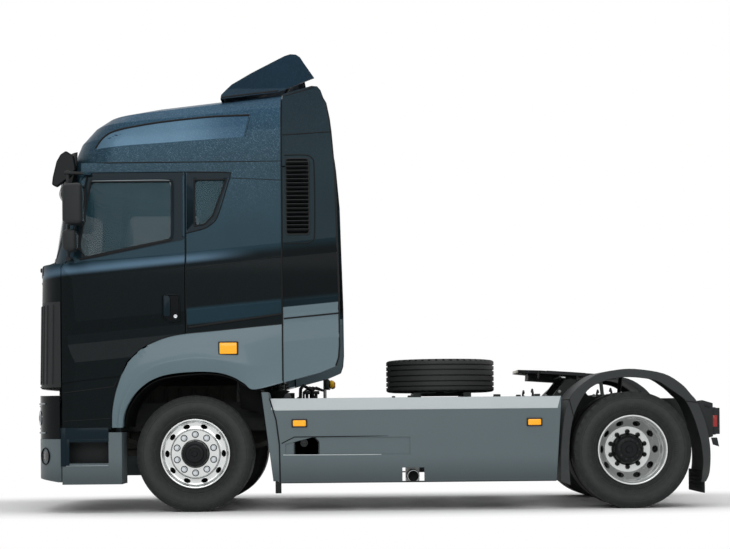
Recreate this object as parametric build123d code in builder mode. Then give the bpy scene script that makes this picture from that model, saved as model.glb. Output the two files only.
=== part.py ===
"""Semi truck tractor unit: a 4x2 cab-over with a high-roof sleeper cab.

Millimetres. -X is forward, -Y is the left side, +Z is up. The origin is on the floor, at the middle of
the overall length and width. Lengths along the truck are given back from the front axle, and `ax`
turns them into this frame.
"""

from build123d import *
import os
from math import cos, radians, sin, sqrt

os.makedirs("parts", exist_ok=True)

# ---- overall layout ----
WHEELBASE = 3800
FRONT_REACH = 1495          # front axle to the foremost point of the bumper
REAR_REACH = 805            # rear axle to the back of the tail lamps
FRONT_AXLE_X = (FRONT_REACH - WHEELBASE - REAR_REACH) / 2
HALF_WIDTH = 1247           # widest point of the cab's side
SIDE_OUT = HALF_WIDTH - 4   # outer face of skirts, fenders and steps
DOOR_FRONT_X = 345 - FRONT_REACH
DOOR_TOP = 2962
FIT = 0.3                   # gap between two pieces that rest against each other
SEAM = 6                    # visible gap round a panel
PIN_PLAY = 0.06             # radial play of a pin in its bore

# ---- wheels ----
TYRE_R = 507
TYRE_WIDTH = 312
TWIN_TYRE_WIDTH = 298
RIM_SEAT_R = 286
RIM_FLANGE_R = 303
RIM_HALF = 116              # half the width between the rim's flanges
RIM_FLANGE_T = 11
RIM_WALL = 14
FRONT_TRACK_HALF = HALF_WIDTH - 212     # wheel's middle plane
TWIN_TRACK_HALF = HALF_WIDTH - 322      # plane where the twin rims meet
TWIN_SPACING = 350
AXLE_Z = TYRE_R
VENT_COUNT = 10
NUT_COUNT = 10
NUT_CIRCLE_R = 167.5

# ---- frame ----
RAIL_FRONT_X = DOOR_FRONT_X - 50
RAIL_REAR_X = WHEELBASE + 600
RAIL_OUT = 425              # outer face of a rail's web
RAIL_FLANGE = 75
RAIL_WALL = 8
RAIL_BOTTOM = 700
RAIL_TOP = 960


def ax(x):
    """A length back from the front axle, as x in the row's frame."""
    return FRONT_AXLE_X + x


def block(x, y, z, mode=Mode.ADD):
    """A box between two x, y and z values, x back from the front axle."""
    with Locations((ax((x[0] + x[1]) / 2), (y[0] + y[1]) / 2, (z[0] + z[1]) / 2)):
        Box(x[1] - x[0], y[1] - y[0], z[1] - z[0], mode=mode)


def side_plane(y):
    """A plane at y in which a sketch's x runs back from the front axle and its y is height."""
    return Plane(origin=(FRONT_AXLE_X, y, 0), x_dir=(1, 0, 0), z_dir=(0, -1, 0))


def cross_plane(x):
    """A plane across the truck: sketch x is y and sketch y is height; its normal points back."""
    return Plane(origin=(ax(x), 0, 0), x_dir=(0, 1, 0), z_dir=(1, 0, 0))


def wheel_plane(x, y):
    """A plane through a wheel's axis: sketch x is along the axis and sketch y is the radius."""
    return Plane(origin=(ax(x), y, AXLE_Z), x_dir=(0, 1, 0), z_dir=(1, 0, 0))


def wheel_axis(x):
    return Axis((ax(x), 0, AXLE_Z), (0, 1, 0))


def pin_y(x, y, z, radius, mode=Mode.ADD):
    """A pin or bore along the truck's width, between two y values."""
    with Locations(Location((ax(x), (y[0] + y[1]) / 2, z), (90, 0, 0))):
        Cylinder(radius, y[1] - y[0], mode=mode)


def pin_z(x, y, z, radius, mode=Mode.ADD):
    """An upright pin or bore between two heights."""
    with Locations((ax(x), y, (z[0] + z[1]) / 2)):
        Cylinder(radius, z[1] - z[0], mode=mode)


def save(piece, name):
    piece.part.label = name
    export_step(piece.part, f"parts/{name}.step")


SIDES = (("left", -1), ("right", 1))

# ======================================================================= wheels
TYRE_BEAD_HALF = RIM_HALF - 3
TYRE_BEAD_TOP = RIM_FLANGE_R + 4
TREAD_HALF_SHARE = 0.86     # tread half-width as a share of the half-width of the tyre
SHOULDER_DROP = 16


def tyre_section(width):
    """Half section of a tyre: bead, bulged sidewall, shoulder and flat tread."""
    half = width / 2 - 2
    tread = half * TREAD_HALF_SHARE
    shoulder = half - 6
    middle = (TYRE_BEAD_TOP + TYRE_R) / 2
    inner = RIM_SEAT_R + FIT
    for s in (1, -1):
        Line((s * TYRE_BEAD_HALF, inner), (s * TYRE_BEAD_HALF, TYRE_BEAD_TOP))
        ThreePointArc(
            (s * TYRE_BEAD_HALF, TYRE_BEAD_TOP), (s * half, middle), (s * shoulder, TYRE_R - SHOULDER_DROP)
        )
        Line((s * shoulder, TYRE_R - SHOULDER_DROP), (s * tread, TYRE_R))
    Line((-tread, TYRE_R), (tread, TYRE_R))
    Line((-TYRE_BEAD_HALF, inner), (TYRE_BEAD_HALF, inner))


def rim_barrel(y):
    """Turned barrel with its two flanges, middle plane at y, as a closed outline."""
    edge = RIM_HALF + RIM_FLANGE_T
    bore = RIM_SEAT_R - RIM_WALL
    Polyline(
        (y - edge, RIM_FLANGE_R), (y - RIM_HALF, RIM_FLANGE_R), (y - RIM_HALF, RIM_SEAT_R),
        (y + RIM_HALF, RIM_SEAT_R), (y + RIM_HALF, RIM_FLANGE_R), (y + edge, RIM_FLANGE_R),
        (y + edge, RIM_FLANGE_R - RIM_WALL), (y + RIM_HALF, bore), (y - RIM_HALF, bore),
        (y - edge, RIM_FLANGE_R - RIM_WALL), close=True,
    )


# front wheel: bulged disc near the outer flange, hub cap standing out of it
FRONT_DISC_OUT = 96         # disc's outer face beyond the wheel's middle plane
FRONT_DISC_T = 24
FRONT_STEP_R = 214
FRONT_STEP_OUT = 14
FRONT_VENT_R = 243
FRONT_VENT_SIZE = (37, 55)
FRONT_CAP_R = 120
FRONT_CAP_OUT = 72
FRONT_CAP_TIP_R = 78
SPINDLE_R = 45
SPINDLE_REACH = 60          # spindle's length inside the hub

for side, s in SIDES:
    with BuildPart() as tyre:
        with BuildSketch(wheel_plane(0, s * FRONT_TRACK_HALF)):
            with BuildLine():
                tyre_section(TYRE_WIDTH)
            make_face()
        revolve(axis=wheel_axis(0))
    save(tyre, f"tyre_front_{side}")

    with BuildPart() as rim:
        with BuildSketch(wheel_plane(0, s * FRONT_TRACK_HALF)):
            with BuildLine():
                rim_barrel(0)
            make_face()
            with BuildLine():
                Polyline(
                    (s * FRONT_DISC_OUT, RIM_SEAT_R - RIM_WALL / 2),
                    (s * FRONT_DISC_OUT, FRONT_STEP_R),
                    (s * (FRONT_DISC_OUT + FRONT_STEP_OUT), FRONT_STEP_R - 8),
                    (s * (FRONT_DISC_OUT + FRONT_STEP_OUT), FRONT_CAP_R),
                    (s * (FRONT_DISC_OUT + FRONT_CAP_OUT), FRONT_CAP_R - 10),
                    (s * (FRONT_DISC_OUT + FRONT_CAP_OUT), FRONT_CAP_TIP_R),
                    (s * (FRONT_DISC_OUT + FRONT_CAP_OUT + 12), FRONT_CAP_TIP_R - 12),
                    (s * (FRONT_DISC_OUT + FRONT_CAP_OUT + 12), 0),
                    (s * (FRONT_DISC_OUT - FRONT_DISC_T - SPINDLE_REACH), 0),
                    (s * (FRONT_DISC_OUT - FRONT_DISC_T - SPINDLE_REACH), FRONT_CAP_R),
                    (s * (FRONT_DISC_OUT - FRONT_DISC_T), FRONT_CAP_R + 10),
                    (s * (FRONT_DISC_OUT - FRONT_DISC_T), RIM_SEAT_R - RIM_WALL / 2),
                    close=True,
                )
            make_face()
        revolve(axis=wheel_axis(0))
        hub_back = s * (FRONT_TRACK_HALF + FRONT_DISC_OUT - FRONT_DISC_T - SPINDLE_REACH)
        spindle_end = hub_back + s * (SPINDLE_REACH + 1)
        pin_y(0, sorted((hub_back, spindle_end)), AXLE_Z, SPINDLE_R + PIN_PLAY, mode=Mode.SUBTRACT)
        vent_plane = Plane(
            origin=(ax(0), s * (FRONT_TRACK_HALF + FRONT_DISC_OUT + 5), AXLE_Z),
            x_dir=(1, 0, 0), z_dir=(0, s, 0),
        )
        with BuildSketch(vent_plane):
            with PolarLocations(FRONT_VENT_R, VENT_COUNT):
                SlotOverall(FRONT_VENT_SIZE[1], FRONT_VENT_SIZE[0], rotation=90)
        extrude(amount=-(FRONT_DISC_T + 10), mode=Mode.SUBTRACT)
        nut_plane = Plane(
            origin=(ax(0), s * (FRONT_TRACK_HALF + FRONT_DISC_OUT + FRONT_STEP_OUT), AXLE_Z),
            x_dir=(1, 0, 0), z_dir=(0, s, 0),
        )
        with BuildSketch(nut_plane):
            with PolarLocations(NUT_CIRCLE_R, NUT_COUNT):
                Circle(20)
        extrude(amount=38)
    save(rim, f"wheel_front_{side}")

# rear twins: two deep rims bolted disc to disc, hub through both
TWIN_DISC_T = 22
TWIN_DISC_R = 235
TWIN_VENT_R = 212
TWIN_VENT_SIZE = (32, 46)
TWIN_HUB_R = 135
TWIN_HUB_OUT = 120          # hub's end beyond the twin plane

for side, s in SIDES:
    centres = [s * (TWIN_TRACK_HALF + k * TWIN_SPACING / 2) for k in (-1, 1)]
    with BuildPart() as tyres:
        for centre in centres:
            with BuildSketch(wheel_plane(WHEELBASE, centre)):
                with BuildLine():
                    tyre_section(TWIN_TYRE_WIDTH)
                make_face()
            revolve(axis=wheel_axis(WHEELBASE))
    save(tyres, f"tyres_rear_{side}")

    barrel_edge = TWIN_SPACING / 2 - RIM_HALF
    bore = RIM_SEAT_R - RIM_WALL
    with BuildPart() as rims:
        with BuildSketch(wheel_plane(WHEELBASE, s * TWIN_TRACK_HALF)):
            with BuildLine():
                rim_barrel(TWIN_SPACING / 2)
            make_face()
            with BuildLine():
                rim_barrel(-TWIN_SPACING / 2)
            make_face()
            with BuildLine():
                # one outline for both discs: a cone from each barrel to the twin plane
                Polyline(
                    (barrel_edge + 40, bore + RIM_WALL / 2), (barrel_edge + 40, bore),
                    (TWIN_DISC_T, TWIN_DISC_R), (TWIN_DISC_T, 0), (-TWIN_DISC_T, 0),
                    (-TWIN_DISC_T, TWIN_DISC_R), (-barrel_edge - 40, bore),
                    (-barrel_edge - 40, bore + RIM_WALL / 2), (-barrel_edge, bore + RIM_WALL / 2),
                    (-4, TWIN_DISC_R + 12), (4, TWIN_DISC_R + 12), (barrel_edge, bore + RIM_WALL / 2),
                    close=True,
                )
            make_face()
            with BuildLine():
                Polyline(
                    (s * TWIN_HUB_OUT, 0), (s * TWIN_HUB_OUT, TWIN_HUB_R - 30),
                    (s * (TWIN_HUB_OUT - 25), TWIN_HUB_R), (-s * TWIN_HUB_OUT, TWIN_HUB_R),
                    (-s * TWIN_HUB_OUT, 0), close=True,
                )
            make_face()
        revolve(axis=wheel_axis(WHEELBASE))
        hub_back = s * (TWIN_TRACK_HALF - TWIN_HUB_OUT)
        pin_y(
            WHEELBASE, sorted((hub_back, hub_back + s * (SPINDLE_REACH + 1))), AXLE_Z,
            SPINDLE_R + PIN_PLAY, mode=Mode.SUBTRACT,
        )
        vent_plane = Plane(
            origin=(ax(WHEELBASE), s * (TWIN_TRACK_HALF + TWIN_DISC_T + 5), AXLE_Z),
            x_dir=(1, 0, 0), z_dir=(0, s, 0),
        )
        with BuildSketch(vent_plane):
            with PolarLocations(TWIN_VENT_R, VENT_COUNT):
                SlotOverall(TWIN_VENT_SIZE[1], TWIN_VENT_SIZE[0], rotation=90)
        extrude(amount=-(2 * TWIN_DISC_T + 10), mode=Mode.SUBTRACT)
        with BuildSketch(vent_plane.offset(-5)):
            with PolarLocations(NUT_CIRCLE_R, NUT_COUNT):
                Circle(19)
        extrude(amount=45)
    save(rims, f"rims_rear_{side}")

# ======================================================================= steering and front axle
KINGPIN_Y = FRONT_TRACK_HALF - 135
KINGPIN_R = 25
BEAM_BOSS_R = 52
BEAM_BOSS_Z = (445, 565)
BEAM_WIDTH = 90
SPRING_Y = 430
SPRING_WIDTH = 80
SPRING_HALF_LENGTH = 720
SPRING_CAMBER = 140
SPRING_T = 48
BEAM_TOP = 470
BEAM_DEPTH = 85
YOKE_T = 40
ARM_X = 170                 # tie rod's pin behind the axle, straight behind the kingpin
ARM_Z = (395, 425)
TIE_ROD_R = 22
TIE_PIN_R = 14

with BuildPart() as front_axle_beam:
    with BuildSketch(cross_plane(-BEAM_WIDTH / 2)):
        with BuildLine():
            for s in (1, -1):
                Polyline(
                    (0, BEAM_TOP), (s * (SPRING_Y + 90), BEAM_TOP),
                    (s * (KINGPIN_Y - 90), BEAM_BOSS_Z[1] - 10), (s * KINGPIN_Y, BEAM_BOSS_Z[1] - 10),
                    (s * KINGPIN_Y, BEAM_BOSS_Z[0] + 10),
                    (s * (KINGPIN_Y - 90), BEAM_BOSS_Z[0] + 10), (s * (SPRING_Y + 90), BEAM_TOP - BEAM_DEPTH),
                    (0, BEAM_TOP - BEAM_DEPTH),
                )
        make_face()
    extrude(amount=BEAM_WIDTH)
    for s in (1, -1):
        pin_z(0, s * KINGPIN_Y, BEAM_BOSS_Z, BEAM_BOSS_R)
        pin_z(0, s * KINGPIN_Y, (BEAM_BOSS_Z[0] - 1, BEAM_BOSS_Z[1] + 1), KINGPIN_R + PIN_PLAY,
              mode=Mode.SUBTRACT)
save(front_axle_beam, "front_axle_beam")

with BuildPart() as front_leaf_springs:
    for s in (1, -1):
        with BuildSketch(side_plane(s * SPRING_Y)):
            with BuildLine():
                ThreePointArc(
                    (-SPRING_HALF_LENGTH, BEAM_TOP + SPRING_CAMBER), (0, BEAM_TOP),
                    (SPRING_HALF_LENGTH, BEAM_TOP + SPRING_CAMBER),
                )
                Line(
                    (SPRING_HALF_LENGTH, BEAM_TOP + SPRING_CAMBER),
                    (SPRING_HALF_LENGTH, BEAM_TOP + SPRING_CAMBER + SPRING_T),
                )
                ThreePointArc(
                    (SPRING_HALF_LENGTH, BEAM_TOP + SPRING_CAMBER + SPRING_T), (0, BEAM_TOP + SPRING_T),
                    (-SPRING_HALF_LENGTH, BEAM_TOP + SPRING_CAMBER + SPRING_T),
                )
                Line(
                    (-SPRING_HALF_LENGTH, BEAM_TOP + SPRING_CAMBER + SPRING_T),
                    (-SPRING_HALF_LENGTH, BEAM_TOP + SPRING_CAMBER),
                )
            make_face()
        extrude(amount=SPRING_WIDTH / 2, both=True)
        for end in (-SPRING_HALF_LENGTH, SPRING_HALF_LENGTH):
            block(
                (end - 45, end + 45), (s * SPRING_Y - SPRING_WIDTH / 2, s * SPRING_Y + SPRING_WIDTH / 2),
                (BEAM_TOP + SPRING_CAMBER - 20, RAIL_BOTTOM),
            )
save(front_leaf_springs, "front_leaf_springs")

for side, s in SIDES:
    hub_back = FRONT_TRACK_HALF + FRONT_DISC_OUT - FRONT_DISC_T - SPINDLE_REACH
    with BuildPart() as knuckle:
        # yoke above and below the beam's boss, joined outboard of it, and the kingpin through all
        block((-50, 50), sorted((s * (KINGPIN_Y + BEAM_BOSS_R + 8), s * (KINGPIN_Y + BEAM_BOSS_R + 48))),
              (BEAM_BOSS_Z[0] - YOKE_T, BEAM_BOSS_Z[1] + YOKE_T))
        low, high = BEAM_BOSS_Z
        for z in ((low - YOKE_T, low - FIT), (high + FIT, high + YOKE_T)):
            pin_z(0, s * KINGPIN_Y, z, BEAM_BOSS_R)
            block((-50, 50), sorted((s * KINGPIN_Y, s * (KINGPIN_Y + BEAM_BOSS_R + 48))), z)
        pin_z(0, s * KINGPIN_Y, (BEAM_BOSS_Z[0] - YOKE_T, BEAM_BOSS_Z[1] + YOKE_T), KINGPIN_R)
        pin_y(0, sorted((s * (KINGPIN_Y + BEAM_BOSS_R + 8), s * (hub_back + SPINDLE_REACH))), AXLE_Z,
              SPINDLE_R)
        # brake drum's back plate, inside the rim
        pin_y(0, sorted((s * (KINGPIN_Y + BEAM_BOSS_R + 20), s * (hub_back - 12))), AXLE_Z, 195)
        # steering arm back to the tie rod
        arm_y = s * KINGPIN_Y
        block((-40, ARM_X), (arm_y - 30, arm_y + 30), ARM_Z)
        block((-50, 40), sorted((arm_y - s * 30, arm_y + s * 100)), (ARM_Z[0], BEAM_BOSS_Z[0] - FIT))
        pin_z(ARM_X, arm_y, ARM_Z, 30)
        pin_z(ARM_X, arm_y, (ARM_Z[0] - 1, ARM_Z[1] + 1), TIE_PIN_R + PIN_PLAY, mode=Mode.SUBTRACT)
    save(knuckle, f"knuckle_{side}")

with BuildPart() as tie_rod:
    rod_z = ARM_Z[0] - FIT - TIE_ROD_R - 5
    pin_y(ARM_X, (-KINGPIN_Y, KINGPIN_Y), rod_z, TIE_ROD_R)
    for s in (1, -1):
        pin_z(ARM_X, s * KINGPIN_Y, (rod_z - TIE_ROD_R - 5, ARM_Z[0] - FIT), 28)
        pin_z(ARM_X, s * KINGPIN_Y, (rod_z, ARM_Z[1] + 12), TIE_PIN_R)
save(tie_rod, "tie_rod")

# ======================================================================= frame
CROSS_T = 8
CROSS_XS = (RAIL_FRONT_X + 50, 1250, WHEELBASE - 950, RAIL_REAR_X - 20)
CLOSING_X = RAIL_REAR_X + 40

with BuildPart() as frame_rails:
    for s in (1, -1):
        web = sorted((s * RAIL_OUT, s * (RAIL_OUT - RAIL_WALL)))
        flange = sorted((s * RAIL_OUT, s * (RAIL_OUT - RAIL_FLANGE)))
        block((RAIL_FRONT_X, RAIL_REAR_X), web, (RAIL_BOTTOM, RAIL_TOP))
        for z in ((RAIL_BOTTOM, RAIL_BOTTOM + RAIL_WALL), (RAIL_TOP - RAIL_WALL, RAIL_TOP)):
            block((RAIL_FRONT_X, RAIL_REAR_X), flange, z)
save(frame_rails, "frame_rails")

CROSS_DEPTH = 120
with BuildPart() as frame_crossmembers:
    inside = RAIL_OUT - RAIL_WALL
    for x in CROSS_XS:
        block((x - CROSS_T / 2, x + CROSS_T / 2), (-inside, inside),
              (RAIL_TOP - RAIL_WALL - CROSS_DEPTH, RAIL_TOP - RAIL_WALL))
        for z in (RAIL_TOP - RAIL_WALL - CROSS_DEPTH, RAIL_TOP - RAIL_WALL - CROSS_T):
            block((x - 45, x), (-inside, inside), (z, z + CROSS_T))
save(frame_crossmembers, "frame_crossmembers")

# ---- driveline, as plain masses ----
ENGINE_X = (-1000, 300)
ENGINE_HALF = 335
ENGINE_Z = (540, 1175)
GEARBOX_X = (300, 1060)
GEARBOX_HALF = 250
GEARBOX_Z = (560, 940)
SHAFT_R = 60
NOSE_X = WHEELBASE - 310    # front of the rear axle's nose

with BuildPart() as engine_block:
    block(ENGINE_X, (-ENGINE_HALF, ENGINE_HALF), ENGINE_Z)
    chamfer(engine_block.edges().filter_by(Axis.X), 60)
save(engine_block, "engine_block")

with BuildPart() as gearbox:
    block(GEARBOX_X, (-GEARBOX_HALF, GEARBOX_HALF), GEARBOX_Z)
    chamfer(gearbox.edges().filter_by(Axis.X), 80)
    with BuildSketch(cross_plane(GEARBOX_X[1])):
        with Locations((0, 760)):
            Circle(SHAFT_R)
    with BuildSketch(cross_plane(NOSE_X - FIT)):
        with Locations((0, AXLE_Z + 60)):
            Circle(SHAFT_R)
    loft()
save(gearbox, "gearbox_and_shaft")

RADIATOR_X = (165 - FRONT_REACH, 255 - FRONT_REACH)
RADIATOR_HALF = 370
with BuildPart() as radiator:
    block(RADIATOR_X, (-RADIATOR_HALF, RADIATOR_HALF), (540, 1150))
    block((RADIATOR_X[1], ENGINE_X[0]), (-250, 250), (600, 820))
    block((RADIATOR_X[1] - 50, RADIATOR_X[1]), (-RAIL_OUT + RAIL_FLANGE, RAIL_OUT - RAIL_FLANGE), (620, 680))
save(radiator, "radiator")

# ---- rear axle ----
HOUSING_TUBE_R = 72
DRUM_R = 205
DRUM_Y = (TWIN_TRACK_HALF - 350, TWIN_TRACK_HALF - 145)
BELLOWS_R = 115
BELLOWS_Y = 455
BELLOWS_X = (WHEELBASE - 380, WHEELBASE + 380)
TWIN_HUB_BACK = TWIN_TRACK_HALF - TWIN_HUB_OUT

with BuildPart() as rear_axle_housing:
    pin_y(WHEELBASE, (-DRUM_Y[0], DRUM_Y[0]), AXLE_Z, HOUSING_TUBE_R)
    with Locations((ax(WHEELBASE), 0, AXLE_Z)):
        Sphere(215)
    with Locations(Location((ax((NOSE_X + WHEELBASE) / 2), 0, AXLE_Z + 60), (0, 90, 0))):
        Cylinder(95, WHEELBASE - NOSE_X)
    for s in (1, -1):
        pin_y(WHEELBASE, sorted((s * DRUM_Y[0], s * DRUM_Y[1])), AXLE_Z, DRUM_R)
        pin_y(WHEELBASE, sorted((s * DRUM_Y[0], s * (TWIN_HUB_BACK + SPINDLE_REACH))), AXLE_Z, SPINDLE_R)
save(rear_axle_housing, "rear_axle_housing")

with BuildPart() as rear_air_springs:
    beam_top = AXLE_Z - HOUSING_TUBE_R - FIT
    for s in (1, -1):
        block((BELLOWS_X[0] - 60, BELLOWS_X[1] + 60), sorted((s * (BELLOWS_Y - 45), s * (BELLOWS_Y + 45))),
              (beam_top - 60, beam_top))
        for x in BELLOWS_X:
            pin_z(x, s * BELLOWS_Y, (beam_top, RAIL_BOTTOM), BELLOWS_R)
            for z in (beam_top + 85, beam_top + 175):
                with Locations((ax(x), s * BELLOWS_Y, z)):
                    Torus(BELLOWS_R, 14)
save(rear_air_springs, "rear_air_springs")

# ======================================================================= between the axles
TANK_OUT = SIDE_OUT - 48    # outer face of tanks and boxes, inside the skirts
TANK_Z = (330, 935)
TANK_X = (1290, WHEELBASE - 1470)
SILENCER_X = (1500, WHEELBASE - 1500)
FRONT_BOX_X = (850, 1420)
REAR_BOX_X = (WHEELBASE - 1420, WHEELBASE - 840)

with BuildPart() as fuel_tank:
    block(TANK_X, (RAIL_OUT + 15, TANK_OUT), TANK_Z)
    fillet(fuel_tank.edges().filter_by(Axis.X), 90)
    for x in (TANK_X[0] + 160, TANK_X[1] - 180):
        block((x - 40, x + 40), (RAIL_OUT, RAIL_OUT + 30), (RAIL_BOTTOM + 10, TANK_Z[1] - 40))
save(fuel_tank, "fuel_tank")

OUTLET = ((SILENCER_X[0] + SILENCER_X[1]) / 2 - 4, 297, 52)    # tailpipe's mouth: x, height, radius
with BuildPart() as exhaust_silencer:
    block(SILENCER_X, (-TANK_OUT, -RAIL_OUT - 15), (390, TANK_Z[1]))
    fillet(exhaust_silencer.edges().filter_by(Axis.X), 70)
    for x in (SILENCER_X[0] + 100, SILENCER_X[1] - 100):
        block((x - 40, x + 40), (-RAIL_OUT - 30, -RAIL_OUT), (RAIL_BOTTOM + 10, TANK_Z[1] - 60))
    pin_y(OUTLET[0], (-TANK_OUT - 30, -900), OUTLET[1], OUTLET[2])
    pin_y(OUTLET[0], (-TANK_OUT - 31, -960), OUTLET[1], OUTLET[2] - 5, mode=Mode.SUBTRACT)
    block((OUTLET[0] - 60, OUTLET[0] + 60), (-1000, -860), (OUTLET[1] - 52, 400))
save(exhaust_silencer, "exhaust_silencer")

AIR_TANK_R = 120
with BuildPart() as air_tanks:
    block(FRONT_BOX_X, (-TANK_OUT, -RAIL_OUT - 15), (430, 900))
    block(REAR_BOX_X, (-TANK_OUT, -RAIL_OUT - 15), (400, 900))
    block((REAR_BOX_X[0] + 40, REAR_BOX_X[1]), (RAIL_OUT + 15, TANK_OUT), (420, 900))
    for s, boxes in ((-1, (FRONT_BOX_X, REAR_BOX_X)), (1, (REAR_BOX_X,))):
        for x in [end for box in boxes for end in (box[0] + 130, box[1] - 110)]:
            block((x - 30, x + 30), sorted((s * RAIL_OUT, s * (RAIL_OUT + 20))), (RAIL_BOTTOM + 10, 890))
    with Locations(Location((ax(1030), 660, 700), (0, 90, 0))):
        Cylinder(AIR_TANK_R, 430)
    with Locations(Location((ax(1030), 960, 700), (0, 90, 0))):
        Cylinder(AIR_TANK_R, 430)
    block((1000, 1060), (RAIL_OUT, 1000), (690, 710))
save(air_tanks, "battery_box_and_air_tanks")

SKIRT_T = 26
SKIRT_BAND_Z = (877, 980)   # band along the top that leans inboard
SKIRT_FRONT = ((661, 980), (717, 793), (744, 578), (748, 250))
SKIRT_REAR = ((WHEELBASE - 665, 250), (WHEELBASE - 616, 980))
SCALLOP_X = (790, 1870)
SCALLOP_Z = (487, 643)
NOTCH_HALF = 95
STAY_XS = (900, WHEELBASE - 1470, WHEELBASE - 780)
MUD_PANEL = ((586, 1035), (683, 263), (741, 263), (738, 578), (710, 793), (655, 980), (640, 1035))
MUD_PANEL_Y = (SIDE_OUT - 338, SIDE_OUT - 3)

with BuildPart() as side_skirts:
    with BuildSketch(side_plane(-SIDE_OUT)):
        with BuildLine():
            Polyline(*SKIRT_FRONT)
            Line(SKIRT_FRONT[-1], SKIRT_REAR[0])
            Line(SKIRT_REAR[0], SKIRT_REAR[1])
            Line(SKIRT_REAR[1], SKIRT_FRONT[0])
        make_face()
        with Locations((OUTLET[0], OUTLET[1] - 20)):
            Rectangle(2 * NOTCH_HALF, 2 * NOTCH_HALF, mode=Mode.SUBTRACT)
    extrude(amount=-SKIRT_T)
    # the top band leans inboard
    with BuildSketch(cross_plane(500)):
        with BuildLine():
            Polyline(
                (-SIDE_OUT - 1, SKIRT_BAND_Z[0]), (-SIDE_OUT - 1, SKIRT_BAND_Z[1] + 1),
                (-SIDE_OUT + SKIRT_T * 0.8, SKIRT_BAND_Z[1] + 1), close=True,
            )
        make_face()
    extrude(amount=3000, mode=Mode.SUBTRACT)
    # shallow scallop, deepest at the front
    with BuildSketch(side_plane(-SIDE_OUT)):
        with BuildLine():
            Polyline(
                (SCALLOP_X[0], SCALLOP_Z[0]), (SCALLOP_X[1], SCALLOP_Z[0]), (SCALLOP_X[1], SCALLOP_Z[1] - 6),
                (SCALLOP_X[0] + 240, SCALLOP_Z[1]), (SCALLOP_X[0], SCALLOP_Z[1] - 60), close=True,
            )
        make_face()
    extrude(amount=-8, mode=Mode.SUBTRACT)
    # stays back to the rail
    for x in STAY_XS:
        block((x - 20, x + 20), (-SIDE_OUT + SKIRT_T - 1, -RAIL_OUT), (938, 956))
    # panel behind the front wheel, on a stay of its own
    with BuildSketch(side_plane(-MUD_PANEL_Y[1])):
        with BuildLine():
            Polyline(*MUD_PANEL, close=True)
        make_face()
    extrude(amount=-(MUD_PANEL_Y[1] - MUD_PANEL_Y[0]))
    block((645, 675), (-MUD_PANEL_Y[0] - 1, -RAIL_OUT), (820, 850))
    mirror(about=Plane.XZ)
save(side_skirts, "side_skirts")

# ---- spare wheel, flat on its carrier ----
SPARE_X = WHEELBASE - 1608
SPARE_Z = 1032              # underside of the spare tyre
SPARE_PLANE = Plane(origin=(ax(SPARE_X), 0, SPARE_Z + TYRE_WIDTH / 2), x_dir=(0, 0, 1), z_dir=(0, 1, 0))
SPARE_AXIS = Axis((ax(SPARE_X), 0, 0), (0, 0, 1))

with BuildPart() as spare_tyre:
    with BuildSketch(SPARE_PLANE):
        with BuildLine():
            tyre_section(TYRE_WIDTH)
        make_face()
    revolve(axis=SPARE_AXIS)
save(spare_tyre, "spare_tyre")

with BuildPart() as spare_rim:
    with BuildSketch(SPARE_PLANE):
        with BuildLine():
            rim_barrel(0)
        make_face()
        with BuildLine():
            Polyline(
                (-70, RIM_SEAT_R - RIM_WALL / 2), (-70, 60), (-90, 60), (-90, RIM_SEAT_R - RIM_WALL / 2),
                close=True,
            )
        make_face()
    revolve(axis=SPARE_AXIS)
save(spare_rim, "spare_rim")

with BuildPart() as spare_carrier:
    for x in (SPARE_X - 230, SPARE_X + 230):
        block((x - 35, x + 35), (-RAIL_OUT, RAIL_OUT), (RAIL_TOP, SPARE_Z - FIT))
    block((SPARE_X - 230, SPARE_X + 230), (-50, 50), (SPARE_Z - 30, SPARE_Z - FIT))
    pin_z(SPARE_X, 0, (SPARE_Z - 30, SPARE_Z + 130), 40)
    pin_z(SPARE_X, 0, (SPARE_Z + TYRE_WIDTH / 2 - 70 + FIT, SPARE_Z + TYRE_WIDTH / 2 - 50), 90)
    pin_z(SPARE_X, 0, (SPARE_Z - 5, SPARE_Z + TYRE_WIDTH / 2 - 50), 40)
save(spare_carrier, "spare_carrier")

# ---- catwalk and coupling bracket ----
CATWALK_X = (1180, 1640)
with BuildPart() as catwalk:
    block(CATWALK_X, (-RAIL_OUT - 30, RAIL_OUT + 30), (RAIL_TOP, RAIL_TOP + 26))
    for k in range(5):
        x = CATWALK_X[0] + 46 + k * (CATWALK_X[1] - CATWALK_X[0]) / 5
        block((x - 22, x + 22), (-RAIL_OUT + 40, RAIL_OUT - 40), (RAIL_TOP - 1, RAIL_TOP + 27),
              mode=Mode.SUBTRACT)
save(catwalk, "catwalk")

COUPLING = (1127, -300, 1119)
with BuildPart() as coupling_bracket:
    block((1085, 1165), (-380, 380), (RAIL_TOP, RAIL_TOP + 12))
    block((1100, 1112), (-380, 380), (RAIL_TOP, COUPLING[2] + 45))
    for y in (COUPLING[1], COUPLING[1] + 160, COUPLING[1] + 320, COUPLING[1] + 480):
        with Locations(Location((ax(COUPLING[0] + 12), y, COUPLING[2]), (0, 90, 0))):
            Cylinder(32, 55)
save(coupling_bracket, "coupling_bracket")

# ======================================================================= fifth wheel
FIFTH_X = WHEELBASE - 432   # pitch pivot
FIFTH_Z = 1119
FIFTH_TOP = 85              # top of the plate above the pivot
FIFTH_T = 28
FIFTH_REST = 4              # rear-down tilt when parked, degrees
FIFTH_PIN_R = 30
FIFTH_FRONT = 470
FIFTH_REAR = 430
FIFTH_HALF = 480
JAW_R = 25.7                # kingpin bore
EAR_Y = (330, 362)
PEDESTAL_Y = (368, 425)

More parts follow.
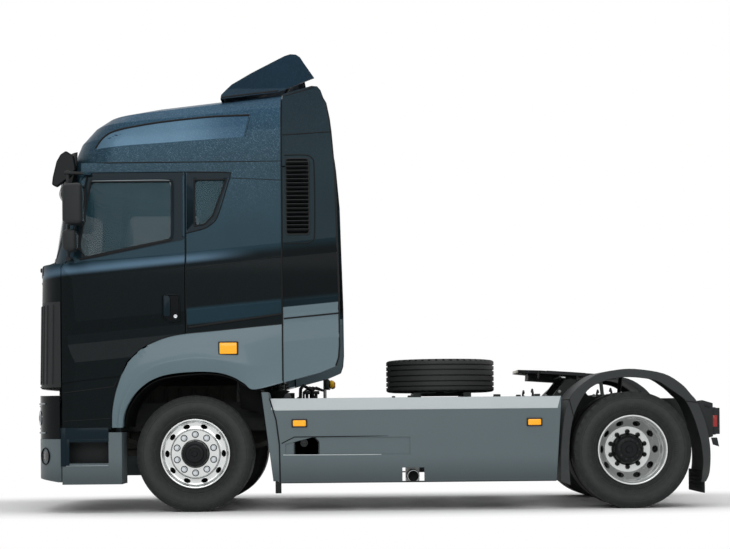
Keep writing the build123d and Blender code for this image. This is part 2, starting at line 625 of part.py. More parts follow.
with BuildPart() as fifth_wheel_base:
    block((FIFTH_X - 380, FIFTH_X + 380), (-RAIL_OUT, RAIL_OUT), (RAIL_TOP, RAIL_TOP + 22))
    for s in (1, -1):
        y = sorted((s * PEDESTAL_Y[0], s * PEDESTAL_Y[1]))
        with BuildSketch(side_plane(s * PEDESTAL_Y[0])):
            with BuildLine():
                Polyline(
                    (FIFTH_X - 170, RAIL_TOP + 20), (FIFTH_X + 170, RAIL_TOP + 20),
                    (FIFTH_X + 48, FIFTH_Z + 20), (FIFTH_X - 48, FIFTH_Z + 20), close=True,
                )
            make_face()
        extrude(amount=-s * (PEDESTAL_Y[1] - PEDESTAL_Y[0]))
        pin_y(FIFTH_X, sorted((s * (EAR_Y[0] - 10), s * PEDESTAL_Y[1])), FIFTH_Z, FIFTH_PIN_R)
save(fifth_wheel_base, "fifth_wheel_base")

PLATE_PLANE = Plane(origin=(ax(FIFTH_X), 0, FIFTH_Z), x_dir=(1, 0, 0), z_dir=(0, 0, 1)).rotated(
    (0, FIFTH_REST, 0)
)
with BuildPart() as fifth_wheel_plate:
    with BuildSketch(PLATE_PLANE.offset(FIFTH_TOP - FIFTH_T)):
        with BuildLine():
            for s in (1, -1):
                Polyline(
                    (-FIFTH_FRONT, 0), (-FIFTH_FRONT, s * 270), (-FIFTH_FRONT + 190, s * FIFTH_HALF),
                    (180, s * FIFTH_HALF), (FIFTH_REAR, s * 350), (FIFTH_REAR, s * 250), (60, s * 40),
                    (40, s * JAW_R), (0, s * JAW_R),
                )
            Line((0, JAW_R), (0, -JAW_R))
        make_face()
        Circle(JAW_R, mode=Mode.SUBTRACT)
    extrude(amount=FIFTH_T)
    # skirt rails, ears on the pivot and the lock bar behind the jaw
    with BuildSketch(PLATE_PLANE.offset(FIFTH_TOP - FIFTH_T - 62)):
        with Locations((-150, 0)):
            Rectangle(420, 300)
        Circle(JAW_R, mode=Mode.SUBTRACT)
    extrude(amount=62)
    with BuildSketch(PLATE_PLANE.offset(FIFTH_TOP - FIFTH_T - 62)):
        with Locations((60, 0)):
            Rectangle(70, 300)
        Circle(JAW_R, mode=Mode.SUBTRACT)
    extrude(amount=40)
    for s in (1, -1):
        with BuildSketch(PLATE_PLANE.offset(-45)):
            with Locations((0, s * (EAR_Y[0] + EAR_Y[1]) / 2)):
                Rectangle(120, EAR_Y[1] - EAR_Y[0])
        extrude(amount=FIFTH_TOP - FIFTH_T + 46)
        pin_y(FIFTH_X, sorted((s * (EAR_Y[0] - 1), s * (EAR_Y[1] + 1))), FIFTH_Z, FIFTH_PIN_R + PIN_PLAY,
              mode=Mode.SUBTRACT)
save(fifth_wheel_plate, "fifth_wheel_plate")

# ======================================================================= rear fenders and tail
FENDER_R = 705
FENDER_T = 8
FENDER_Y = (HALF_WIDTH - 657, SIDE_OUT)
FENDER_LIP = 85
FENDER_FEET = ((WHEELBASE - 628, 245), (WHEELBASE + 678, 600))
FLAP_X = WHEELBASE + 652
FLAP_Z = (126, 640)


def fender_outline(radius, front_foot_x, rear_foot_x):
    """An arch over the rear wheel with a straight leg down each side."""
    left = (WHEELBASE - radius * cos(radians(35)), AXLE_Z + radius * sin(radians(35)))
    right = (WHEELBASE + radius * cos(radians(35)), AXLE_Z + radius * sin(radians(35)))
    top = (WHEELBASE, AXLE_Z + radius)
    Polyline((front_foot_x, FENDER_FEET[0][1]), (front_foot_x + 24, AXLE_Z), left)
    ThreePointArc(left, top, right)
    Polyline(right, (rear_foot_x, FENDER_FEET[1][1]))


with BuildPart() as rear_fenders:
    # the arch over both tyres, then its broad lip along the outer side
    for band, depth in ((FENDER_T, FENDER_Y[0] - FENDER_Y[1]), (FENDER_LIP, -FENDER_T)):
        with BuildSketch(side_plane(-FENDER_Y[1])):
            with BuildLine():
                (front_x, front_z), (rear_x, rear_z) = FENDER_FEET
                fender_outline(FENDER_R, front_x, rear_x)
                Line((rear_x, rear_z), (rear_x - band, rear_z))
                fender_outline(FENDER_R - band, front_x + band, rear_x - band)
                Line((front_x, front_z), (front_x + band, front_z))
            make_face()
        extrude(amount=depth)
    block((WHEELBASE - 30, WHEELBASE + 30), (-FENDER_Y[0], -RAIL_OUT), (RAIL_TOP - 60, RAIL_TOP - 20))
    block((WHEELBASE - 30, WHEELBASE + 30), (-FENDER_Y[0] - 1, -FENDER_Y[0] + 20),
          (RAIL_TOP - 60, AXLE_Z + FENDER_R - 2))
    block((FLAP_X - 6, FLAP_X + 6), (-FENDER_Y[1] + 10, -FENDER_Y[0]), FLAP_Z)
    block((FLAP_X - 6, FENDER_FEET[1][0]), (-FENDER_Y[1] + 10, -FENDER_Y[0]), (FENDER_FEET[1][1], FLAP_Z[1]))
    mirror(about=Plane.XZ)
save(rear_fenders, "rear_fenders")

LAMP_X = (WHEELBASE + 733, WHEELBASE + REAR_REACH)
LAMP_Y = (HALF_WIDTH - 397, HALF_WIDTH - 57)
LAMP_Z = (630, 870)
with BuildPart() as rear_closing_beam:
    block((RAIL_REAR_X, CLOSING_X), (-RAIL_OUT, RAIL_OUT), (RAIL_BOTTOM, RAIL_TOP))
    block((RAIL_REAR_X + CROSS_T, CLOSING_X + 1), (-RAIL_OUT + 20, RAIL_OUT - 20),
          (RAIL_BOTTOM + CROSS_T, RAIL_TOP - CROSS_T), mode=Mode.SUBTRACT)
    block((RAIL_REAR_X, RAIL_REAR_X + 10), (-RAIL_OUT, RAIL_OUT), (RAIL_BOTTOM, RAIL_TOP))
    block((LAMP_X[0] - 28, LAMP_X[0]), (-LAMP_Y[1] + 40, LAMP_Y[1] - 40), (720, 780))
    block((CLOSING_X - 5, LAMP_X[0]), (-RAIL_OUT, -RAIL_OUT + 20), (720, 780))
    block((CLOSING_X - 5, LAMP_X[0]), (RAIL_OUT - 20, RAIL_OUT), (720, 780))
    block((LAMP_X[0] - 20, LAMP_X[0] - 8), (-260, 260), (560, 730))
save(rear_closing_beam, "rear_closing_beam")

with BuildPart() as tail_lamps:
    block(LAMP_X, (-LAMP_Y[1], -LAMP_Y[0]), LAMP_Z)
    fillet(tail_lamps.edges().filter_by(Axis.X), 25)
    chamfer(tail_lamps.faces().sort_by(Axis.X)[-1].edges(), 8)
    mirror(about=Plane.XZ)
save(tail_lamps, "tail_lamps")

# ======================================================================= cab
# The cab's volume is a plan outline (crowned front, round corners), sheared back as it rises, cut to
# a cross-section whose creases climb rearward. Every panel is a piece of its wall.
CAB_WALL = 60
CAB_FLOOR_T = 40
CAB_BOTTOM = 1230
COWL_Z = 2170               # foot of the windshield
ROOF_SEAM_Z = DOOR_TOP + 83
CAB_REAR_X = 780
CAB_CROWN = 185             # how far the front bows from the corners to the middle
CAB_CORNER_R = 420
COWL_SETBACK = 95           # windshield's foot behind the front panel
LOWER_RAKE = 0.02           # lean back per unit of height
SCREEN_RAKE = 0.159
CREASE_SLOPE = 0.09         # rise of the side creases per unit of length
SIDE_PROFILE = (            # half width, height above the front axle
    (HALF_WIDTH - 9, 500), (HALF_WIDTH, 1400), (HALF_WIDTH - 15, 1560), (HALF_WIDTH - 17, 1640),
    (HALF_WIDTH, 1751), (HALF_WIDTH - 7, 2131), (HALF_WIDTH - 42, 2264), (HALF_WIDTH - 81, ROOF_SEAM_Z + 75),
    (HALF_WIDTH - 97, ROOF_SEAM_Z + 255), (HALF_WIDTH - 149, ROOF_SEAM_Z + 735),
)
LID_SETBACK = 62            # front wall behind the lid


def cab_plan(front_x, half_width):
    """Plan outline of the cab: crowned front, round front corners; it runs on past the rear wall."""
    rear = ax(CAB_REAR_X + 900)
    with BuildSketch(mode=Mode.PRIVATE) as plan:
        with BuildLine():
            corner_x = ax(front_x + CAB_CROWN)
            ThreePointArc((corner_x, -half_width), (ax(front_x), 0), (corner_x, half_width))
            Polyline(
                (corner_x, half_width), (rear, half_width), (rear, -half_width), (corner_x, -half_width)
            )
        make_face()
        fillet(plan.vertices().group_by(Axis.X)[0], CAB_CORNER_R)
    return plan.sketch


def raked_block(front_x, rake, z, inset, half_width=HALF_WIDTH + 3):
    """The plan outline, front edge at front_x at height z[0], carried up to z[1] leaning back."""
    height = z[1] - z[0]
    with BuildPart(mode=Mode.PRIVATE) as raked:
        with BuildSketch(Plane.XY.offset(z[0])):
            add(cab_plan(front_x, half_width))
            if inset:
                offset(amount=-inset)
        extrude(amount=height * sqrt(1 + rake**2), dir=(rake, 0, 1))
    return raked.part


def side_section(inset, rear_x):
    """The cross-section, carried back from ahead of the front to rear_x along the creases' slope."""
    start = -FRONT_REACH - 100
    drop = start * CREASE_SLOPE
    length = rear_x - start
    with BuildPart(mode=Mode.PRIVATE) as section:
        with BuildSketch(cross_plane(start)):
            with BuildLine():
                for s in (1, -1):
                    Polyline(*[(s * (y - inset), z + drop) for y, z in SIDE_PROFILE])
                for y, z in (SIDE_PROFILE[0], SIDE_PROFILE[-1]):
                    Line((-y + inset, z + drop), (y - inset, z + drop))
            make_face()
        extrude(amount=length * sqrt(1 + CREASE_SLOPE**2), dir=(1, 0, CREASE_SLOPE))
    return section.part


def cab_volume(inset, bottom=CAB_BOTTOM, top=ROOF_SEAM_Z, rear_x=CAB_REAR_X, setback=0):
    """The cab's outer volume moved in by inset, its lower front also moved back by setback."""
    lean = LOWER_RAKE * (bottom - CAB_BOTTOM)
    screen_x = -FRONT_REACH + COWL_SETBACK + (COWL_Z - CAB_BOTTOM) * LOWER_RAKE + 20
    screen_foot = COWL_Z - inset
    with BuildPart(mode=Mode.PRIVATE) as volume:
        add(raked_block(-FRONT_REACH + 15 + lean + setback, LOWER_RAKE, (bottom, screen_foot), inset))
        add(raked_block(screen_x + SCREEN_RAKE * (screen_foot - COWL_Z), SCREEN_RAKE, (screen_foot, top),
                        inset))
        add(side_section(inset, rear_x), mode=Mode.INTERSECT)
    return volume.part


def side_prism(points, y):
    """A side-view outline carried across between two y values."""
    with BuildPart(mode=Mode.PRIVATE) as prism:
        with BuildSketch(side_plane(y[0])):
            with BuildLine():
                Polyline(*points, close=True)
            make_face()
        extrude(amount=-(y[1] - y[0]))
    return prism.part


def front_prism(points, x):
    """A front-view outline, mirrored about the middle, carried back between two x values."""
    with BuildPart(mode=Mode.PRIVATE) as prism:
        with BuildSketch(cross_plane(x[0])):
            with BuildLine():
                Polyline(*points, *[(-y, z) for y, z in reversed(points)], close=True)
            make_face()
        extrude(amount=x[1] - x[0])
    return prism.part


# panels' outlines in side view
DOOR_REAR_X = -64
DOOR_HEM = 720              # bottom of the cover ahead of the wheel
ARCH_POINTS = (             # outer edge of the arch cladding, front foot to rear
    (-712, 741), (-706, 900), (-663, 1094), (-573, 1305), (-466, 1410), (-359, 1471), (-217, 1523),
    (-64, 1550),
)
GLASS_TOP = DOOR_TOP - 82
GLASS_POINTS = (
    (DOOR_FRONT_X + 162, 2317), (DOOR_FRONT_X + 206, 2219), (DOOR_FRONT_X + 330, 2245), (-185, 2375),
    (-180, GLASS_TOP), (DOOR_FRONT_X + 264, GLASS_TOP),
)
QUARTER_POINTS = ((15, 2486), (104, 2500), (176, 2575), (292, GLASS_TOP + 10), (15, GLASS_TOP + 10))
CLAD_REAR_TOP = (1262, 1668)
CLAD_BOTTOM = ((1256, 1326), (1229, 1255), (1105, 1203), (813, 1126), (521, 1058))
ARCH_INNER = (
    (433, 1111), (345, 1165), (222, 1202), (63, 1212), (-114, 1199), (-291, 1170), (-415, 1109), (-522, 1004),
    (-594, 863), (-612, 741),
)
DOOR_REBATE = 30
DOOR_T = 46
GLASS_IN = 10
GLASS_T = 6

door_outline = (
    (DOOR_FRONT_X, DOOR_HEM), (DOOR_FRONT_X, 2140), (DOOR_FRONT_X + 72, 2230),
    (DOOR_FRONT_X + 178, DOOR_TOP - 62), (DOOR_FRONT_X + 245, DOOR_TOP), (DOOR_REAR_X, DOOR_TOP),
    *reversed(ARCH_POINTS), (ARCH_POINTS[0][0], DOOR_HEM),
)
clad_outline = (*ARCH_POINTS, CLAD_REAR_TOP, *CLAD_BOTTOM, *ARCH_INNER)


def grown(points, by):
    """An outline moved out (or in, when by is negative), as a prism's points stay sharp."""
    with BuildSketch(Plane.XY, mode=Mode.PRIVATE) as face:
        with BuildLine():
            Polyline(*points, close=True)
        make_face()
        offset(amount=by, kind=Kind.INTERSECTION)
    return face.sketch


def outline_prism(points, y, by=0):
    """A side-view outline, grown by some amount, carried across between two y values."""
    with BuildPart(mode=Mode.PRIVATE) as prism:
        with BuildSketch(side_plane(y[0])):
            add(grown(points, by))
        extrude(amount=-(y[1] - y[0]))
    return prism.part


LEFT_Y = (-HALF_WIDTH - 80, -700)
RIGHT_Y = (700, HALF_WIDTH + 80)

LID_TOP = 1817
LID_BOTTOM = 1090           # clears the bumper's top edge as the cab tilts
LID_HALF = 850
LID_T = 45
GUIDE_T = 40

cab_outer = cab_volume(0)
cab_wall_in = cab_volume(
    CAB_WALL, bottom=CAB_BOTTOM + CAB_FLOOR_T, top=ROOF_SEAM_Z + 1, rear_x=CAB_REAR_X - CAB_WALL,
    setback=LID_SETBACK,
)
tall_outer = cab_volume(0, bottom=600)
tall_door_in = cab_volume(DOOR_T, bottom=500)

TILT_X = 110 - FRONT_REACH
TILT_Z = 950
TILT_PIN_R = 25
TILT_LUG_Y = (410, 450)
TILT_LUG_R = 30
TILT_ARM_X = (TILT_X + 95, TILT_X + 155)


def panel_room(depth, x, y, z, setback=0):
    """The outer layer of the cab's wall within a box, to cut out or to keep as a panel."""
    with BuildPart(mode=Mode.PRIVATE) as room:
        add(cab_volume(0, bottom=700))
        add(cab_volume(0 if setback else depth, bottom=600, setback=setback), mode=Mode.SUBTRACT)
        block(x, y, z, mode=Mode.INTERSECT)
    return room.part


FRONT_ZONE = (-FRONT_REACH - 60, DOOR_FRONT_X - SEAM)
GUIDE_Z = (1095, 1840)
BUFFER_Y = 600
BUFFER_Z = (1300, 1360)
SCREEN_POINTS = (           # half of the windshield's outline: y and height
    (HALF_WIDTH - 247, 2232), (HALF_WIDTH - 185, 2420), (HALF_WIDTH - 247, DOOR_TOP - 62),
    (HALF_WIDTH - 287, DOOR_TOP - 12),
)
SCREEN_X = (-FRONT_REACH - 60, DOOR_FRONT_X + 270)
HINGE_POCKET = (            # room in the door's rebate for its swinging edge: x, y, z
    (DOOR_FRONT_X + 5, DOOR_FRONT_X + 70), (HALF_WIDTH - 187, HALF_WIDTH - 117), (2112, 2200),
)

with BuildPart() as cab_shell:
    add(cab_outer)
    add(cab_wall_in, mode=Mode.SUBTRACT)
    # room for the lid and the corner guides in front of the front wall
    add(panel_room(0, FRONT_ZONE, (-LID_HALF - SEAM, LID_HALF + SEAM), (700, LID_TOP + SEAM),
                   setback=LID_T + 15), mode=Mode.SUBTRACT)
    for s in (1, -1):
        add(panel_room(GUIDE_T + FIT, (FRONT_ZONE[0], DOOR_FRONT_X),
                       sorted((s * (LID_HALF + SEAM), s * HALF_WIDTH)), (700, GUIDE_Z[1] + FIT)),
            mode=Mode.SUBTRACT)
        # buffers that the lid closes on
        with BuildPart(mode=Mode.PRIVATE) as buffer:
            add(cab_volume(0, bottom=700, setback=LID_T + FIT))
            add(cab_volume(0, bottom=600, setback=LID_T + 30), mode=Mode.SUBTRACT)
            block(FRONT_ZONE, (s * BUFFER_Y - 30, s * BUFFER_Y + 30), BUFFER_Z, mode=Mode.INTERSECT)
        add(buffer.part)
    for y in (LEFT_Y, RIGHT_Y):
        # door aperture: full size to the door's depth, then a rebate for it to close on
        with BuildPart(mode=Mode.PRIVATE) as aperture:
            add(outline_prism(door_outline, y))
            add(cab_volume(DOOR_T + FIT, bottom=600), mode=Mode.SUBTRACT)
        add(aperture.part, mode=Mode.SUBTRACT)
        add(outline_prism(door_outline, y, by=-DOOR_REBATE), mode=Mode.SUBTRACT)
        add(outline_prism(clad_outline, y, by=FIT), mode=Mode.SUBTRACT)
        add(outline_prism(QUARTER_POINTS, y), mode=Mode.SUBTRACT)
    add(front_prism(SCREEN_POINTS, SCREEN_X), mode=Mode.SUBTRACT)
    for s in (1, -1):
        pocket_x, pocket_y, pocket_z = HINGE_POCKET
        block(pocket_x, sorted((s * pocket_y[0], s * pocket_y[1])), pocket_z, mode=Mode.SUBTRACT)
    # tilt lugs: an arm back from the pin, then up to the floor
    for s in (1, -1):
        y = sorted((s * TILT_LUG_Y[0], s * TILT_LUG_Y[1]))
        block((TILT_X, TILT_ARM_X[1]), y, (TILT_Z - TILT_LUG_R, TILT_Z + TILT_LUG_R))
        block(TILT_ARM_X, y, (TILT_Z - TILT_LUG_R, CAB_BOTTOM + 5))
        pin_y(TILT_X, y, TILT_Z, TILT_LUG_R)
        pin_y(TILT_X, (y[0] - 1, y[1] + 1), TILT_Z, TILT_PIN_R + PIN_PLAY, mode=Mode.SUBTRACT)
save(cab_shell, "cab_shell")

# ---- glass ----
with BuildPart() as cab_glass:
    add(cab_volume(GLASS_IN))
    add(cab_volume(GLASS_IN + GLASS_T), mode=Mode.SUBTRACT)
    with BuildPart(mode=Mode.PRIVATE) as panes:
        add(front_prism([(y - FIT, z + (FIT if z < 2500 else -FIT)) for y, z in SCREEN_POINTS], SCREEN_X))
        for y in (LEFT_Y, RIGHT_Y):
            add(outline_prism(QUARTER_POINTS, y, by=-FIT))
    add(panes.part, mode=Mode.INTERSECT)
save(cab_glass, "cab_glass")

MIRROR_POST = (DOOR_FRONT_X + 82, -HALF_WIDTH - 21)
MIRROR_POST_R = 15
MIRROR_IN_Y = MIRROR_POST[1] - 20
MIRROR_HOUSINGS = (         # x, y and z of each housing's corners
    ((DOOR_FRONT_X + 65, DOOR_FRONT_X + 230), (MIRROR_IN_Y - 202, MIRROR_IN_Y), (2485, 2832)),
    ((DOOR_FRONT_X + 60, DOOR_FRONT_X + 180), (MIRROR_IN_Y - 192, MIRROR_IN_Y), (2255, 2440)),
)
MIRROR_POST_Z = (2215, DOOR_TOP - 27)
MIRROR_STAY_T = 18
MIRROR_TOP_STAY = (         # back from the door's front edge, and in from the cab's widest point
    (60, -45), (104, -45), (270, 32), (270, 87), (245, 87), (245, 57), (60, -3),
)

DOOR_SKIN_GROOVE = ((DOOR_FRONT_X - 10, 1118), (DOOR_FRONT_X - 10, 1130), (-620, 1190), (-620, 1178))
with BuildPart() as door_left:
    add(tall_outer)
    add(tall_door_in, mode=Mode.SUBTRACT)
    add(outline_prism(door_outline, LEFT_Y, by=-SEAM), mode=Mode.INTERSECT)
    add(outline_prism(GLASS_POINTS, LEFT_Y), mode=Mode.SUBTRACT)
    # groove between the door and the cover below it
    with BuildPart(mode=Mode.PRIVATE) as groove:
        add(tall_outer)
        add(cab_volume(8, bottom=500), mode=Mode.SUBTRACT)
        add(side_prism(DOOR_SKIN_GROOVE, LEFT_Y), mode=Mode.INTERSECT)
    add(groove.part, mode=Mode.SUBTRACT)
    # stays above and below the mirror's post
    block((MIRROR_POST[0] - 22, MIRROR_POST[0] + 22), (MIRROR_POST[1] - 22, 82 - HALF_WIDTH),
          (MIRROR_POST_Z[0] - FIT - MIRROR_STAY_T, MIRROR_POST_Z[0] - FIT))
    with BuildSketch(Plane.XY.offset(MIRROR_POST_Z[1] + FIT)):
        with BuildLine():
            Polyline(*[(ax(DOOR_FRONT_X + x), y - HALF_WIDTH) for x, y in MIRROR_TOP_STAY], close=True)
        make_face()
    extrude(amount=MIRROR_STAY_T)
save(door_left, "door_left")
with BuildPart() as door_right:
    add(mirror(door_left.part, about=Plane.XZ))
save(door_right, "door_right")

with BuildPart() as door_glass_left:
    add(cab_volume(GLASS_IN))
    add(cab_volume(GLASS_IN + GLASS_T), mode=Mode.SUBTRACT)
    add(outline_prism(GLASS_POINTS, LEFT_Y, by=-FIT), mode=Mode.INTERSECT)
save(door_glass_left, "door_glass_left")
with BuildPart() as door_glass_right:
    add(mirror(door_glass_left.part, about=Plane.XZ))
save(door_glass_right, "door_glass_right")

with BuildPart() as arch_claddings:
    add(tall_outer)
    add(cab_volume(CAB_WALL, bottom=500), mode=Mode.SUBTRACT)
    add(outline_prism(clad_outline, LEFT_Y), mode=Mode.INTERSECT)
    block((-900, CAB_REAR_X - SEAM / 2), LEFT_Y, (600, 2000), mode=Mode.INTERSECT)
    mirror(about=Plane.XZ)
save(arch_claddings, "arch_claddings")

# ---- front lid, corner guides, sun visor ----
with BuildPart() as front_lid:
    add(cab_volume(0, bottom=700))
    add(cab_volume(0, bottom=600, setback=LID_T), mode=Mode.SUBTRACT)
    block((-FRONT_REACH - 60, DOOR_FRONT_X), (-LID_HALF, LID_HALF), (LID_BOTTOM, LID_TOP),
          mode=Mode.INTERSECT)
save(front_lid, "front_lid")

with BuildPart() as corner_guides:
    add(panel_room(GUIDE_T, FRONT_ZONE, (-HALF_WIDTH, -LID_HALF - SEAM - FIT), GUIDE_Z))
    mirror(about=Plane.XZ)
save(corner_guides, "corner_guides")

VISOR_FRONT_X = 187 - FRONT_REACH       # at its lower edge, in the middle
VISOR_T = 16
VISOR_HALF = HALF_WIDTH + 3
VISOR_Z = (DOOR_TOP - 132, DOOR_TOP + 188)
VISOR_RAKE = 0.28
VISOR_REAR_X = DOOR_FRONT_X + 140
VISOR_STAY_Y = 520
with BuildPart() as sun_visor:
    add(raked_block(VISOR_FRONT_X, VISOR_RAKE, VISOR_Z, 0, half_width=VISOR_HALF))
    add(raked_block(VISOR_FRONT_X - VISOR_RAKE, VISOR_RAKE, (VISOR_Z[0] - 1, VISOR_Z[1] + 1), VISOR_T,
                    half_width=VISOR_HALF), mode=Mode.SUBTRACT)
    block((-FRONT_REACH, VISOR_REAR_X), (-HALF_WIDTH, HALF_WIDTH), VISOR_Z, mode=Mode.INTERSECT)
    # stays back to the header over the windshield
    for s in (1, -1):
        with BuildPart(mode=Mode.PRIVATE) as stay:
            add(raked_block(VISOR_FRONT_X, VISOR_RAKE, VISOR_Z, VISOR_T / 2, half_width=VISOR_HALF))
            add(cab_volume(-FIT), mode=Mode.SUBTRACT)
            block((-FRONT_REACH, VISOR_REAR_X + 10), (s * VISOR_STAY_Y - 15, s * VISOR_STAY_Y + 15),
                  (DOOR_TOP + 8, DOOR_TOP + 68),
                  mode=Mode.INTERSECT)
        add(stay.part)
save(sun_visor, "sun_visor")

# ---- roof ----
ROOF_WALL = 45
ROOF_SECTIONS = (           # height above the front axle, slope, front x, half width, corner radius
    (ROOF_SEAM_Z + FIT, 0.0, DOOR_FRONT_X - 10, HALF_WIDTH - 79, 400),
    (ROOF_SEAM_Z + 255, 0.05, DOOR_FRONT_X + 75, HALF_WIDTH - 97, 380),
    (ROOF_SEAM_Z + 415, 0.09, DOOR_FRONT_X + 190, HALF_WIDTH - 125, 350),
    (ROOF_SEAM_Z + 500, 0.111, DOOR_FRONT_X + 300, HALF_WIDTH - 187, 300),
    (ROOF_SEAM_Z + 538, 0.111, DOOR_FRONT_X + 590, HALF_WIDTH - 307, 220),
)
ROOF_CROWN = 110


def roof_section(height, slope, front_x, half_width, corner_r, inset):
    """One plan section of the roof, on a plane that climbs rearward."""
    tilt = Plane(origin=(ax(0), 0, height), x_dir=(1, 0, slope), z_dir=(-slope, 0, 1))
    half = half_width - inset
    front = front_x + inset
    rear = CAB_REAR_X - inset
    with BuildSketch(tilt, mode=Mode.PRIVATE) as section:
        with BuildLine():
            ThreePointArc((front + ROOF_CROWN, -half), (front, 0), (front + ROOF_CROWN, half))
            Polyline((front + ROOF_CROWN, half), (rear, half), (rear, -half), (front + ROOF_CROWN, -half))
        make_face()
        fillet(section.vertices().group_by(Axis.X)[0], corner_r)
    return section.sketch


def roof_volume(inset, bottom_drop=0):
    with BuildPart(mode=Mode.PRIVATE) as volume:
        for k, (height, slope, front_x, half_width, corner_r) in enumerate(ROOF_SECTIONS):
            lower = bottom_drop if k == 0 else inset * 0.9
            add(roof_section(height - lower, slope, front_x, half_width, corner_r, inset))
        loft(ruled=True)
    return volume.part


with BuildPart() as roof_cap:
    add(roof_volume(0))
    add(roof_volume(ROOF_WALL, bottom_drop=1), mode=Mode.SUBTRACT)
save(roof_cap, "roof_cap")

# ---- side extenders with their intake louvres ----
EXTENDER_T = 40
EXTENDER_FRONT_X = CAB_REAR_X + FIT
EXTENDER_REAR = (
    (790, ROOF_SEAM_Z + 595), (1040, ROOF_SEAM_Z + 666), (1090, ROOF_SEAM_Z + 661), (1120, ROOF_SEAM_Z + 626),
    (1159, ROOF_SEAM_Z + 515), (1188, ROOF_SEAM_Z + 375), (1202, ROOF_SEAM_Z + 265),
    (1234, ROOF_SEAM_Z - 106), (1243, 2585), (1262, 1918), (1264, 1438), (1256, 1326), (1229, 1255),
    (1105, 1203),
)
INTAKE_X = (812, 1012)
INTAKE_Z = (2405, ROOF_SEAM_Z + 15)
INTAKE_R = 40
SLAT_COUNT = 17
SLAT_T = 12

with BuildPart() as side_extenders:
    add(side_section(0, 1300))
    add(side_section(EXTENDER_T, 1301), mode=Mode.SUBTRACT)
    add(side_prism(((EXTENDER_FRONT_X, 1119), (EXTENDER_FRONT_X, ROOF_SEAM_Z + 515), *EXTENDER_REAR), LEFT_Y),
        mode=Mode.INTERSECT)
    with BuildSketch(side_plane(-HALF_WIDTH - 20)):
        with Locations(((INTAKE_X[0] + INTAKE_X[1]) / 2, (INTAKE_Z[0] + INTAKE_Z[1]) / 2)):
            RectangleRounded(INTAKE_X[1] - INTAKE_X[0], INTAKE_Z[1] - INTAKE_Z[0], INTAKE_R)
    extrude(amount=-200, mode=Mode.SUBTRACT)
    pitch = (INTAKE_Z[1] - INTAKE_Z[0]) / (SLAT_COUNT + 1)
    for k in range(SLAT_COUNT):
        z = INTAKE_Z[0] + (k + 1) * pitch
        block((INTAKE_X[0] - 5, INTAKE_X[1] + 5), (69 - HALF_WIDTH, 91 - HALF_WIDTH),
              (z - SLAT_T / 2, z + SLAT_T / 2))
    # foot that carries the panel on the cab's rear wall
    for z in (1500, ROOF_SEAM_Z - 45):
        block((EXTENDER_FRONT_X, EXTENDER_FRONT_X + 30), (47 - HALF_WIDTH, 167 - HALF_WIDTH), (z, z + 60))
    mirror(about=Plane.XZ)
save(side_extenders, "side_extenders")

# ---- roof deflector ----
DEFLECTOR_T = 22
DEFLECTOR_HALF = HALF_WIDTH - 172
DEFLECTOR_TOP = (           # length back, height above the roof's seam
    (247, 603), (339, 694), (503, 795), (687, 895), (800, 955), (851, 972), (902, 968), (937, 944),
    (972, 888), (1063, 749),
)
DEFLECTOR_SHOULDER = (ROOF_SEAM_Z + 655, ROOF_SEAM_Z + 1005, 90)     # sides' lean: from, to, by


def roof_top(x):
    """Height of the roof's flat top at a length back from the front axle."""
    return ROOF_SECTIONS[-1][0] + ROOF_SECTIONS[-1][1] * x


def deflector_volume(inset):
    with BuildPart(mode=Mode.PRIVATE) as volume:
        with BuildSketch(side_plane(-DEFLECTOR_HALF + inset)):
            with BuildLine():
                Polyline(
                    (240 + inset, roof_top(240 + inset) + FIT - inset / 4),
                    *[(x + inset, ROOF_SEAM_Z + z - inset) for x, z in DEFLECTOR_TOP],
                    (CAB_REAR_X - 30 + inset, roof_top(CAB_REAR_X - 30) + FIT - inset), close=True,
                )
            make_face()
        extrude(amount=-2 * (DEFLECTOR_HALF - inset))
        with BuildSketch(cross_plane(100)):
            with BuildLine():
                low, high, lean = DEFLECTOR_SHOULDER
                half = DEFLECTOR_HALF - inset
                Polyline(
                    (-half, low - 300), (-half, low), (lean - half, high), (half - lean, high), (half, low),
                    (half, low - 300), close=True,
                )
            make_face()
        extrude(amount=1100, mode=Mode.INTERSECT)
    return volume.part


with BuildPart() as roof_deflector:
    add(deflector_volume(0))
    add(deflector_volume(DEFLECTOR_T), mode=Mode.SUBTRACT)
save(roof_deflector, "roof_deflector")

# ---- inside the cab ----
FLOOR_Z = CAB_BOTTOM + CAB_FLOOR_T
DASH_X = (DOOR_FRONT_X - 60, -935)
DASH_Z = (1500, 2080)
WHEEL_CENTRE = (-690, -600, 1985)
WHEEL_R = 225
WHEEL_TUBE_R = 16
COLUMN_LENGTH = 560
WHEEL_LEAN = 28             # steering column's lean from upright, degrees
SEAT_Y = 600
SEAT_WIDTH = 500
BUNK_X = (110, CAB_REAR_X - CAB_WALL - FIT)

column_plane = Plane(
    origin=(ax(WHEEL_CENTRE[0]), WHEEL_CENTRE[1], WHEEL_CENTRE[2]), x_dir=(0, 1, 0),
    z_dir=(sin(radians(WHEEL_LEAN)), 0, cos(radians(WHEEL_LEAN))),
)
with BuildPart() as dashboard:
    with BuildPart(mode=Mode.PRIVATE) as inside:
        add(cab_volume(CAB_WALL + 12, bottom=FLOOR_Z, setback=LID_SETBACK))
        block(DASH_X, (-HALF_WIDTH, HALF_WIDTH), DASH_Z, mode=Mode.INTERSECT)
    add(inside.part)
    block((DASH_X[0] + 60, DASH_X[1] - 20), (-250, 250), (FLOOR_Z, DASH_Z[0] + 1))
    with BuildSketch(column_plane.offset(-COLUMN_LENGTH)):
        Circle(38)
    extrude(amount=COLUMN_LENGTH - 25)
save(dashboard, "dashboard")

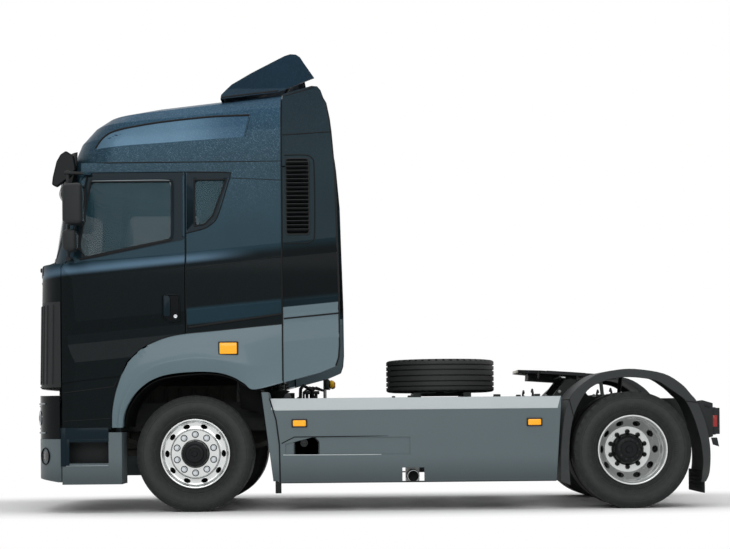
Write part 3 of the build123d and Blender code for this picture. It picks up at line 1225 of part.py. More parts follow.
with BuildPart() as steering_wheel:
    with BuildSketch(Plane(origin=column_plane.origin, x_dir=column_plane.x_dir, z_dir=column_plane.y_dir)):
        with Locations((WHEEL_R, 0)):
            Circle(WHEEL_TUBE_R)
    revolve(axis=Axis(column_plane.origin, column_plane.z_dir))
    with BuildSketch(column_plane.offset(-24)):
        Circle(85)
    extrude(amount=34)
    with BuildSketch(column_plane.offset(-10)):
        with PolarLocations(0, 4, start_angle=20, angular_range=360):
            with Locations((WHEEL_R / 2, 0)):
                Rectangle(WHEEL_R, 34)
    extrude(amount=16)
save(steering_wheel, "steering_wheel")

with BuildPart() as seats:
    for s in (1, -1):
        y = (s * SEAT_Y - SEAT_WIDTH / 2, s * SEAT_Y + SEAT_WIDTH / 2)
        block((-520, -120), (s * SEAT_Y - 170, s * SEAT_Y + 170), (FLOOR_Z, 1590))
        with BuildPart(mode=Mode.PRIVATE) as cushion:
            with BuildSketch(side_plane(y[0])) as outline:
                with BuildLine():
                    Polyline(
                        (-600, 1590), (-600, 1705), (-125, 1700), (-10, 2330), (0, 2590), (85, 2590),
                        (90, 2330), (30, 1590), close=True,
                    )
                make_face()
                fillet(outline.vertices(), 22)
            extrude(amount=-SEAT_WIDTH)
            # head restraint is narrower than the backrest
            for end in (y[0] - 1, y[1] - 104):
                block((-60, 120), (end, end + 105), (2365, 2700), mode=Mode.SUBTRACT)
        add(cushion.part)
save(seats, "seats")

with BuildPart() as bunk:
    block(BUNK_X, (-1060, 1060), (FLOOR_Z, 1700))
    block(BUNK_X, (-1080, 1080), (1700, 1850))
    fillet(bunk.faces().sort_by(Axis.Z)[-1].edges(), 30)
save(bunk, "bunk")

# ---- mirrors, folding about a post ----
with BuildPart() as mirror_left:
    pin_z(MIRROR_POST[0], MIRROR_POST[1], MIRROR_POST_Z, MIRROR_POST_R)
    for x, y, z in MIRROR_HOUSINGS:
        with BuildPart(mode=Mode.PRIVATE) as housing:
            block(x, y, z)
            fillet(housing.edges().filter_by(Axis.X), 45)
            fillet(housing.faces().sort_by(Axis.X)[0].edges(), 40)
        add(housing.part)
        middle = (z[0] + z[1]) / 2
        block((MIRROR_POST[0] - 12, MIRROR_POST[0] + 12), (y[1] - 30, MIRROR_POST[1]),
              (middle - 40, middle + 40))
save(mirror_left, "mirror_left")
with BuildPart() as mirror_right:
    add(mirror(mirror_left.part, about=Plane.XZ))
save(mirror_right, "mirror_right")

# ---- cab mounts ----
BRACKET_T = 11
SUPPORT_X = (620, 720)
with BuildPart() as cab_mounts:
    for s in (1, -1):
        block((RAIL_FRONT_X - 25, RAIL_FRONT_X), sorted((s * 375, s * 485)), (RAIL_BOTTOM, 855))
        for y in (TILT_LUG_Y[0] - 5 - BRACKET_T, TILT_LUG_Y[1] + 5):
            with BuildPart(mode=Mode.PRIVATE) as plate:
                with BuildSketch(side_plane(min(s * y, s * (y + BRACKET_T)))):
                    with BuildLine():
                        Polyline(
                            (RAIL_FRONT_X - 1, RAIL_BOTTOM), (RAIL_FRONT_X - 1, 855), (TILT_X, TILT_Z + 38),
                            (TILT_X - 24, TILT_Z + 28), (TILT_X - 30, TILT_Z - 20),
                            (RAIL_FRONT_X - 60, RAIL_BOTTOM), close=True,
                        )
                    make_face()
                extrude(amount=-BRACKET_T)
            add(plate.part)
        pin_y(TILT_X, sorted((s * (TILT_LUG_Y[0] - 16), s * (TILT_LUG_Y[1] + 16))), TILT_Z, TILT_PIN_R)
        block(SUPPORT_X, sorted((s * 345, s * RAIL_OUT)), (RAIL_TOP, RAIL_TOP + 40))
        pin_z((SUPPORT_X[0] + SUPPORT_X[1]) / 2, s * 385, (RAIL_TOP, CAB_BOTTOM - FIT), 38)
    block(SUPPORT_X, (-400, 400), (1140, 1180))
save(cab_mounts, "cab_mounts")

# ---- bumper, headlamps and entry steps ----
BUMPER_T = 45
BUMPER_Z = (270, 1030)
BUMPER_CHIN = (             # back from the foremost point, and height
    (-25, 1100), (-25, 520), (17, 386), (90, 300), (345, 265), (395, 1100),
)
LAMP_INNER_Y = HALF_WIDTH - 527
LAMP_GAP = 18               # clear of the door's edge as the cab tilts
HEADLAMP_Z = (645, 1024)
HEADLAMP_T = 40


def bumper_volume(inset):
    return raked_block(-FRONT_REACH, 0, (BUMPER_Z[0] - inset, BUMPER_Z[1] + inset), inset)


with BuildPart() as front_bumper:
    add(bumper_volume(0))
    add(bumper_volume(BUMPER_T), mode=Mode.SUBTRACT)
    block((-FRONT_REACH - 5, DOOR_FRONT_X - SEAM), (-HALF_WIDTH - 5, HALF_WIDTH + 5), BUMPER_Z,
          mode=Mode.INTERSECT)
    add(side_prism([(x - FRONT_REACH, z) for x, z in BUMPER_CHIN], (-HALF_WIDTH - 5, HALF_WIDTH + 5)),
        mode=Mode.INTERSECT)
    for s in (1, -1):
        block((-FRONT_REACH - 5, DOOR_FRONT_X), sorted((s * LAMP_INNER_Y, s * (HALF_WIDTH + 5))),
              (HEADLAMP_Z[0], BUMPER_Z[1] + 5), mode=Mode.SUBTRACT)
        block((55 - FRONT_REACH, RAIL_FRONT_X - 25 - FIT), sorted((s * 412, s * 448)), (720, 790))
save(front_bumper, "front_bumper")

with BuildPart() as headlamps:
    add(raked_block(-FRONT_REACH + 2, 0, HEADLAMP_Z, 0))
    add(raked_block(-FRONT_REACH + 2, 0, (HEADLAMP_Z[0] - 1, HEADLAMP_Z[1] + 1), HEADLAMP_T),
        mode=Mode.SUBTRACT)
    block((-FRONT_REACH, DOOR_FRONT_X - LAMP_GAP), (-HALF_WIDTH - 5, -LAMP_INNER_Y - FIT),
          (HEADLAMP_Z[0] + FIT, HEADLAMP_Z[1]), mode=Mode.INTERSECT)
    mirror(about=Plane.XZ)
save(headlamps, "headlamps")

STEP_X = (DOOR_FRONT_X + 6, -627)
STEP_Y = (7 - HALF_WIDTH, 317 - HALF_WIDTH)
STEP_Z = (250, 700)
STEP_WELL_X = (DOOR_FRONT_X + 38, -742)
STEP_WELL_Z = 432
with BuildPart() as entry_steps:
    block(STEP_X, STEP_Y, STEP_Z)
    block(STEP_WELL_X, (STEP_Y[0] - 1, STEP_Y[1] - 30), (STEP_WELL_Z, STEP_Z[1] + 1), mode=Mode.SUBTRACT)
    block(STEP_WELL_X, (STEP_Y[0] + 40, STEP_Y[1] - 25), (STEP_WELL_Z + 185, STEP_WELL_Z + 210))
    for x in (DOOR_FRONT_X + 70, -700):
        block((x - 25, x + 25), (STEP_Y[1] - 1, -RAIL_OUT), (STEP_Z[1] + 10, STEP_Z[1] + 40))
        block((x - 25, x + 25), (STEP_Y[1] - 25, STEP_Y[1]), (STEP_Z[1] - 1, STEP_Z[1] + 40))
    mirror(about=Plane.XZ)
save(entry_steps, "entry_steps")
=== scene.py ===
"""Looks of a 4x2 cab-over tractor unit with a high-roof sleeper cab.

Metres, in the row frame: -X is forward, -Y the left side, +Z is up, and the origin is on the floor.
Lengths along the truck are given back from the front axle, and `at` turns them into the row frame.
Each sub-assembly is a class that builds its pieces on the CAD body that carries them.
"""

import logging
import math
from dataclasses import dataclass, field
from enum import Enum
from typing import Callable, Iterable, Sequence

import bmesh
import bpy
from mathutils import Matrix, Vector
from mathutils.bvhtree import BVHTree


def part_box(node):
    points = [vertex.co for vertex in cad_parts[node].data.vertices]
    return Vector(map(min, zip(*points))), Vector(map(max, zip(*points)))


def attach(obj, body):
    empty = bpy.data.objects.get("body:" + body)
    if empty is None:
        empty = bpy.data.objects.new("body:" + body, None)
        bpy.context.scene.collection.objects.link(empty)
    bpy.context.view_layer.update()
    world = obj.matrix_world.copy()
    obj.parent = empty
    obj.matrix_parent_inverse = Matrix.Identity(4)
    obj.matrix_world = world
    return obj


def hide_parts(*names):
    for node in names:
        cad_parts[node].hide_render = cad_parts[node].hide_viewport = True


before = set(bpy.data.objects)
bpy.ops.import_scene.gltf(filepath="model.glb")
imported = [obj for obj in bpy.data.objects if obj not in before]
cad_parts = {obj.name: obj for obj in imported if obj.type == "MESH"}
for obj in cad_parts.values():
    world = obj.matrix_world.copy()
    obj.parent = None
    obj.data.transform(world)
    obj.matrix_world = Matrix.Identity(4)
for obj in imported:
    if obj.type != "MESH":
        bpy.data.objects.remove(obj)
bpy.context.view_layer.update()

LOG = logging.getLogger("tractor_unit")
FRONT_AXLE = -1.555         # x of the front axle
WHEELBASE = 3.8
AXLE_Z = 0.507              # height of both axles
HALF_WIDTH = 1.247          # of the body, without its mirrors
CREASE_SLOPE = 0.09         # rise of the cab's creases per metre
RIPPLE = 6.28               # one ripple of a woven or studded pattern, in radians
AHEAD = -3.6                # x clear of the front, where lines to the front skin start
BESIDE = -2.0               # y clear of the left side, where lines to the side skin start
OFF_SIDE = -1.6             # y at which flat trim waits to be laid on the left side
MERGE = 0.00002             # vertices nearer than this are one
INWARD = Vector((0, 1, 0))
REARWARD = Vector((1, 0, 0))
Point = Sequence[float]
Pairs = Sequence[tuple[float, float]]


def at(back: float, y: float, z: float) -> Vector:
    """A place from its length back from the front axle, its y and its height."""
    return Vector((FRONT_AXLE + back, y, z))


def upright(y: float, places: Pairs) -> list[Vector]:
    """Places in the upright plane at y, from their lengths back and heights."""
    return [at(back, y, z) for back, z in places]


def paint(red: int, green: int, blue: int) -> tuple[float, float, float, float]:
    """A display colour in 0 to 255 as a linear colour with full alpha."""
    parts = [c / 255 for c in (red, green, blue)]
    linear = [p / 12.92 if p < 0.04045 else ((p + 0.055) / 1.055) ** 2.4 for p in parts]
    return (*linear, 1.0)


def smooth(points: Sequence[Point], steps: int = 5) -> list[Vector]:
    """A smooth line through some places.

    Args:
        points: the places.
        steps: how many steps there are from one to the next.

    Returns:
        The line's places.
    """
    given = [Vector(p) for p in points]
    held = [given[0], *given, given[-1]]
    line = []
    for p0, p1, p2, p3 in zip(held, held[1:], held[2:], held[3:]):
        for t in (j / steps for j in range(steps)):
            line.append(0.5 * (2 * p1 + (p2 - p0) * t + (2 * p0 - 5 * p1 + 4 * p2 - p3) * t ** 2
                               + (3 * p1 - p0 - 3 * p2 + p3) * t ** 3))
    return line + [given[-1]]


def rounded(points: Sequence[Point], radius: float, steps: int = 4) -> list[tuple]:
    """A closed outline with its corners rounded.

    Args:
        points: the corners.
        radius: how far from a corner its rounding starts.
        steps: steps in each corner.

    Returns:
        The rounded outline.
    """
    given = [Vector(p) for p in points]
    line = []
    for k, corner in enumerate(given):
        before, after = given[k - 1] - corner, given[(k + 1) % len(given)] - corner
        start = corner + before.normalized() * min(radius, before.length * 0.45)
        end = corner + after.normalized() * min(radius, after.length * 0.45)
        for t in (j / steps for j in range(steps + 1)):
            line.append(tuple(start * (1 - t) ** 2 + corner * 2 * t * (1 - t) + end * t ** 2))
    return line


class Side(Enum):
    """The two sides of the truck."""

    LEFT = -1
    RIGHT = 1

    @property
    def word(self) -> str:
        """The side's name as the CAD bodies spell it."""
        return self.name.lower()


# ------------------------------------------------------------------ shader graphs
class Term:
    """A shader socket that takes part in arithmetic."""

    def __init__(self, graph: "Graph", socket: bpy.types.NodeSocket) -> None:
        """Keeps the socket and the graph it belongs to."""
        self.graph, self.socket = graph, socket

    def _sum(self, operation: str, first: object, second: object) -> "Term":
        """A Math node over two values."""
        return self.graph.node("ShaderNodeMath", {"operation": operation}, {0: first, 1: second})

    def __add__(self, other: object) -> "Term":
        """This plus another."""
        return self._sum("ADD", self, other)

    def __radd__(self, other: object) -> "Term":
        """Another plus this."""
        return self._sum("ADD", other, self)

    def __sub__(self, other: object) -> "Term":
        """This less another."""
        return self._sum("SUBTRACT", self, other)

    def __rsub__(self, other: object) -> "Term":
        """Another less this."""
        return self._sum("SUBTRACT", other, self)

    def __mul__(self, other: object) -> "Term":
        """This times another."""
        return self._sum("MULTIPLY", self, other)

    def __rmul__(self, other: object) -> "Term":
        """Another times this."""
        return self._sum("MULTIPLY", other, self)

    def wave(self) -> "Term":
        """The sine of this."""
        return self._sum("SINE", self, 0.0)

    def angle(self, other: "Term") -> "Term":
        """The angle whose tangent is this over another."""
        return self._sum("ARCTAN2", self, other)

    def root(self) -> "Term":
        """The square root of this."""
        return self._sum("SQRT", self, 0.0)

    def above(self, low: float, high: float) -> "Term":
        """A smooth step from 0 at low to 1 at high.

        Args:
            low: value at which the step starts.
            high: value at which it ends.

        Returns:
            The step, from 0 to 1.
        """
        return self.graph.node(
            "ShaderNodeMapRange", {"interpolation_type": "SMOOTHSTEP"}, {0: self, 1: low, 2: high}
        )


class Graph:
    """A node material being wired."""

    def __init__(self, name: str) -> None:
        """Starts an empty node material."""
        self.material = bpy.data.materials.new(name)
        self.material.use_nodes = True
        self.tree = self.material.node_tree
        self.tree.nodes.clear()

    def node(
        self, kind: str, settings: dict | None = None, inputs: dict | None = None, output: int | str = 0
    ) -> "Term | None":
        """Adds a node.

        Args:
            kind: the node's type.
            settings: its properties, set first.
            inputs: sockets by name or number, as terms or constants.
            output: which output is returned.

        Returns:
            The chosen output as a term, or None for a node without outputs.
        """
        made = self.tree.nodes.new(kind)
        for key, value in (settings or {}).items():
            setattr(made, key, value)
        for key, value in (inputs or {}).items():
            if isinstance(value, Term):
                self.tree.links.new(value.socket, made.inputs[key])
            else:
                made.inputs[key].default_value = value
        return Term(self, made.outputs[output]) if made.outputs else None

    def place(self) -> Term:
        """Object coordinates, which here are the row frame's."""
        return self.node("ShaderNodeTexCoord", output="Object")

    def parts(self, vector: Term) -> tuple[Term, Term, Term]:
        """The three parts of a vector."""
        first = self.node("ShaderNodeSeparateXYZ", inputs={0: vector})
        outputs = first.socket.node.outputs
        return tuple(Term(self, outputs[k]) for k in range(3))

    def about(self, centre: Point, flat: bool) -> tuple[Term, Term, Term]:
        """Lengths from a wheel's centre.

        Args:
            centre: the wheel's centre.
            flat: whether the wheel lies flat.

        Returns:
            The length along x, the one across it in the wheel's plane, and the radius.
        """
        shifted = self.node("ShaderNodeVectorMath", {"operation": "SUBTRACT"}, {0: self.place(), 1: centre})
        x, y, z = self.parts(shifted)
        across = y if flat else z
        return x, across, (x * x + across * across).root()

    def noise(self, scale: float, detail: float = 3.0, stretch: Point = (1, 1, 1)) -> Term:
        """Fractal noise over the row frame.

        Args:
            scale: cells per metre.
            detail: octaves.
            stretch: scale of each axis.

        Returns:
            A value around 0.5.
        """
        place = self.place()
        if tuple(stretch) != (1, 1, 1):
            place = self.node("ShaderNodeVectorMath", {"operation": "MULTIPLY"}, {0: place, 1: stretch})
        return self.node("ShaderNodeTexNoise", {}, {"Vector": place, "Scale": scale, "Detail": detail})

    def cells(self, scale: float) -> Term:
        """A random value for each cell of a Voronoi pattern."""
        colour = self.node("ShaderNodeTexVoronoi", {}, {"Vector": self.place(), "Scale": scale}, "Color")
        return self.parts(colour)[0]

    def blend(self, share: object, first: object, second: object) -> Term:
        """Mixes two colours, the second at share 1."""
        return self.node("ShaderNodeMix", {"data_type": "RGBA"}, {0: share, 6: first, 7: second}, 2)

    def bump(self, height: Term, depth: float, soften: float = 0.0) -> Term:
        """A bumped normal.

        Args:
            height: the height, 0 to 1.
            depth: how deep 1 is, in metres.
            soften: radius that edges look rounded by.

        Returns:
            The normal.
        """
        inputs = {"Strength": 1.0, "Distance": depth, "Height": height}
        if soften:
            inputs["Normal"] = self.node("ShaderNodeBevel", {"samples": 4}, {"Radius": soften})
        return self.node("ShaderNodeBump", {}, inputs)

    def surface(self, **inputs: object) -> bpy.types.Material:
        """Ends the graph in a Principled shader.

        Args:
            inputs: its sockets, with spaces written as underscores.

        Returns:
            The material.
        """
        named = {key.replace("_", " "): value for key, value in inputs.items()}
        shader = self.node("ShaderNodeBsdfPrincipled", inputs=named)
        self.node("ShaderNodeOutputMaterial", inputs={"Surface": shader})
        return self.material


# ------------------------------------------------------------------ finishes
@dataclass(frozen=True)
class Finish:
    """A plain surface with uneven tone, uneven gloss and a fine grain, and painted shade near the ground where asked.
    """

    name: str
    colour: tuple
    roughness: float = 0.5
    metallic: float = 0.0
    coat: float = 0.0
    specular: float = 0.2
    tone: float = 0.12          # how far the colour wanders
    patch: float = 2.5          # patches per metre
    grain: float = 900.0        # grains per metre
    depth: float = 0.0002       # depth of the grain
    soften: float = 0.0
    dust: float = 0.0           # share of dust low down
    ground_shade: float = 0.0           # painted shade: how much darker it is near the ground
    slot: str = ""

    def shade(self, graph: Graph) -> dict:
        """Wires what this finish adds.

        Args:
            graph: the graph to wire in.

        Returns:
            The shader's inputs.
        """
        wander = graph.noise(self.patch, 4.0)
        fine = graph.noise(self.grain, 2.0)
        dark = tuple(c * (1 - self.tone) for c in self.colour[:3]) + (1.0,)
        pale = tuple(min(1.0, c * (1 + self.tone)) for c in self.colour[:3]) + (1.0,)
        colour = graph.blend(wander, dark, pale)
        if self.dust:
            height = graph.parts(graph.place())[2]
            low = (1 - height.above(0.0, 1.0)) * graph.noise(9.0, 5.0).above(0.35, 0.7) * self.dust
            colour = graph.blend(low, colour, paint(128, 126, 120))
        # painted shade: darker near the ground
        if self.ground_shade:
            shade = (1 - graph.parts(graph.place())[2].above(0.24, 0.50)) * self.ground_shade
            colour = graph.blend(shade, colour, paint(30, 34, 36))
        return {
            "Base_Color": colour,
            "Roughness": (wander - 0.5) * 0.16 + self.roughness,
            "Metallic": self.metallic,
            "Coat_Weight": self.coat,
            "Coat_Roughness": 0.08,
            "Specular_IOR_Level": self.specular,
            "Normal": graph.bump(fine, self.depth, self.soften),
        }

    def material(self) -> bpy.types.Material:
        """The finish's material, made once."""
        label = f"{self.name}_look"
        known = bpy.data.materials.get(label)
        if known is None:
            graph = Graph(label)
            known = graph.surface(**self.shade(graph))
        return known


@dataclass(frozen=True)
class FlakePaint(Finish):
    """Metallic paint with a visible flake, in bands that follow the body's creases: the bands are painted light and
    shade, with painted highlights along the shoulder and the lower crease.
    """

    colour: tuple = paint(48, 72, 88)
    coat: float = 0.07
    specular: float = 0.05
    depth: float = 0.00004
    soften: float = 0.006
    slot: str = "cab_paint"
    # roof, belt and flank are painted light and shade: the roof paler where it faces up, the flank near black below the
    # shoulder
    roof: tuple = paint(40, 67, 87)
    belt: tuple = paint(28, 49, 59)
    flank: tuple = paint(8, 15, 17)
    painted_glint: float = 0.6          # how bright the painted highlight along the shoulder is
    sparkle: float = 1.0        # how much the flake shows
    aft: tuple | None = None    # colour towards the rear, if another: painted shade
    cladding: tuple | None = None   # colour under the lower crease, if any
    cladding_line: float = 1.70

    def shade(self, graph: Graph) -> dict:
        """Wires the bands of painted light and shade, the painted highlights, the flake and the clear coat.

        Args:
            graph: the graph to wire in.

        Returns:
            The shader's inputs.
        """
        x, y, z = graph.parts(graph.place())
        rise = z - (x - FRONT_AXLE) * CREASE_SLOPE
        # painted light and shade in bands: the dark flank below the shoulder, the paler belt above it
        shoulder = rise.above(2.17, 2.27)
        # painted highlight: a belt-coloured band along the lower crease behind the door
        lower = rise.above(1.62, 1.65) * (1 - rise.above(1.745, 1.79)) * x.above(FRONT_AXLE - 0.07, FRONT_AXLE - 0.05)
        colour = graph.blend(shoulder, self.flank, self.belt)
        # painted highlight along the shoulder, fading out towards the rear
        fore = 1 - x.above(FRONT_AXLE - 0.1, FRONT_AXLE + 0.6)
        painted_glint = rise.above(2.15, 2.20) * (1 - rise.above(2.20, 2.27)) * fore
        colour = graph.blend(painted_glint * self.painted_glint, colour, paint(92, 120, 142))
        colour = graph.blend(lower, colour, self.belt)
        # painted light: the roof paler high up
        colour = graph.blend(rise.above(2.95, 3.7), colour, self.roof)
        # painted shade towards the rear, where given
        if self.aft:
            colour = graph.blend(x.above(FRONT_AXLE - 0.15, FRONT_AXLE + 0.42), colour, self.aft)
        # the flake is real; that it shows more strongly higher up, where light falls, is painted light
        flake = graph.cells(330.0).above(0.80, 1.0)
        inside = (1 - (y * y).above(1.25, 1.35)) * (1 - z.above(3.02, 3.08))
        shown = flake * (rise.above(2.35, 3.3) * 0.34 + 0.02) * self.sparkle * (1 - inside)
        colour = graph.blend(shown, colour, paint(124, 154, 174))
        colour = graph.blend(graph.noise(1.6, 3.0).above(0.35, 0.8) * 0.18, colour, self.flank)
        metal, rough = 0.45, 0.34 + 0.12 * graph.noise(3.0)
        if self.cladding:
            grey = 1 - rise.above(self.cladding_line - 0.004, self.cladding_line + 0.004)
            colour = graph.blend(grey, colour, self.cladding)
            metal, rough = (1 - grey) * 0.45, rough + grey * 0.1
        return {
            "Base_Color": colour,
            "Roughness": rough,
            "Metallic": metal,
            "Coat_Weight": self.coat,
            "Coat_Roughness": 0.06,
            "Specular_IOR_Level": self.specular,
            "Normal": graph.bump(graph.cells(330.0), self.depth, self.soften),
        }


@dataclass(frozen=True)
class TyreRubber(Finish):
    """Rubber with a ribbed upper sidewall round a wheel's centre, dust in patches, a painted highlight ring on the
    sidewall and painted shade near the bead.
    """

    centre: tuple = (0.0, 0.0, 0.0)
    flat: bool = False          # the wheel lies flat

    def shade(self, graph: Graph) -> dict:
        """Wires the ribs, the dust, the painted highlight ring and the painted shade near the bead.

        Args:
            graph: the graph to wire in.

        Returns:
            The shader's inputs.
        """
        made = Finish.shade(self, graph)
        x, across, radius = graph.about(self.centre, self.flat)
        band = radius.above(0.362, 0.365) * (1 - radius.above(0.384, 0.387))
        ribs = (across.angle(x) * 150.0).wave().above(-0.4, 0.4) * band
        rings = (radius * 420.0).wave().above(0.2, 0.7) * radius.above(0.438, 0.442) * (1 - radius.above(0.480, 0.484))
        worn = radius.above(0.498, 0.5065) * 0.3
        # painted highlight: a paler ring round the middle of the sidewall
        painted_sheen = radius.above(0.36, 0.42) * (1 - radius.above(0.44, 0.475)) * 0.20
        grime = graph.noise(26.0, 5.0).above(0.42, 0.72) * 0.05
        colour = graph.blend(worn, made["Base_Color"], paint(82, 83, 83))
        # the ribs paler as a pattern, with the painted highlight ring on top
        colour = graph.blend(ribs * 0.12 + painted_sheen, colour, paint(84, 87, 87))
        # painted shade: the rubber darker near the bead, next to the rim
        colour = graph.blend((1 - radius.above(0.30, 0.345)) * 0.7, colour, paint(16, 17, 17))
        made["Base_Color"] = graph.blend(grime, colour, paint(100, 98, 94))
        made["Normal"] = graph.bump(ribs + rings * 0.5 + graph.noise(self.grain) * 0.12, 0.0022)
        return made


@dataclass(frozen=True)
class Alloy(Finish):
    """Turned and polished aluminium, with fine turning rings round a wheel's centre."""

    centre: tuple = (0.0, 0.0, 0.0)
    flat: bool = False

    def shade(self, graph: Graph) -> dict:
        """Wires the turning rings and faint stains.

        Args:
            graph: the graph to wire in.

        Returns:
            The shader's inputs.
        """
        made = Finish.shade(self, graph)
        radius = graph.about(self.centre, self.flat)[2]
        rings = graph.node("ShaderNodeTexNoise", {"noise_dimensions": "1D"}, {"W": radius, "Scale": 900.0})
        stain = graph.noise(14.0, 5.0).above(0.5, 0.8)
        made["Base_Color"] = graph.blend(stain * 0.1, made["Base_Color"], paint(120, 122, 122))
        made["Roughness"] = self.roughness + stain * 0.12 + (rings - 0.5) * 0.1
        made["Normal"] = graph.bump(rings, 0.00012, self.soften)
        return made


@dataclass(frozen=True)
class Fabric(Finish):
    """Woven cloth."""

    weave: float = 420.0        # threads per metre

    def shade(self, graph: Graph) -> dict:
        """Wires the weave.

        Args:
            graph: the graph to wire in.

        Returns:
            The shader's inputs.
        """
        made = Finish.shade(self, graph)
        x, y, z = graph.parts(graph.place())
        threads = (y * self.weave * RIPPLE).wave() * ((x + z) * self.weave * RIPPLE).wave()
        made["Base_Color"] = graph.blend(threads.above(-0.3, 0.6) * 0.5, made["Base_Color"], paint(30, 31, 33))
        made["Normal"] = graph.bump(threads, 0.0008)
        made["Sheen_Weight"] = 0.3
        return made


@dataclass(frozen=True)
class TreadPlate(Finish):
    """Plate with raised studs in rows."""

    pitch: float = 28.0         # studs per metre

    def shade(self, graph: Graph) -> dict:
        """Wires the studs.

        Args:
            graph: the graph to wire in.

        Returns:
            The shader's inputs.
        """
        made = Finish.shade(self, graph)
        x, y, _ = graph.parts(graph.place())
        one = ((x + y) * self.pitch * RIPPLE).wave() * ((x - y) * self.pitch * RIPPLE).wave()
        made["Normal"] = graph.bump(one.above(0.25, 0.6), 0.003, self.soften)
        return made


@dataclass(frozen=True)
class Pane(Finish):
    """Tinted glass that shows what is behind it."""

    clear: float = 0.5          # share that passes straight through

    def shade(self, graph: Graph) -> dict:
        """Wires paler streaks of painted reflection and the see-through share.

        Args:
            graph: the graph to wire in.

        Returns:
            The shader's inputs.
        """
        made = Finish.shade(self, graph)
        # painted reflection: paler streaks in the tint, a little less clear where they lie
        reflection_streak = graph.noise(1.3, 2.0, (1.0, 0.2, 0.5)).above(0.42, 0.62)
        made["Base_Color"] = graph.blend(reflection_streak * 0.5, self.colour, paint(48, 80, 90))
        made["Alpha"] = 1 - self.clear + (reflection_streak - 0.5) * 0.12
        made["Roughness"] = 0.03
        made.pop("Normal")
        return made


@dataclass(frozen=True)
class Lens(Finish):
    """Moulded lamp lens with a prism pattern."""

    glow: float = 0.0
    prisms: float = 90.0        # prisms per metre

    def shade(self, graph: Graph) -> dict:
        """Wires the prisms and a little glow of its own colour.

        Args:
            graph: the graph to wire in.

        Returns:
            The shader's inputs.
        """
        made = Finish.shade(self, graph)
        x, y, z = graph.parts(graph.place())
        grid = ((x + y) * self.prisms * RIPPLE).wave() * (z * self.prisms * RIPPLE).wave()
        made["Normal"] = graph.bump(grid, 0.0008)
        made["Emission_Color"] = self.colour
        made["Emission_Strength"] = self.glow
        return made


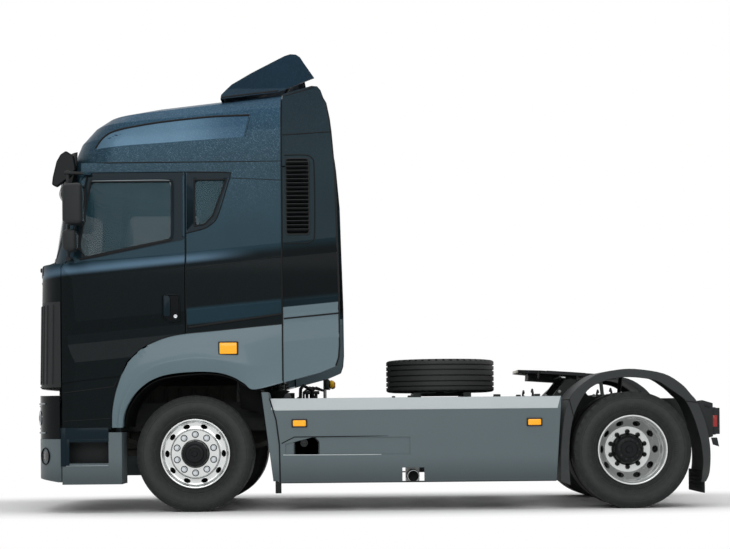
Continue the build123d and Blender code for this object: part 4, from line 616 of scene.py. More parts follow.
class Finishes:
    """Every finish on the truck, named for where it is used."""

    # the blues' band colours are painted light and shade: the extenders darker, the roof recess paler with painted
    # shade towards its rear
    body_blue = FlakePaint("body_blue")
    panel_blue = FlakePaint(
        "panel_blue", roof=paint(12, 30, 38), belt=paint(15, 31, 37), flank=paint(5, 10, 12),
        cladding=paint(100, 117, 124), painted_glint=0.0, sparkle=0.15,
    )
    recess_blue = FlakePaint(
        "recess_blue", soften=0.0, roof=paint(78, 106, 126), belt=paint(78, 106, 126), sparkle=0.8, painted_glint=0.0,
        aft=paint(44, 70, 90),
    )
    deflector_blue = FlakePaint("deflector_blue", roof=paint(18, 38, 51), belt=paint(18, 38, 51), sparkle=0.2)
    cladding_grey = Finish(
        "cladding_grey", paint(94, 113, 120), 0.40, coat=0.15, tone=0.06, depth=0.00008, soften=0.006,
        slot="grey_plastic",
    )
    # the skirts and the bumper carry painted shade near the ground
    skirt_grey = Finish(
        "skirt_grey", paint(92, 104, 108), 0.46, coat=0.05, tone=0.04, depth=0.00008, soften=0.005, ground_shade=0.5,
        slot="grey_plastic",
    )
    moulded_black = Finish(
        "moulded_black", paint(34, 37, 38), 0.55, tone=0.15, grain=700, depth=0.0006, soften=0.004,
        slot="black_plastic",
    )
    fender_black = Finish(
        "fender_black", paint(52, 55, 56), 0.6, tone=0.1, grain=600, depth=0.0007, soften=0.004, dust=0.1,
        slot="black_plastic",
    )
    gloss_black = Finish(
        "gloss_black", paint(13, 17, 19), 0.16, coat=0.05, tone=0.1, depth=0.00002, specular=0.05, soften=0.004,
        slot="gloss_black",
    )
    window_edge = Finish(
        "window_edge", paint(19, 33, 40), 0.22, coat=0.03, tone=0.1, depth=0.00003, specular=0.05, slot="gloss_black",
    )
    frame_coat = Finish(
        "frame_coat", paint(38, 42, 40), 0.5, tone=0.2, patch=6, grain=240, depth=0.0007, soften=0.004, dust=0.3,
        slot="frame_paint",
    )
    cast_iron = Finish(
        "cast_iron", paint(52, 52, 50), 0.62, metallic=0.5, tone=0.3, patch=9, grain=300, depth=0.0014, soften=0.005,
        dust=0.35, slot="cast_iron",
    )
    bare_steel = Finish(
        "bare_steel", paint(150, 152, 152), 0.34, metallic=1.0, tone=0.18, patch=14, grain=420, depth=0.0003,
        slot="steel",
    )
    worn_steel = Finish(
        "worn_steel", paint(176, 170, 156), 0.4, metallic=0.9, tone=0.25, patch=20, grain=500, depth=0.0006,
        slot="steel",
    )
    tank_metal = Finish(
        "tank_metal", paint(170, 174, 175), 0.3, metallic=0.9, tone=0.1, patch=5, grain=500, depth=0.0002,
        soften=0.004, dust=0.3, slot="tank_alloy",
    )
    dark_hub = Finish(
        "dark_hub", paint(24, 26, 27), 0.34, metallic=0.5, tone=0.2, patch=12, grain=500, depth=0.0004, soften=0.002,
        slot="cast_iron",
    )
    black_nut = Finish("black_nut", paint(20, 21, 22), 0.35, metallic=0.5, tone=0.2, grain=500, depth=0.0003,
                       slot="cast_iron")
    dull_strip = Finish("dull_strip", paint(120, 128, 132), 0.35, metallic=0.8, tone=0.06, depth=0.00004,
                        slot="steel")
    # dark for seams and joints, and also put where there is only shade: painted shadows
    seam_and_shadow_dark = Finish("seam_and_shadow_dark", paint(10, 12, 13), 0.6, tone=0.1, depth=0.0002, slot="black_plastic")
    skirt_band = Finish("skirt_band", paint(176, 184, 186), 0.36, coat=0.2, tone=0.05, depth=0.00006,
                        slot="grey_plastic")
    rubber = Finish("rubber", paint(24, 25, 26), 0.75, tone=0.2, grain=500, depth=0.0005, slot="rubber")
    flap_rubber = Finish(
        "flap_rubber", paint(30, 32, 32), 0.75, tone=0.2, grain=300, depth=0.0009, soften=0.003,
        slot="rubber",
    )
    inner_trim = Finish("inner_trim", paint(96, 100, 102), 0.6, tone=0.1, grain=900, depth=0.0004, slot="black_plastic")
    dash_trim = Finish("dash_trim", paint(58, 61, 64), 0.6, tone=0.15, grain=900, depth=0.0004, soften=0.006,
                       slot="black_plastic")
    seat_cloth = Fabric("seat_cloth", paint(78, 82, 88), 0.85, tone=0.2, slot="fabric")
    seat_edge = Fabric("seat_edge", paint(40, 42, 46), 0.85, tone=0.2, slot="fabric", weave=300)
    mattress_cloth = Fabric("mattress_cloth", paint(120, 122, 124), 0.9, tone=0.15, slot="fabric", weave=260)
    curtain_cloth = Fabric("curtain_cloth", paint(150, 156, 160), 0.9, tone=0.12, slot="fabric", weave=350)
    cab_glass = Pane("tinted_pane", paint(34, 64, 73), 0.03, specular=0.08, coat=0.05, slot="glass", clear=0.38)
    mirror_glass = Finish("mirror_glass", paint(190, 198, 202), 0.03, metallic=1.0, tone=0.03, depth=0.00001,
                          slot="steel")
    amber = Lens("amber_lens", paint(252, 168, 6), 0.2, coat=0.6, tone=0.08, glow=0.25, slot="lamp")
    red = Lens("red_lens", paint(150, 14, 10), 0.2, coat=0.6, tone=0.1, glow=0.05, slot="lamp")
    clear = Lens("clear_lens", paint(205, 210, 214), 0.12, coat=0.8, tone=0.05, metallic=0.5, slot="lamp")
    smoked = Lens("smoked_lens", paint(34, 38, 41), 0.1, coat=0.8, tone=0.1, prisms=40, slot="lamp")
    chrome = Finish("bright_trim", paint(205, 210, 214), 0.12, metallic=1.0, tone=0.05, depth=0.00002, slot="steel")
    tread = TreadPlate("step_tread", paint(70, 74, 76), 0.45, metallic=0.6, tone=0.2, soften=0.003, slot="steel")
    plate_blank = Finish("blank_plate", paint(214, 214, 208), 0.5, tone=0.03, depth=0.00005, slot="grey_plastic")
    yellow = Finish("coupling_yellow", paint(226, 178, 30), 0.4, tone=0.1, depth=0.0002, slot="black_plastic")
    red_cap = Finish("coupling_red", paint(170, 30, 24), 0.4, tone=0.1, depth=0.0002, slot="black_plastic")


# ------------------------------------------------------------------ shapes
class Skin:
    """The outer face of some CAD nodes, to lay trim on."""

    def __init__(self, *nodes: str) -> None:
        """Gathers the nodes' meshes into one search tree."""
        gathered = bmesh.new()
        for node in nodes:
            gathered.from_mesh(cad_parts[node].data)
        self.tree = BVHTree.FromBMesh(gathered)
        gathered.free()

    def reach(self, start: Vector, way: Vector) -> tuple[Vector, Vector] | None:
        """Where a line first meets the skin.

        Args:
            start: a point outside the skin.
            way: the direction of the line.

        Returns:
            The place and the normal facing the start, or None where the line misses.
        """
        place, normal, _, _ = self.tree.ray_cast(start, way)
        if place is None:
            return None
        return place, normal if normal.dot(way) < 0 else -normal

    def ahead(self, y: float, z: float) -> tuple[Vector, Vector] | None:
        """Where a line from ahead of the truck meets the skin."""
        return self.reach(Vector((AHEAD, y, z)), REARWARD)

    def beside(self, back: float, z: float) -> tuple[Vector, Vector] | None:
        """Where a line from the left of the truck meets the skin."""
        return self.reach(at(back, BESIDE, z), INWARD)


class Shape:
    """A mesh being made, in the row frame."""

    def __init__(self) -> None:
        """Starts with nothing."""
        self.bm = bmesh.new()

    def _round(self, verts: Iterable[bmesh.types.BMVert], bevel: float, segments: int = 2) -> None:
        """Rounds every edge between some vertices."""
        if bevel:
            edges = list({e for v in verts for e in v.link_edges})
            bmesh.ops.bevel(
                self.bm, geom=edges, offset=bevel, offset_type="OFFSET", segments=segments, profile=0.5,
                affect="EDGES", clamp_overlap=True, material=-1,
            )

    def block(self, low: Point, high: Point, bevel: float = 0.0, segments: int = 2) -> "Shape":
        """Adds a block with rounded edges.

        Args:
            low: its lowest corner.
            high: its highest corner.
            bevel: radius of its edges.
            segments: steps of the rounding.

        Returns:
            This shape.
        """
        low, high = (Vector(min(a, b) for a, b in zip(low, high)), Vector(max(a, b) for a, b in zip(low, high)))
        made = bmesh.ops.create_cube(self.bm, size=1.0)["verts"]
        bmesh.ops.scale(self.bm, vec=high - low, verts=made)
        bmesh.ops.translate(self.bm, vec=(low + high) / 2, verts=made)
        self._round(made, bevel, segments)
        return self

    def lathe(
        self, profile: Pairs, centre: Point, axis: Point, steps: int = 96,
        closed: bool = False,
    ) -> "Shape":
        """Adds a turned form.

        Args:
            profile: pairs of a place along the axis and a radius.
            centre: where the axis is measured from.
            axis: the axis' direction.
            steps: faces round it.
            closed: whether the profile's last point joins its first.

        Returns:
            This shape.
        """
        along = Vector(axis).normalized()
        out = along.orthogonal().normalized()
        ring = [self.bm.verts.new(Vector(centre) + along * a + out * r) for a, r in profile]
        pairs = list(zip(ring, ring[1:])) + ([(ring[-1], ring[0])] if closed else [])
        edges = [self.bm.edges.new(pair) for pair in pairs]
        bmesh.ops.spin(
            self.bm, geom=ring + edges, cent=Vector(centre), axis=along, angle=math.tau, steps=steps,
            use_merge=True, use_duplicate=False,
        )
        return self

    def slab(self, outline: Sequence[Point], depth: Point, bevel: float = 0.0, corner: float = 0.0) -> "Shape":
        """Adds a flat outline carried along a depth.

        Args:
            outline: its corners in order.
            depth: how far and which way it is carried.
            bevel: radius of its edges.
            corner: radius of the outline's corners.

        Returns:
            This shape.
        """
        before = set(self.bm.faces)
        face = self.bm.faces.new([self.bm.verts.new(Vector(p)) for p in outline])
        if corner:
            bmesh.ops.bevel(
                self.bm, geom=list(face.verts), offset=corner, offset_type="OFFSET", segments=4, profile=0.5,
                affect="VERTICES", clamp_overlap=True, material=-1,
            )
            face = max((f for f in self.bm.faces if f not in before), key=lambda f: len(f.verts))
        start = list(face.verts)
        moved = bmesh.ops.extrude_face_region(self.bm, geom=[face])["geom"]
        verts = [v for v in moved if isinstance(v, bmesh.types.BMVert)]
        bmesh.ops.translate(self.bm, vec=Vector(depth), verts=verts)
        self._round(start + verts, bevel)
        return self

    def cone(
        self, start: Point, end: Point, radii: tuple[float, float], sides: int = 24, bevel: float = 0.0
    ) -> "Shape":
        """Adds a cone or a rod between two places.

        Args:
            start: the middle of one end.
            end: the middle of the other.
            radii: the radius at each end.
            sides: faces round it.
            bevel: radius of its edges.

        Returns:
            This shape.
        """
        first, last = Vector(start), Vector(end)
        turn = Vector((0, 0, 1)).rotation_difference(last - first).to_matrix().to_4x4()
        made = bmesh.ops.create_cone(
            self.bm, cap_ends=True, segments=sides, radius1=radii[0], radius2=radii[1],
            depth=(last - first).length, matrix=Matrix.Translation((first + last) / 2) @ turn,
        )["verts"]
        self._round(made, bevel, 1)
        return self

    def tube(self, path: Sequence[Point], radius: float, sides: int = 10, ring: bool = False) -> "Shape":
        """Adds a round bar along a path.

        Args:
            path: the places it runs through.
            radius: its radius.
            sides: faces round it.
            ring: whether it closes on itself.

        Returns:
            This shape.
        """
        curve = bpy.data.curves.new("run", "CURVE")
        curve.dimensions = "3D"
        spline = curve.splines.new("POLY")
        spline.points.add(len(path) - 1)
        for point, place in zip(spline.points, path):
            point.co = (*place, 1.0)
        spline.use_cyclic_u = ring
        curve.bevel_depth = radius
        curve.bevel_resolution = max(0, (sides - 4) // 2)
        curve.use_fill_caps = True
        holder = bpy.data.objects.new("run", curve)
        mesh = bpy.data.meshes.new_from_object(holder)
        self.bm.from_mesh(mesh)
        bpy.data.objects.remove(holder)
        bpy.data.curves.remove(curve)
        bpy.data.meshes.remove(mesh)
        return self

    def band(self, outer: Sequence[Point], inner: Sequence[Point], cuts: int = 5) -> list[bmesh.types.BMVert]:
        """Adds the surface between two closed outlines with the same number of corners.

        Args:
            outer: the outer outline.
            inner: the inner outline.
            cuts: how finely it is divided.

        Returns:
            Its vertices.
        """
        before = set(self.bm.verts)
        edges = []
        for outline in (outer, inner):
            ring = [self.bm.verts.new(Vector(p)) for p in outline]
            edges += [self.bm.edges.new((a, b)) for a, b in zip(ring, ring[1:] + ring[:1])]
        faces = bmesh.ops.bridge_loops(self.bm, edges=edges)["faces"]
        every = list({e for f in faces for e in f.edges})
        bmesh.ops.subdivide_edges(self.bm, edges=every, cuts=cuts, use_grid_fill=True)
        return [v for v in self.bm.verts if v not in before]

    def sheet(self, corners: Sequence[Point], cuts: int = 6) -> list[bmesh.types.BMVert]:
        """Adds a divided face with three or four corners.

        Args:
            corners: its corners.
            cuts: how finely it is divided.

        Returns:
            Its vertices.
        """
        before = set(self.bm.verts)
        face = self.bm.faces.new([self.bm.verts.new(Vector(p)) for p in corners])
        bmesh.ops.subdivide_edges(self.bm, edges=list(face.edges), cuts=cuts, use_grid_fill=True)
        return [v for v in self.bm.verts if v not in before]

    def lay(self, verts: Iterable[bmesh.types.BMVert], skin: Skin, way: Point, lift: float) -> "Shape":
        """Lays vertices on a skin.

        Args:
            verts: the vertices to move.
            skin: what they lie on.
            way: the direction in which they are pushed.
            lift: how far off the skin they stay.

        Returns:
            This shape.
        """
        push = Vector(way).normalized()
        missed = []
        for vert in verts:
            met = skin.reach(vert.co - push * 1.0, push)
            if met:
                vert.co = met[0] + met[1] * lift
            else:
                missed.append(vert)
        bmesh.ops.delete(self.bm, geom=missed, context="VERTS")
        return self

    def ribbon(self, rows: Sequence[Sequence[Point]], closed: bool = False) -> list[bmesh.types.BMVert]:
        """Adds the surface through lines of places that have the same count.

        Args:
            rows: the lines, in order.
            closed: whether the last line joins the first and the ends are filled.

        Returns:
            Its vertices.
        """
        made = [[self.bm.verts.new(Vector(p)) for p in row] for row in rows]
        edges = [[self.bm.edges.new(pair) for pair in zip(row, row[1:])] for row in made]
        for first, second in zip(edges, edges[1:] + (edges[:1] if closed else [])):
            bmesh.ops.bridge_loops(self.bm, edges=first + second)
        if closed:
            tips = {row[end] for row in made for end in (0, -1)}
            ends = [e for e in self.bm.edges if e.is_boundary and e.verts[0] in tips]
            bmesh.ops.holes_fill(self.bm, edges=ends, sides=len(rows) + 1)
        return [v for row in made for v in row]

    def thicken(self, verts: Iterable[bmesh.types.BMVert], depth: Point) -> "Shape":
        """Gives an open surface a depth along one direction."""
        chosen = {v for v in verts if v.is_valid}
        faces = [f for f in self.bm.faces if all(v in chosen for v in f.verts)]
        moved = bmesh.ops.extrude_face_region(self.bm, geom=faces)["geom"]
        bmesh.ops.translate(
            self.bm, vec=Vector(depth), verts=[v for v in moved if isinstance(v, bmesh.types.BMVert)]
        )
        return self

    def nut(self, place: Point, axis: Point, radius: float, height: float) -> "Shape":
        """Adds a nut on a coned washer with the end of its stud.

        Args:
            place: where it seats.
            axis: the direction it stands in.
            radius: the nut's radius.
            height: the nut's height.

        Returns:
            This shape.
        """
        foot, up = Vector(place), Vector(axis).normalized()
        self.cone(foot, foot + up * height * 0.22, (radius * 1.25, radius * 1.12), 16)
        self.cone(foot + up * height * 0.2, foot + up * height, (radius, radius), 6, radius * 0.12)
        self.cone(foot + up * height * 0.9, foot + up * height * 1.25, (radius * 0.5, radius * 0.45), 12)
        return self

    def both(self) -> "Shape":
        """Adds the mirror image on the other side of the truck."""
        geom = list(self.bm.verts) + list(self.bm.edges) + list(self.bm.faces)
        bmesh.ops.mirror(self.bm, geom=geom, matrix=Matrix.Identity(4), merge_dist=0.00001, axis="Y")
        return self

    def flip(self, side: Side) -> "Shape":
        """Moves a left-hand shape to the given side."""
        if side is Side.RIGHT:
            bmesh.ops.scale(self.bm, vec=(1, -1, 1), verts=self.bm.verts)
        return self

    def piece(self, name: str, body: str, finish: Finish, sharp: float = 32.0) -> bpy.types.Object:
        """Turns the shape into a piece that rides on a body.

        Args:
            name: the piece's name.
            body: the CAD body that carries it.
            finish: its finish.
            sharp: edges sharper than this stay sharp, in degrees.

        Returns:
            The piece's object.
        """
        bmesh.ops.remove_doubles(self.bm, verts=self.bm.verts, dist=MERGE)
        bmesh.ops.recalc_face_normals(self.bm, faces=self.bm.faces)
        for face in self.bm.faces:
            face.smooth = True
        limit = math.radians(sharp)
        for edge in self.bm.edges:
            edge.smooth = edge.calc_face_angle(0.0) < limit
        mesh = bpy.data.meshes.new(name)
        self.bm.to_mesh(mesh)
        self.bm.free()
        made = bpy.data.objects.new(name, mesh)
        bpy.context.scene.collection.objects.link(made)
        mesh.materials.append(finish.material())
        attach(made, body)
        LOG.info("%s on %s: %d faces", name, body, len(mesh.polygons))
        return made


def applied(piece: bpy.types.Object) -> bpy.types.Object:
    """Applies a piece's modifiers.

    Args:
        piece: the piece.

    Returns:
        The same piece with a plain mesh.
    """
    bpy.context.view_layer.update()
    graph = bpy.context.evaluated_depsgraph_get()
    mesh = bpy.data.meshes.new_from_object(piece.evaluated_get(graph))
    piece.modifiers.clear()
    piece.data = mesh
    return piece


def carve(piece: bpy.types.Object, cutter: Shape) -> bpy.types.Object:
    """Cuts a shape out of a piece.

    Args:
        piece: the piece to cut.
        cutter: the shape to take away.

    Returns:
        The piece.
    """
    bmesh.ops.recalc_face_normals(cutter.bm, faces=cutter.bm.faces)
    mesh = bpy.data.meshes.new("cutter")
    cutter.bm.to_mesh(mesh)
    cutter.bm.free()
    tool = bpy.data.objects.new("cutter", mesh)
    bpy.context.scene.collection.objects.link(tool)
    cut = piece.modifiers.new("cut", "BOOLEAN")
    cut.operation, cut.object, cut.solver = "DIFFERENCE", tool, "EXACT"
    applied(piece)
    bpy.data.objects.remove(tool)
    bpy.data.meshes.remove(mesh)
    return piece


# ------------------------------------------------------------------ carried-over CAD
@dataclass
class FrameDress:
    """Puts a finish on every CAD node, by the name of its material slot or of the node itself."""

    by_slot: dict[str, Finish] = field(default_factory=lambda: {
        "cab_paint": Finishes.body_blue, "grey_plastic": Finishes.cladding_grey,
        "black_plastic": Finishes.moulded_black, "gloss_black": Finishes.gloss_black,
        "glass": Finishes.cab_glass, "tyre": Finishes.rubber, "alloy": Finishes.bare_steel,
        "frame_paint": Finishes.frame_coat, "cast_iron": Finishes.cast_iron, "steel": Finishes.bare_steel,
        "tank_alloy": Finishes.tank_metal, "fabric": Finishes.seat_cloth, "lamp": Finishes.moulded_black,
        "rubber": Finishes.rubber,
    })
    by_node: dict[str, Finish] = field(default_factory=lambda: {
        "side_extenders": Finishes.panel_blue, "side_skirts": Finishes.skirt_grey,
        "front_bumper": Finishes.skirt_grey, "entry_steps": Finishes.skirt_grey,
        "rear_fenders": Finishes.fender_black, "dashboard": Finishes.dash_trim,
        "engine_block": Finishes.cast_iron,
        "fifth_wheel_plate": Finishes.moulded_black, "sun_visor": Finishes.gloss_black,
        "mirror_left": Finishes.moulded_black, "mirror_right": Finishes.moulded_black,
        "roof_deflector": Finishes.deflector_blue, "front_leaf_springs": Finishes.cast_iron,
    })

    def dress(self) -> None:
        """Assigns the materials; the nodes' meshes stay as they are."""
        for name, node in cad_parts.items():
            for slot in node.material_slots:
                finish = self.by_node.get(name) or self.by_slot[slot.material.name]
                slot.material = finish.material()
        LOG.info("dressed %d nodes", len(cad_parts))


# ------------------------------------------------------------------ wheels
@dataclass
class Tyre:
    """A radial tyre round a centre, with a grooved tread and a notched shoulder."""

    centre: Vector
    axis: Vector
    half: float = 0.154
    bore: float = 0.2865
    radius: float = 0.507
    steps: int = 144

    def profile(self) -> list[tuple[float, float]]:
        """The closed section, from the bead over the tread to the other bead."""
        h, r = self.half, self.radius
        side = [
            (0.113, self.bore), (0.1135, 0.306), (0.121, 0.317), (h - 0.026, 0.331), (h - 0.019, 0.339),
            (h - 0.021, 0.345), (h - 0.008, 0.372), (h - 0.001, 0.404), (h - 0.002, 0.434), (h - 0.005, 0.447),
            (h - 0.002, 0.450), (h - 0.004, 0.468), (h - 0.006, 0.484), (h - 0.011, r - 0.010),
            (h * 0.88, r - 0.002),
        ]
        tread = [(h * 0.86, r)]
        for middle in (0.098, 0.052, 0.0):
            share = middle * self.half / 0.154
            tread += [(share + 0.0065, r), (share + 0.004, r - 0.012), (share - 0.004, r - 0.012),
                      (share - 0.0065, r)]
        tread = tread[:-2] if tread[-1][0] < 0 else tread
        tread = [point for point in tread if point[0] > 0.001]
        half = side + tread
        return half + [(-a, b) for a, b in reversed(half)]

    def shape(self) -> Shape:
        """Spins the section and notches the shoulders.

        Returns:
            The tyre's shape.
        """
        made = Shape().lathe(self.profile(), self.centre, self.axis, self.steps, closed=True)
        axis = self.axis.normalized()
        out = axis.orthogonal().normalized()
        chosen = []
        for face in made.bm.faces:
            offset = face.calc_center_median() - self.centre
            along = offset.dot(axis)
            radial = offset - axis * along
            turn = math.atan2(radial.dot(axis.cross(out)), radial.dot(out)) / math.tau * self.steps
            if self.radius - 0.017 < radial.length < self.radius - 0.0005 and abs(along) > self.half * 0.83:
                if int(math.floor(turn)) % 3 == 0:
                    chosen.append(face)
        cut = bmesh.ops.extrude_discrete_faces(made.bm, faces=chosen)["faces"]
        for face in cut:
            bmesh.ops.translate(made.bm, vec=-(face.calc_center_median() - self.centre).normalized() * 0.005,
                                verts=list(face.verts))
        return made

    def build(self, name: str, body: str, flat: bool = False) -> bpy.types.Object:
        """Makes the tyre's piece.

        Args:
            name: its name.
            body: the CAD body that carries it.
            flat: whether it lies flat.

        Returns:
            The piece.
        """
        finish = TyreRubber(
            f"{name}_rubber", paint(32, 34, 34), 0.58, tone=0.18, grain=700, slot="tyre",
            centre=tuple(self.centre), flat=flat,
        )
        return self.shape().piece(name, body, finish, 40)


def around(centre: Vector, axis: Vector, radius: float, count: int, start: float = 0.0) -> list[Vector]:
    """Places spaced round a circle.

    Args:
        centre: the circle's middle.
        axis: the circle's axis.
        radius: its radius.
        count: how many places.
        start: turn of the first place, in steps.

    Returns:
        The places.
    """
    out = Vector((1, 0, 0)) if abs(axis.x) < 0.5 else Vector((0, 1, 0))
    up = axis.normalized().cross(out)
    turns = [math.tau * (k + start) / count for k in range(count)]
    return [centre + (out * math.cos(t) + up * math.sin(t)) * radius for t in turns]


def vent_cutter(centre: Vector, axis: Vector, radius: float, size: tuple[float, float], depth: float) -> Shape:
    """Oval plugs for ten vents of a wheel's disc.

    Args:
        centre: the middle of the vents' circle, under the disc.
        axis: outward along the wheel's axis.
        radius: the vents' circle.
        size: radial and tangential size of a vent.
        depth: length of the plugs.

    Returns:
        The plugs.
    """
    plugs = Shape()
    for place in around(centre, axis, radius, 10):
        radial = (place - centre).normalized()
        tangent = axis.normalized().cross(radial)
        made = bmesh.ops.create_cone(
            plugs.bm, cap_ends=True, segments=28, radius1=0.5, radius2=0.5, depth=1.0,
        )["verts"]
        turn = Matrix((
            (*(radial * size[0]), 0), (*(tangent * size[1]), 0), (*(axis.normalized() * depth), 0), (0, 0, 0, 1),
        )).transposed()
        turn[3] = (0, 0, 0, 1)
        bmesh.ops.transform(plugs.bm, matrix=Matrix.Translation(place) @ turn, verts=made)
    return plugs


@dataclass
class FrontWheel:
    """A polished disc wheel with ten oval vents, chromed nuts and a turned hub cap."""

    side: Side
    track: float = HALF_WIDTH - 0.212
    nut_circle: float = 0.1675

    def build(self) -> None:
        """Builds the tyre, the rim, the hub cap and the nuts."""
        s = self.side.value
        word = self.side.word
        body = f"wheel_front_{word}"
        centre = at(0, s * self.track, AXLE_Z)
        out = Vector((0, s, 0))
        tyre = Tyre(centre, out).build(f"front_tyre_{word}", body)
        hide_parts(f"tyre_front_{word}")
        alloy = Alloy(
            f"front_alloy_{word}", paint(214, 217, 216), 0.2, metallic=0.85, tone=0.05, slot="alloy",
            centre=tuple(centre),
        )
        rim = Shape().lathe(
            [
                (0.116, 0.303), (0.124, 0.3035), (0.128, 0.301), (0.129, 0.296), (0.127, 0.291), (0.120, 0.287),
                (0.112, 0.284), (0.106, 0.279), (0.100, 0.273), (0.096, 0.266), (0.095, 0.255), (0.095, 0.222),
                (0.098, 0.2165), (0.107, 0.213), (0.110, 0.209), (0.110, 0.118), (0.084, 0.118), (0.084, 0.196),
                (0.074, 0.206), (0.071, 0.222), (0.071, 0.262), (0.060, 0.2725), (-0.112, 0.2725), (-0.127, 0.290),
                (-0.127, 0.303), (-0.116, 0.303), (-0.116, 0.2863), (0.116, 0.2863),
            ],
            centre, out, 120, closed=True,
        ).piece(f"front_rim_{word}", body, alloy, 34)
        carve(rim, vent_cutter(centre + out * 0.09, out, 0.246, (0.042, 0.062), 0.1))
        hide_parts(body)
        lips = Shape()
        for place in around(centre + out * 0.0955, out, 0.246, 10):
            radial = (place - centre - out * 0.0955).normalized()
            tangent = out.cross(radial)
            path = [place + radial * 0.022 * math.cos(t) + tangent * 0.032 * math.sin(t)
                    for t in [math.tau * k / 28 for k in range(28)]]
            lips.tube(path, 0.0024, 8, ring=True)
        lips.piece(f"front_vent_lips_{word}", body, alloy)
        nuts, rings = Shape(), Shape()
        for place in around(centre + out * 0.110, out, self.nut_circle, 10, 0.5):
            nuts.nut(place, out, 0.0205, 0.032)
            rings.tube(around(place, out, 0.0275, 24), 0.0034, 6, ring=True)
        for radius, depth in ((0.2175, 0.0975), (0.2085, 0.1098)):
            rings.tube(around(centre + out * depth, out, radius, 96), 0.0018, 6, ring=True)
        nuts.piece(f"front_nuts_{word}", body, Finishes.chrome)
        rings.piece(f"front_disc_rings_{word}", body, Finishes.seam_and_shadow_dark)
        Shape().lathe(
            [
                (0.03, 0.0), (0.03, 0.125), (0.112, 0.125), (0.120, 0.1225), (0.124, 0.117), (0.150, 0.1145),
                (0.166, 0.111), (0.174, 0.105), (0.177, 0.097), (0.1765, 0.083), (0.184, 0.0795), (0.190, 0.073),
                (0.192, 0.064), (0.1915, 0.052), (0.1885, 0.049), (0.1885, 0.0),
            ],
            centre, out, 72,
        ).piece(f"front_hub_cap_{word}", body, Finishes.dark_hub)
        studs = Shape()
        for place in around(centre + out * 0.124, out, 0.1045, 8):
            studs.nut(place - out * 0.006, out, 0.008, 0.055)
        studs.cone(centre + out * 0.186, centre + out * 0.199, (0.03, 0.026), 6, 0.002)
        studs.piece(f"front_hub_bolts_{word}", body, Finishes.dark_hub)
        Shape().lathe(
            [(-0.085, 0.05), (-0.085, 0.232), (0.02, 0.238), (0.04, 0.225), (0.05, 0.14), (0.05, 0.05)],
            centre, out, 64, closed=True,
        ).piece(f"front_disc_brake_{word}", body, Finishes.cast_iron)


@dataclass
class TwinWheels:
    """Twin wheels: two tyres on deep rims bolted back to back, and a black hub."""

    side: Side
    track: float = HALF_WIDTH - 0.322
    spacing: float = 0.35

    def rim_profile(self) -> list[tuple[float, float]]:
        """The outer rim and its disc, measured from the plane where the rims meet."""
        e = self.spacing / 2
        return [
            (e + 0.116, 0.303), (e + 0.124, 0.3035), (e + 0.128, 0.301), (e + 0.129, 0.296), (e + 0.127, 0.291),
            (e + 0.118, 0.286), (e + 0.108, 0.282), (e + 0.092, 0.2765), (e + 0.02, 0.273), (e - 0.04, 0.271),
            (0.104, 0.267), (0.090, 0.259), (0.040, 0.214), (0.027, 0.205), (0.020, 0.200), (0.020, 0.130),
            (0.001, 0.130), (0.001, 0.204), (0.022, 0.216), (0.076, 0.266), (0.086, 0.2863), (e + 0.116, 0.2863),
        ]

    def build(self) -> None:
        """Builds tyres, rims, hub and nuts."""
        s = self.side.value
        word = self.side.word
        body = f"wheels_rear_{word}"
        middle = at(WHEELBASE, s * self.track, AXLE_Z)
        out = Vector((0, s, 0))
        for label, offset in (("outer", 0.5), ("inner", -0.5)):
            tyre = Tyre(middle + out * offset * self.spacing, out, half=0.147, steps=120).build(
                f"rear_tyre_{label}_{word}", body)
            if label == "outer":
                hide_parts(f"tyres_rear_{word}")
        alloy = Alloy(
            f"rear_alloy_{word}", paint(214, 217, 216), 0.2, metallic=0.55, tone=0.06, slot="alloy",
            centre=tuple(middle),
        )
        rim = Shape().lathe(self.rim_profile(), middle, out, 112, closed=True).lathe(
            self.rim_profile(), middle, -out, 112, closed=True,
        ).piece(f"rear_rims_{word}", body, alloy, 34)
        carve(rim, vent_cutter(middle, out, 0.236, (0.044, 0.068), 0.30))
        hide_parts(f"rims_rear_{word}")
        Shape().lathe(
            [
                (-0.10, 0.0), (-0.10, 0.129), (0.0205, 0.129), (0.0205, 0.143), (0.032, 0.142), (0.036, 0.130),
                (0.092, 0.124), (0.104, 0.117),
                (0.112, 0.108), (0.116, 0.100), (0.116, 0.074), (0.110, 0.070), (0.110, 0.032), (0.119, 0.028),
                (0.119, 0.0),
            ],
            middle, out, 72,
        ).piece(f"rear_hub_{word}", body, Finishes.dark_hub)
        nuts = Shape()
        for place in around(middle + out * 0.020, out, 0.156, 10, 0.5):
            nuts.nut(place, out, 0.0175, 0.036)
        nuts.piece(f"rear_nuts_{word}", body, Finishes.black_nut)
        bolts = Shape()
        for place in around(middle + out * 0.114, out, 0.088, 10):
            bolts.nut(place, out, 0.0085, 0.012)
        bolts.piece(f"rear_shaft_bolts_{word}", body, Finishes.cast_iron)


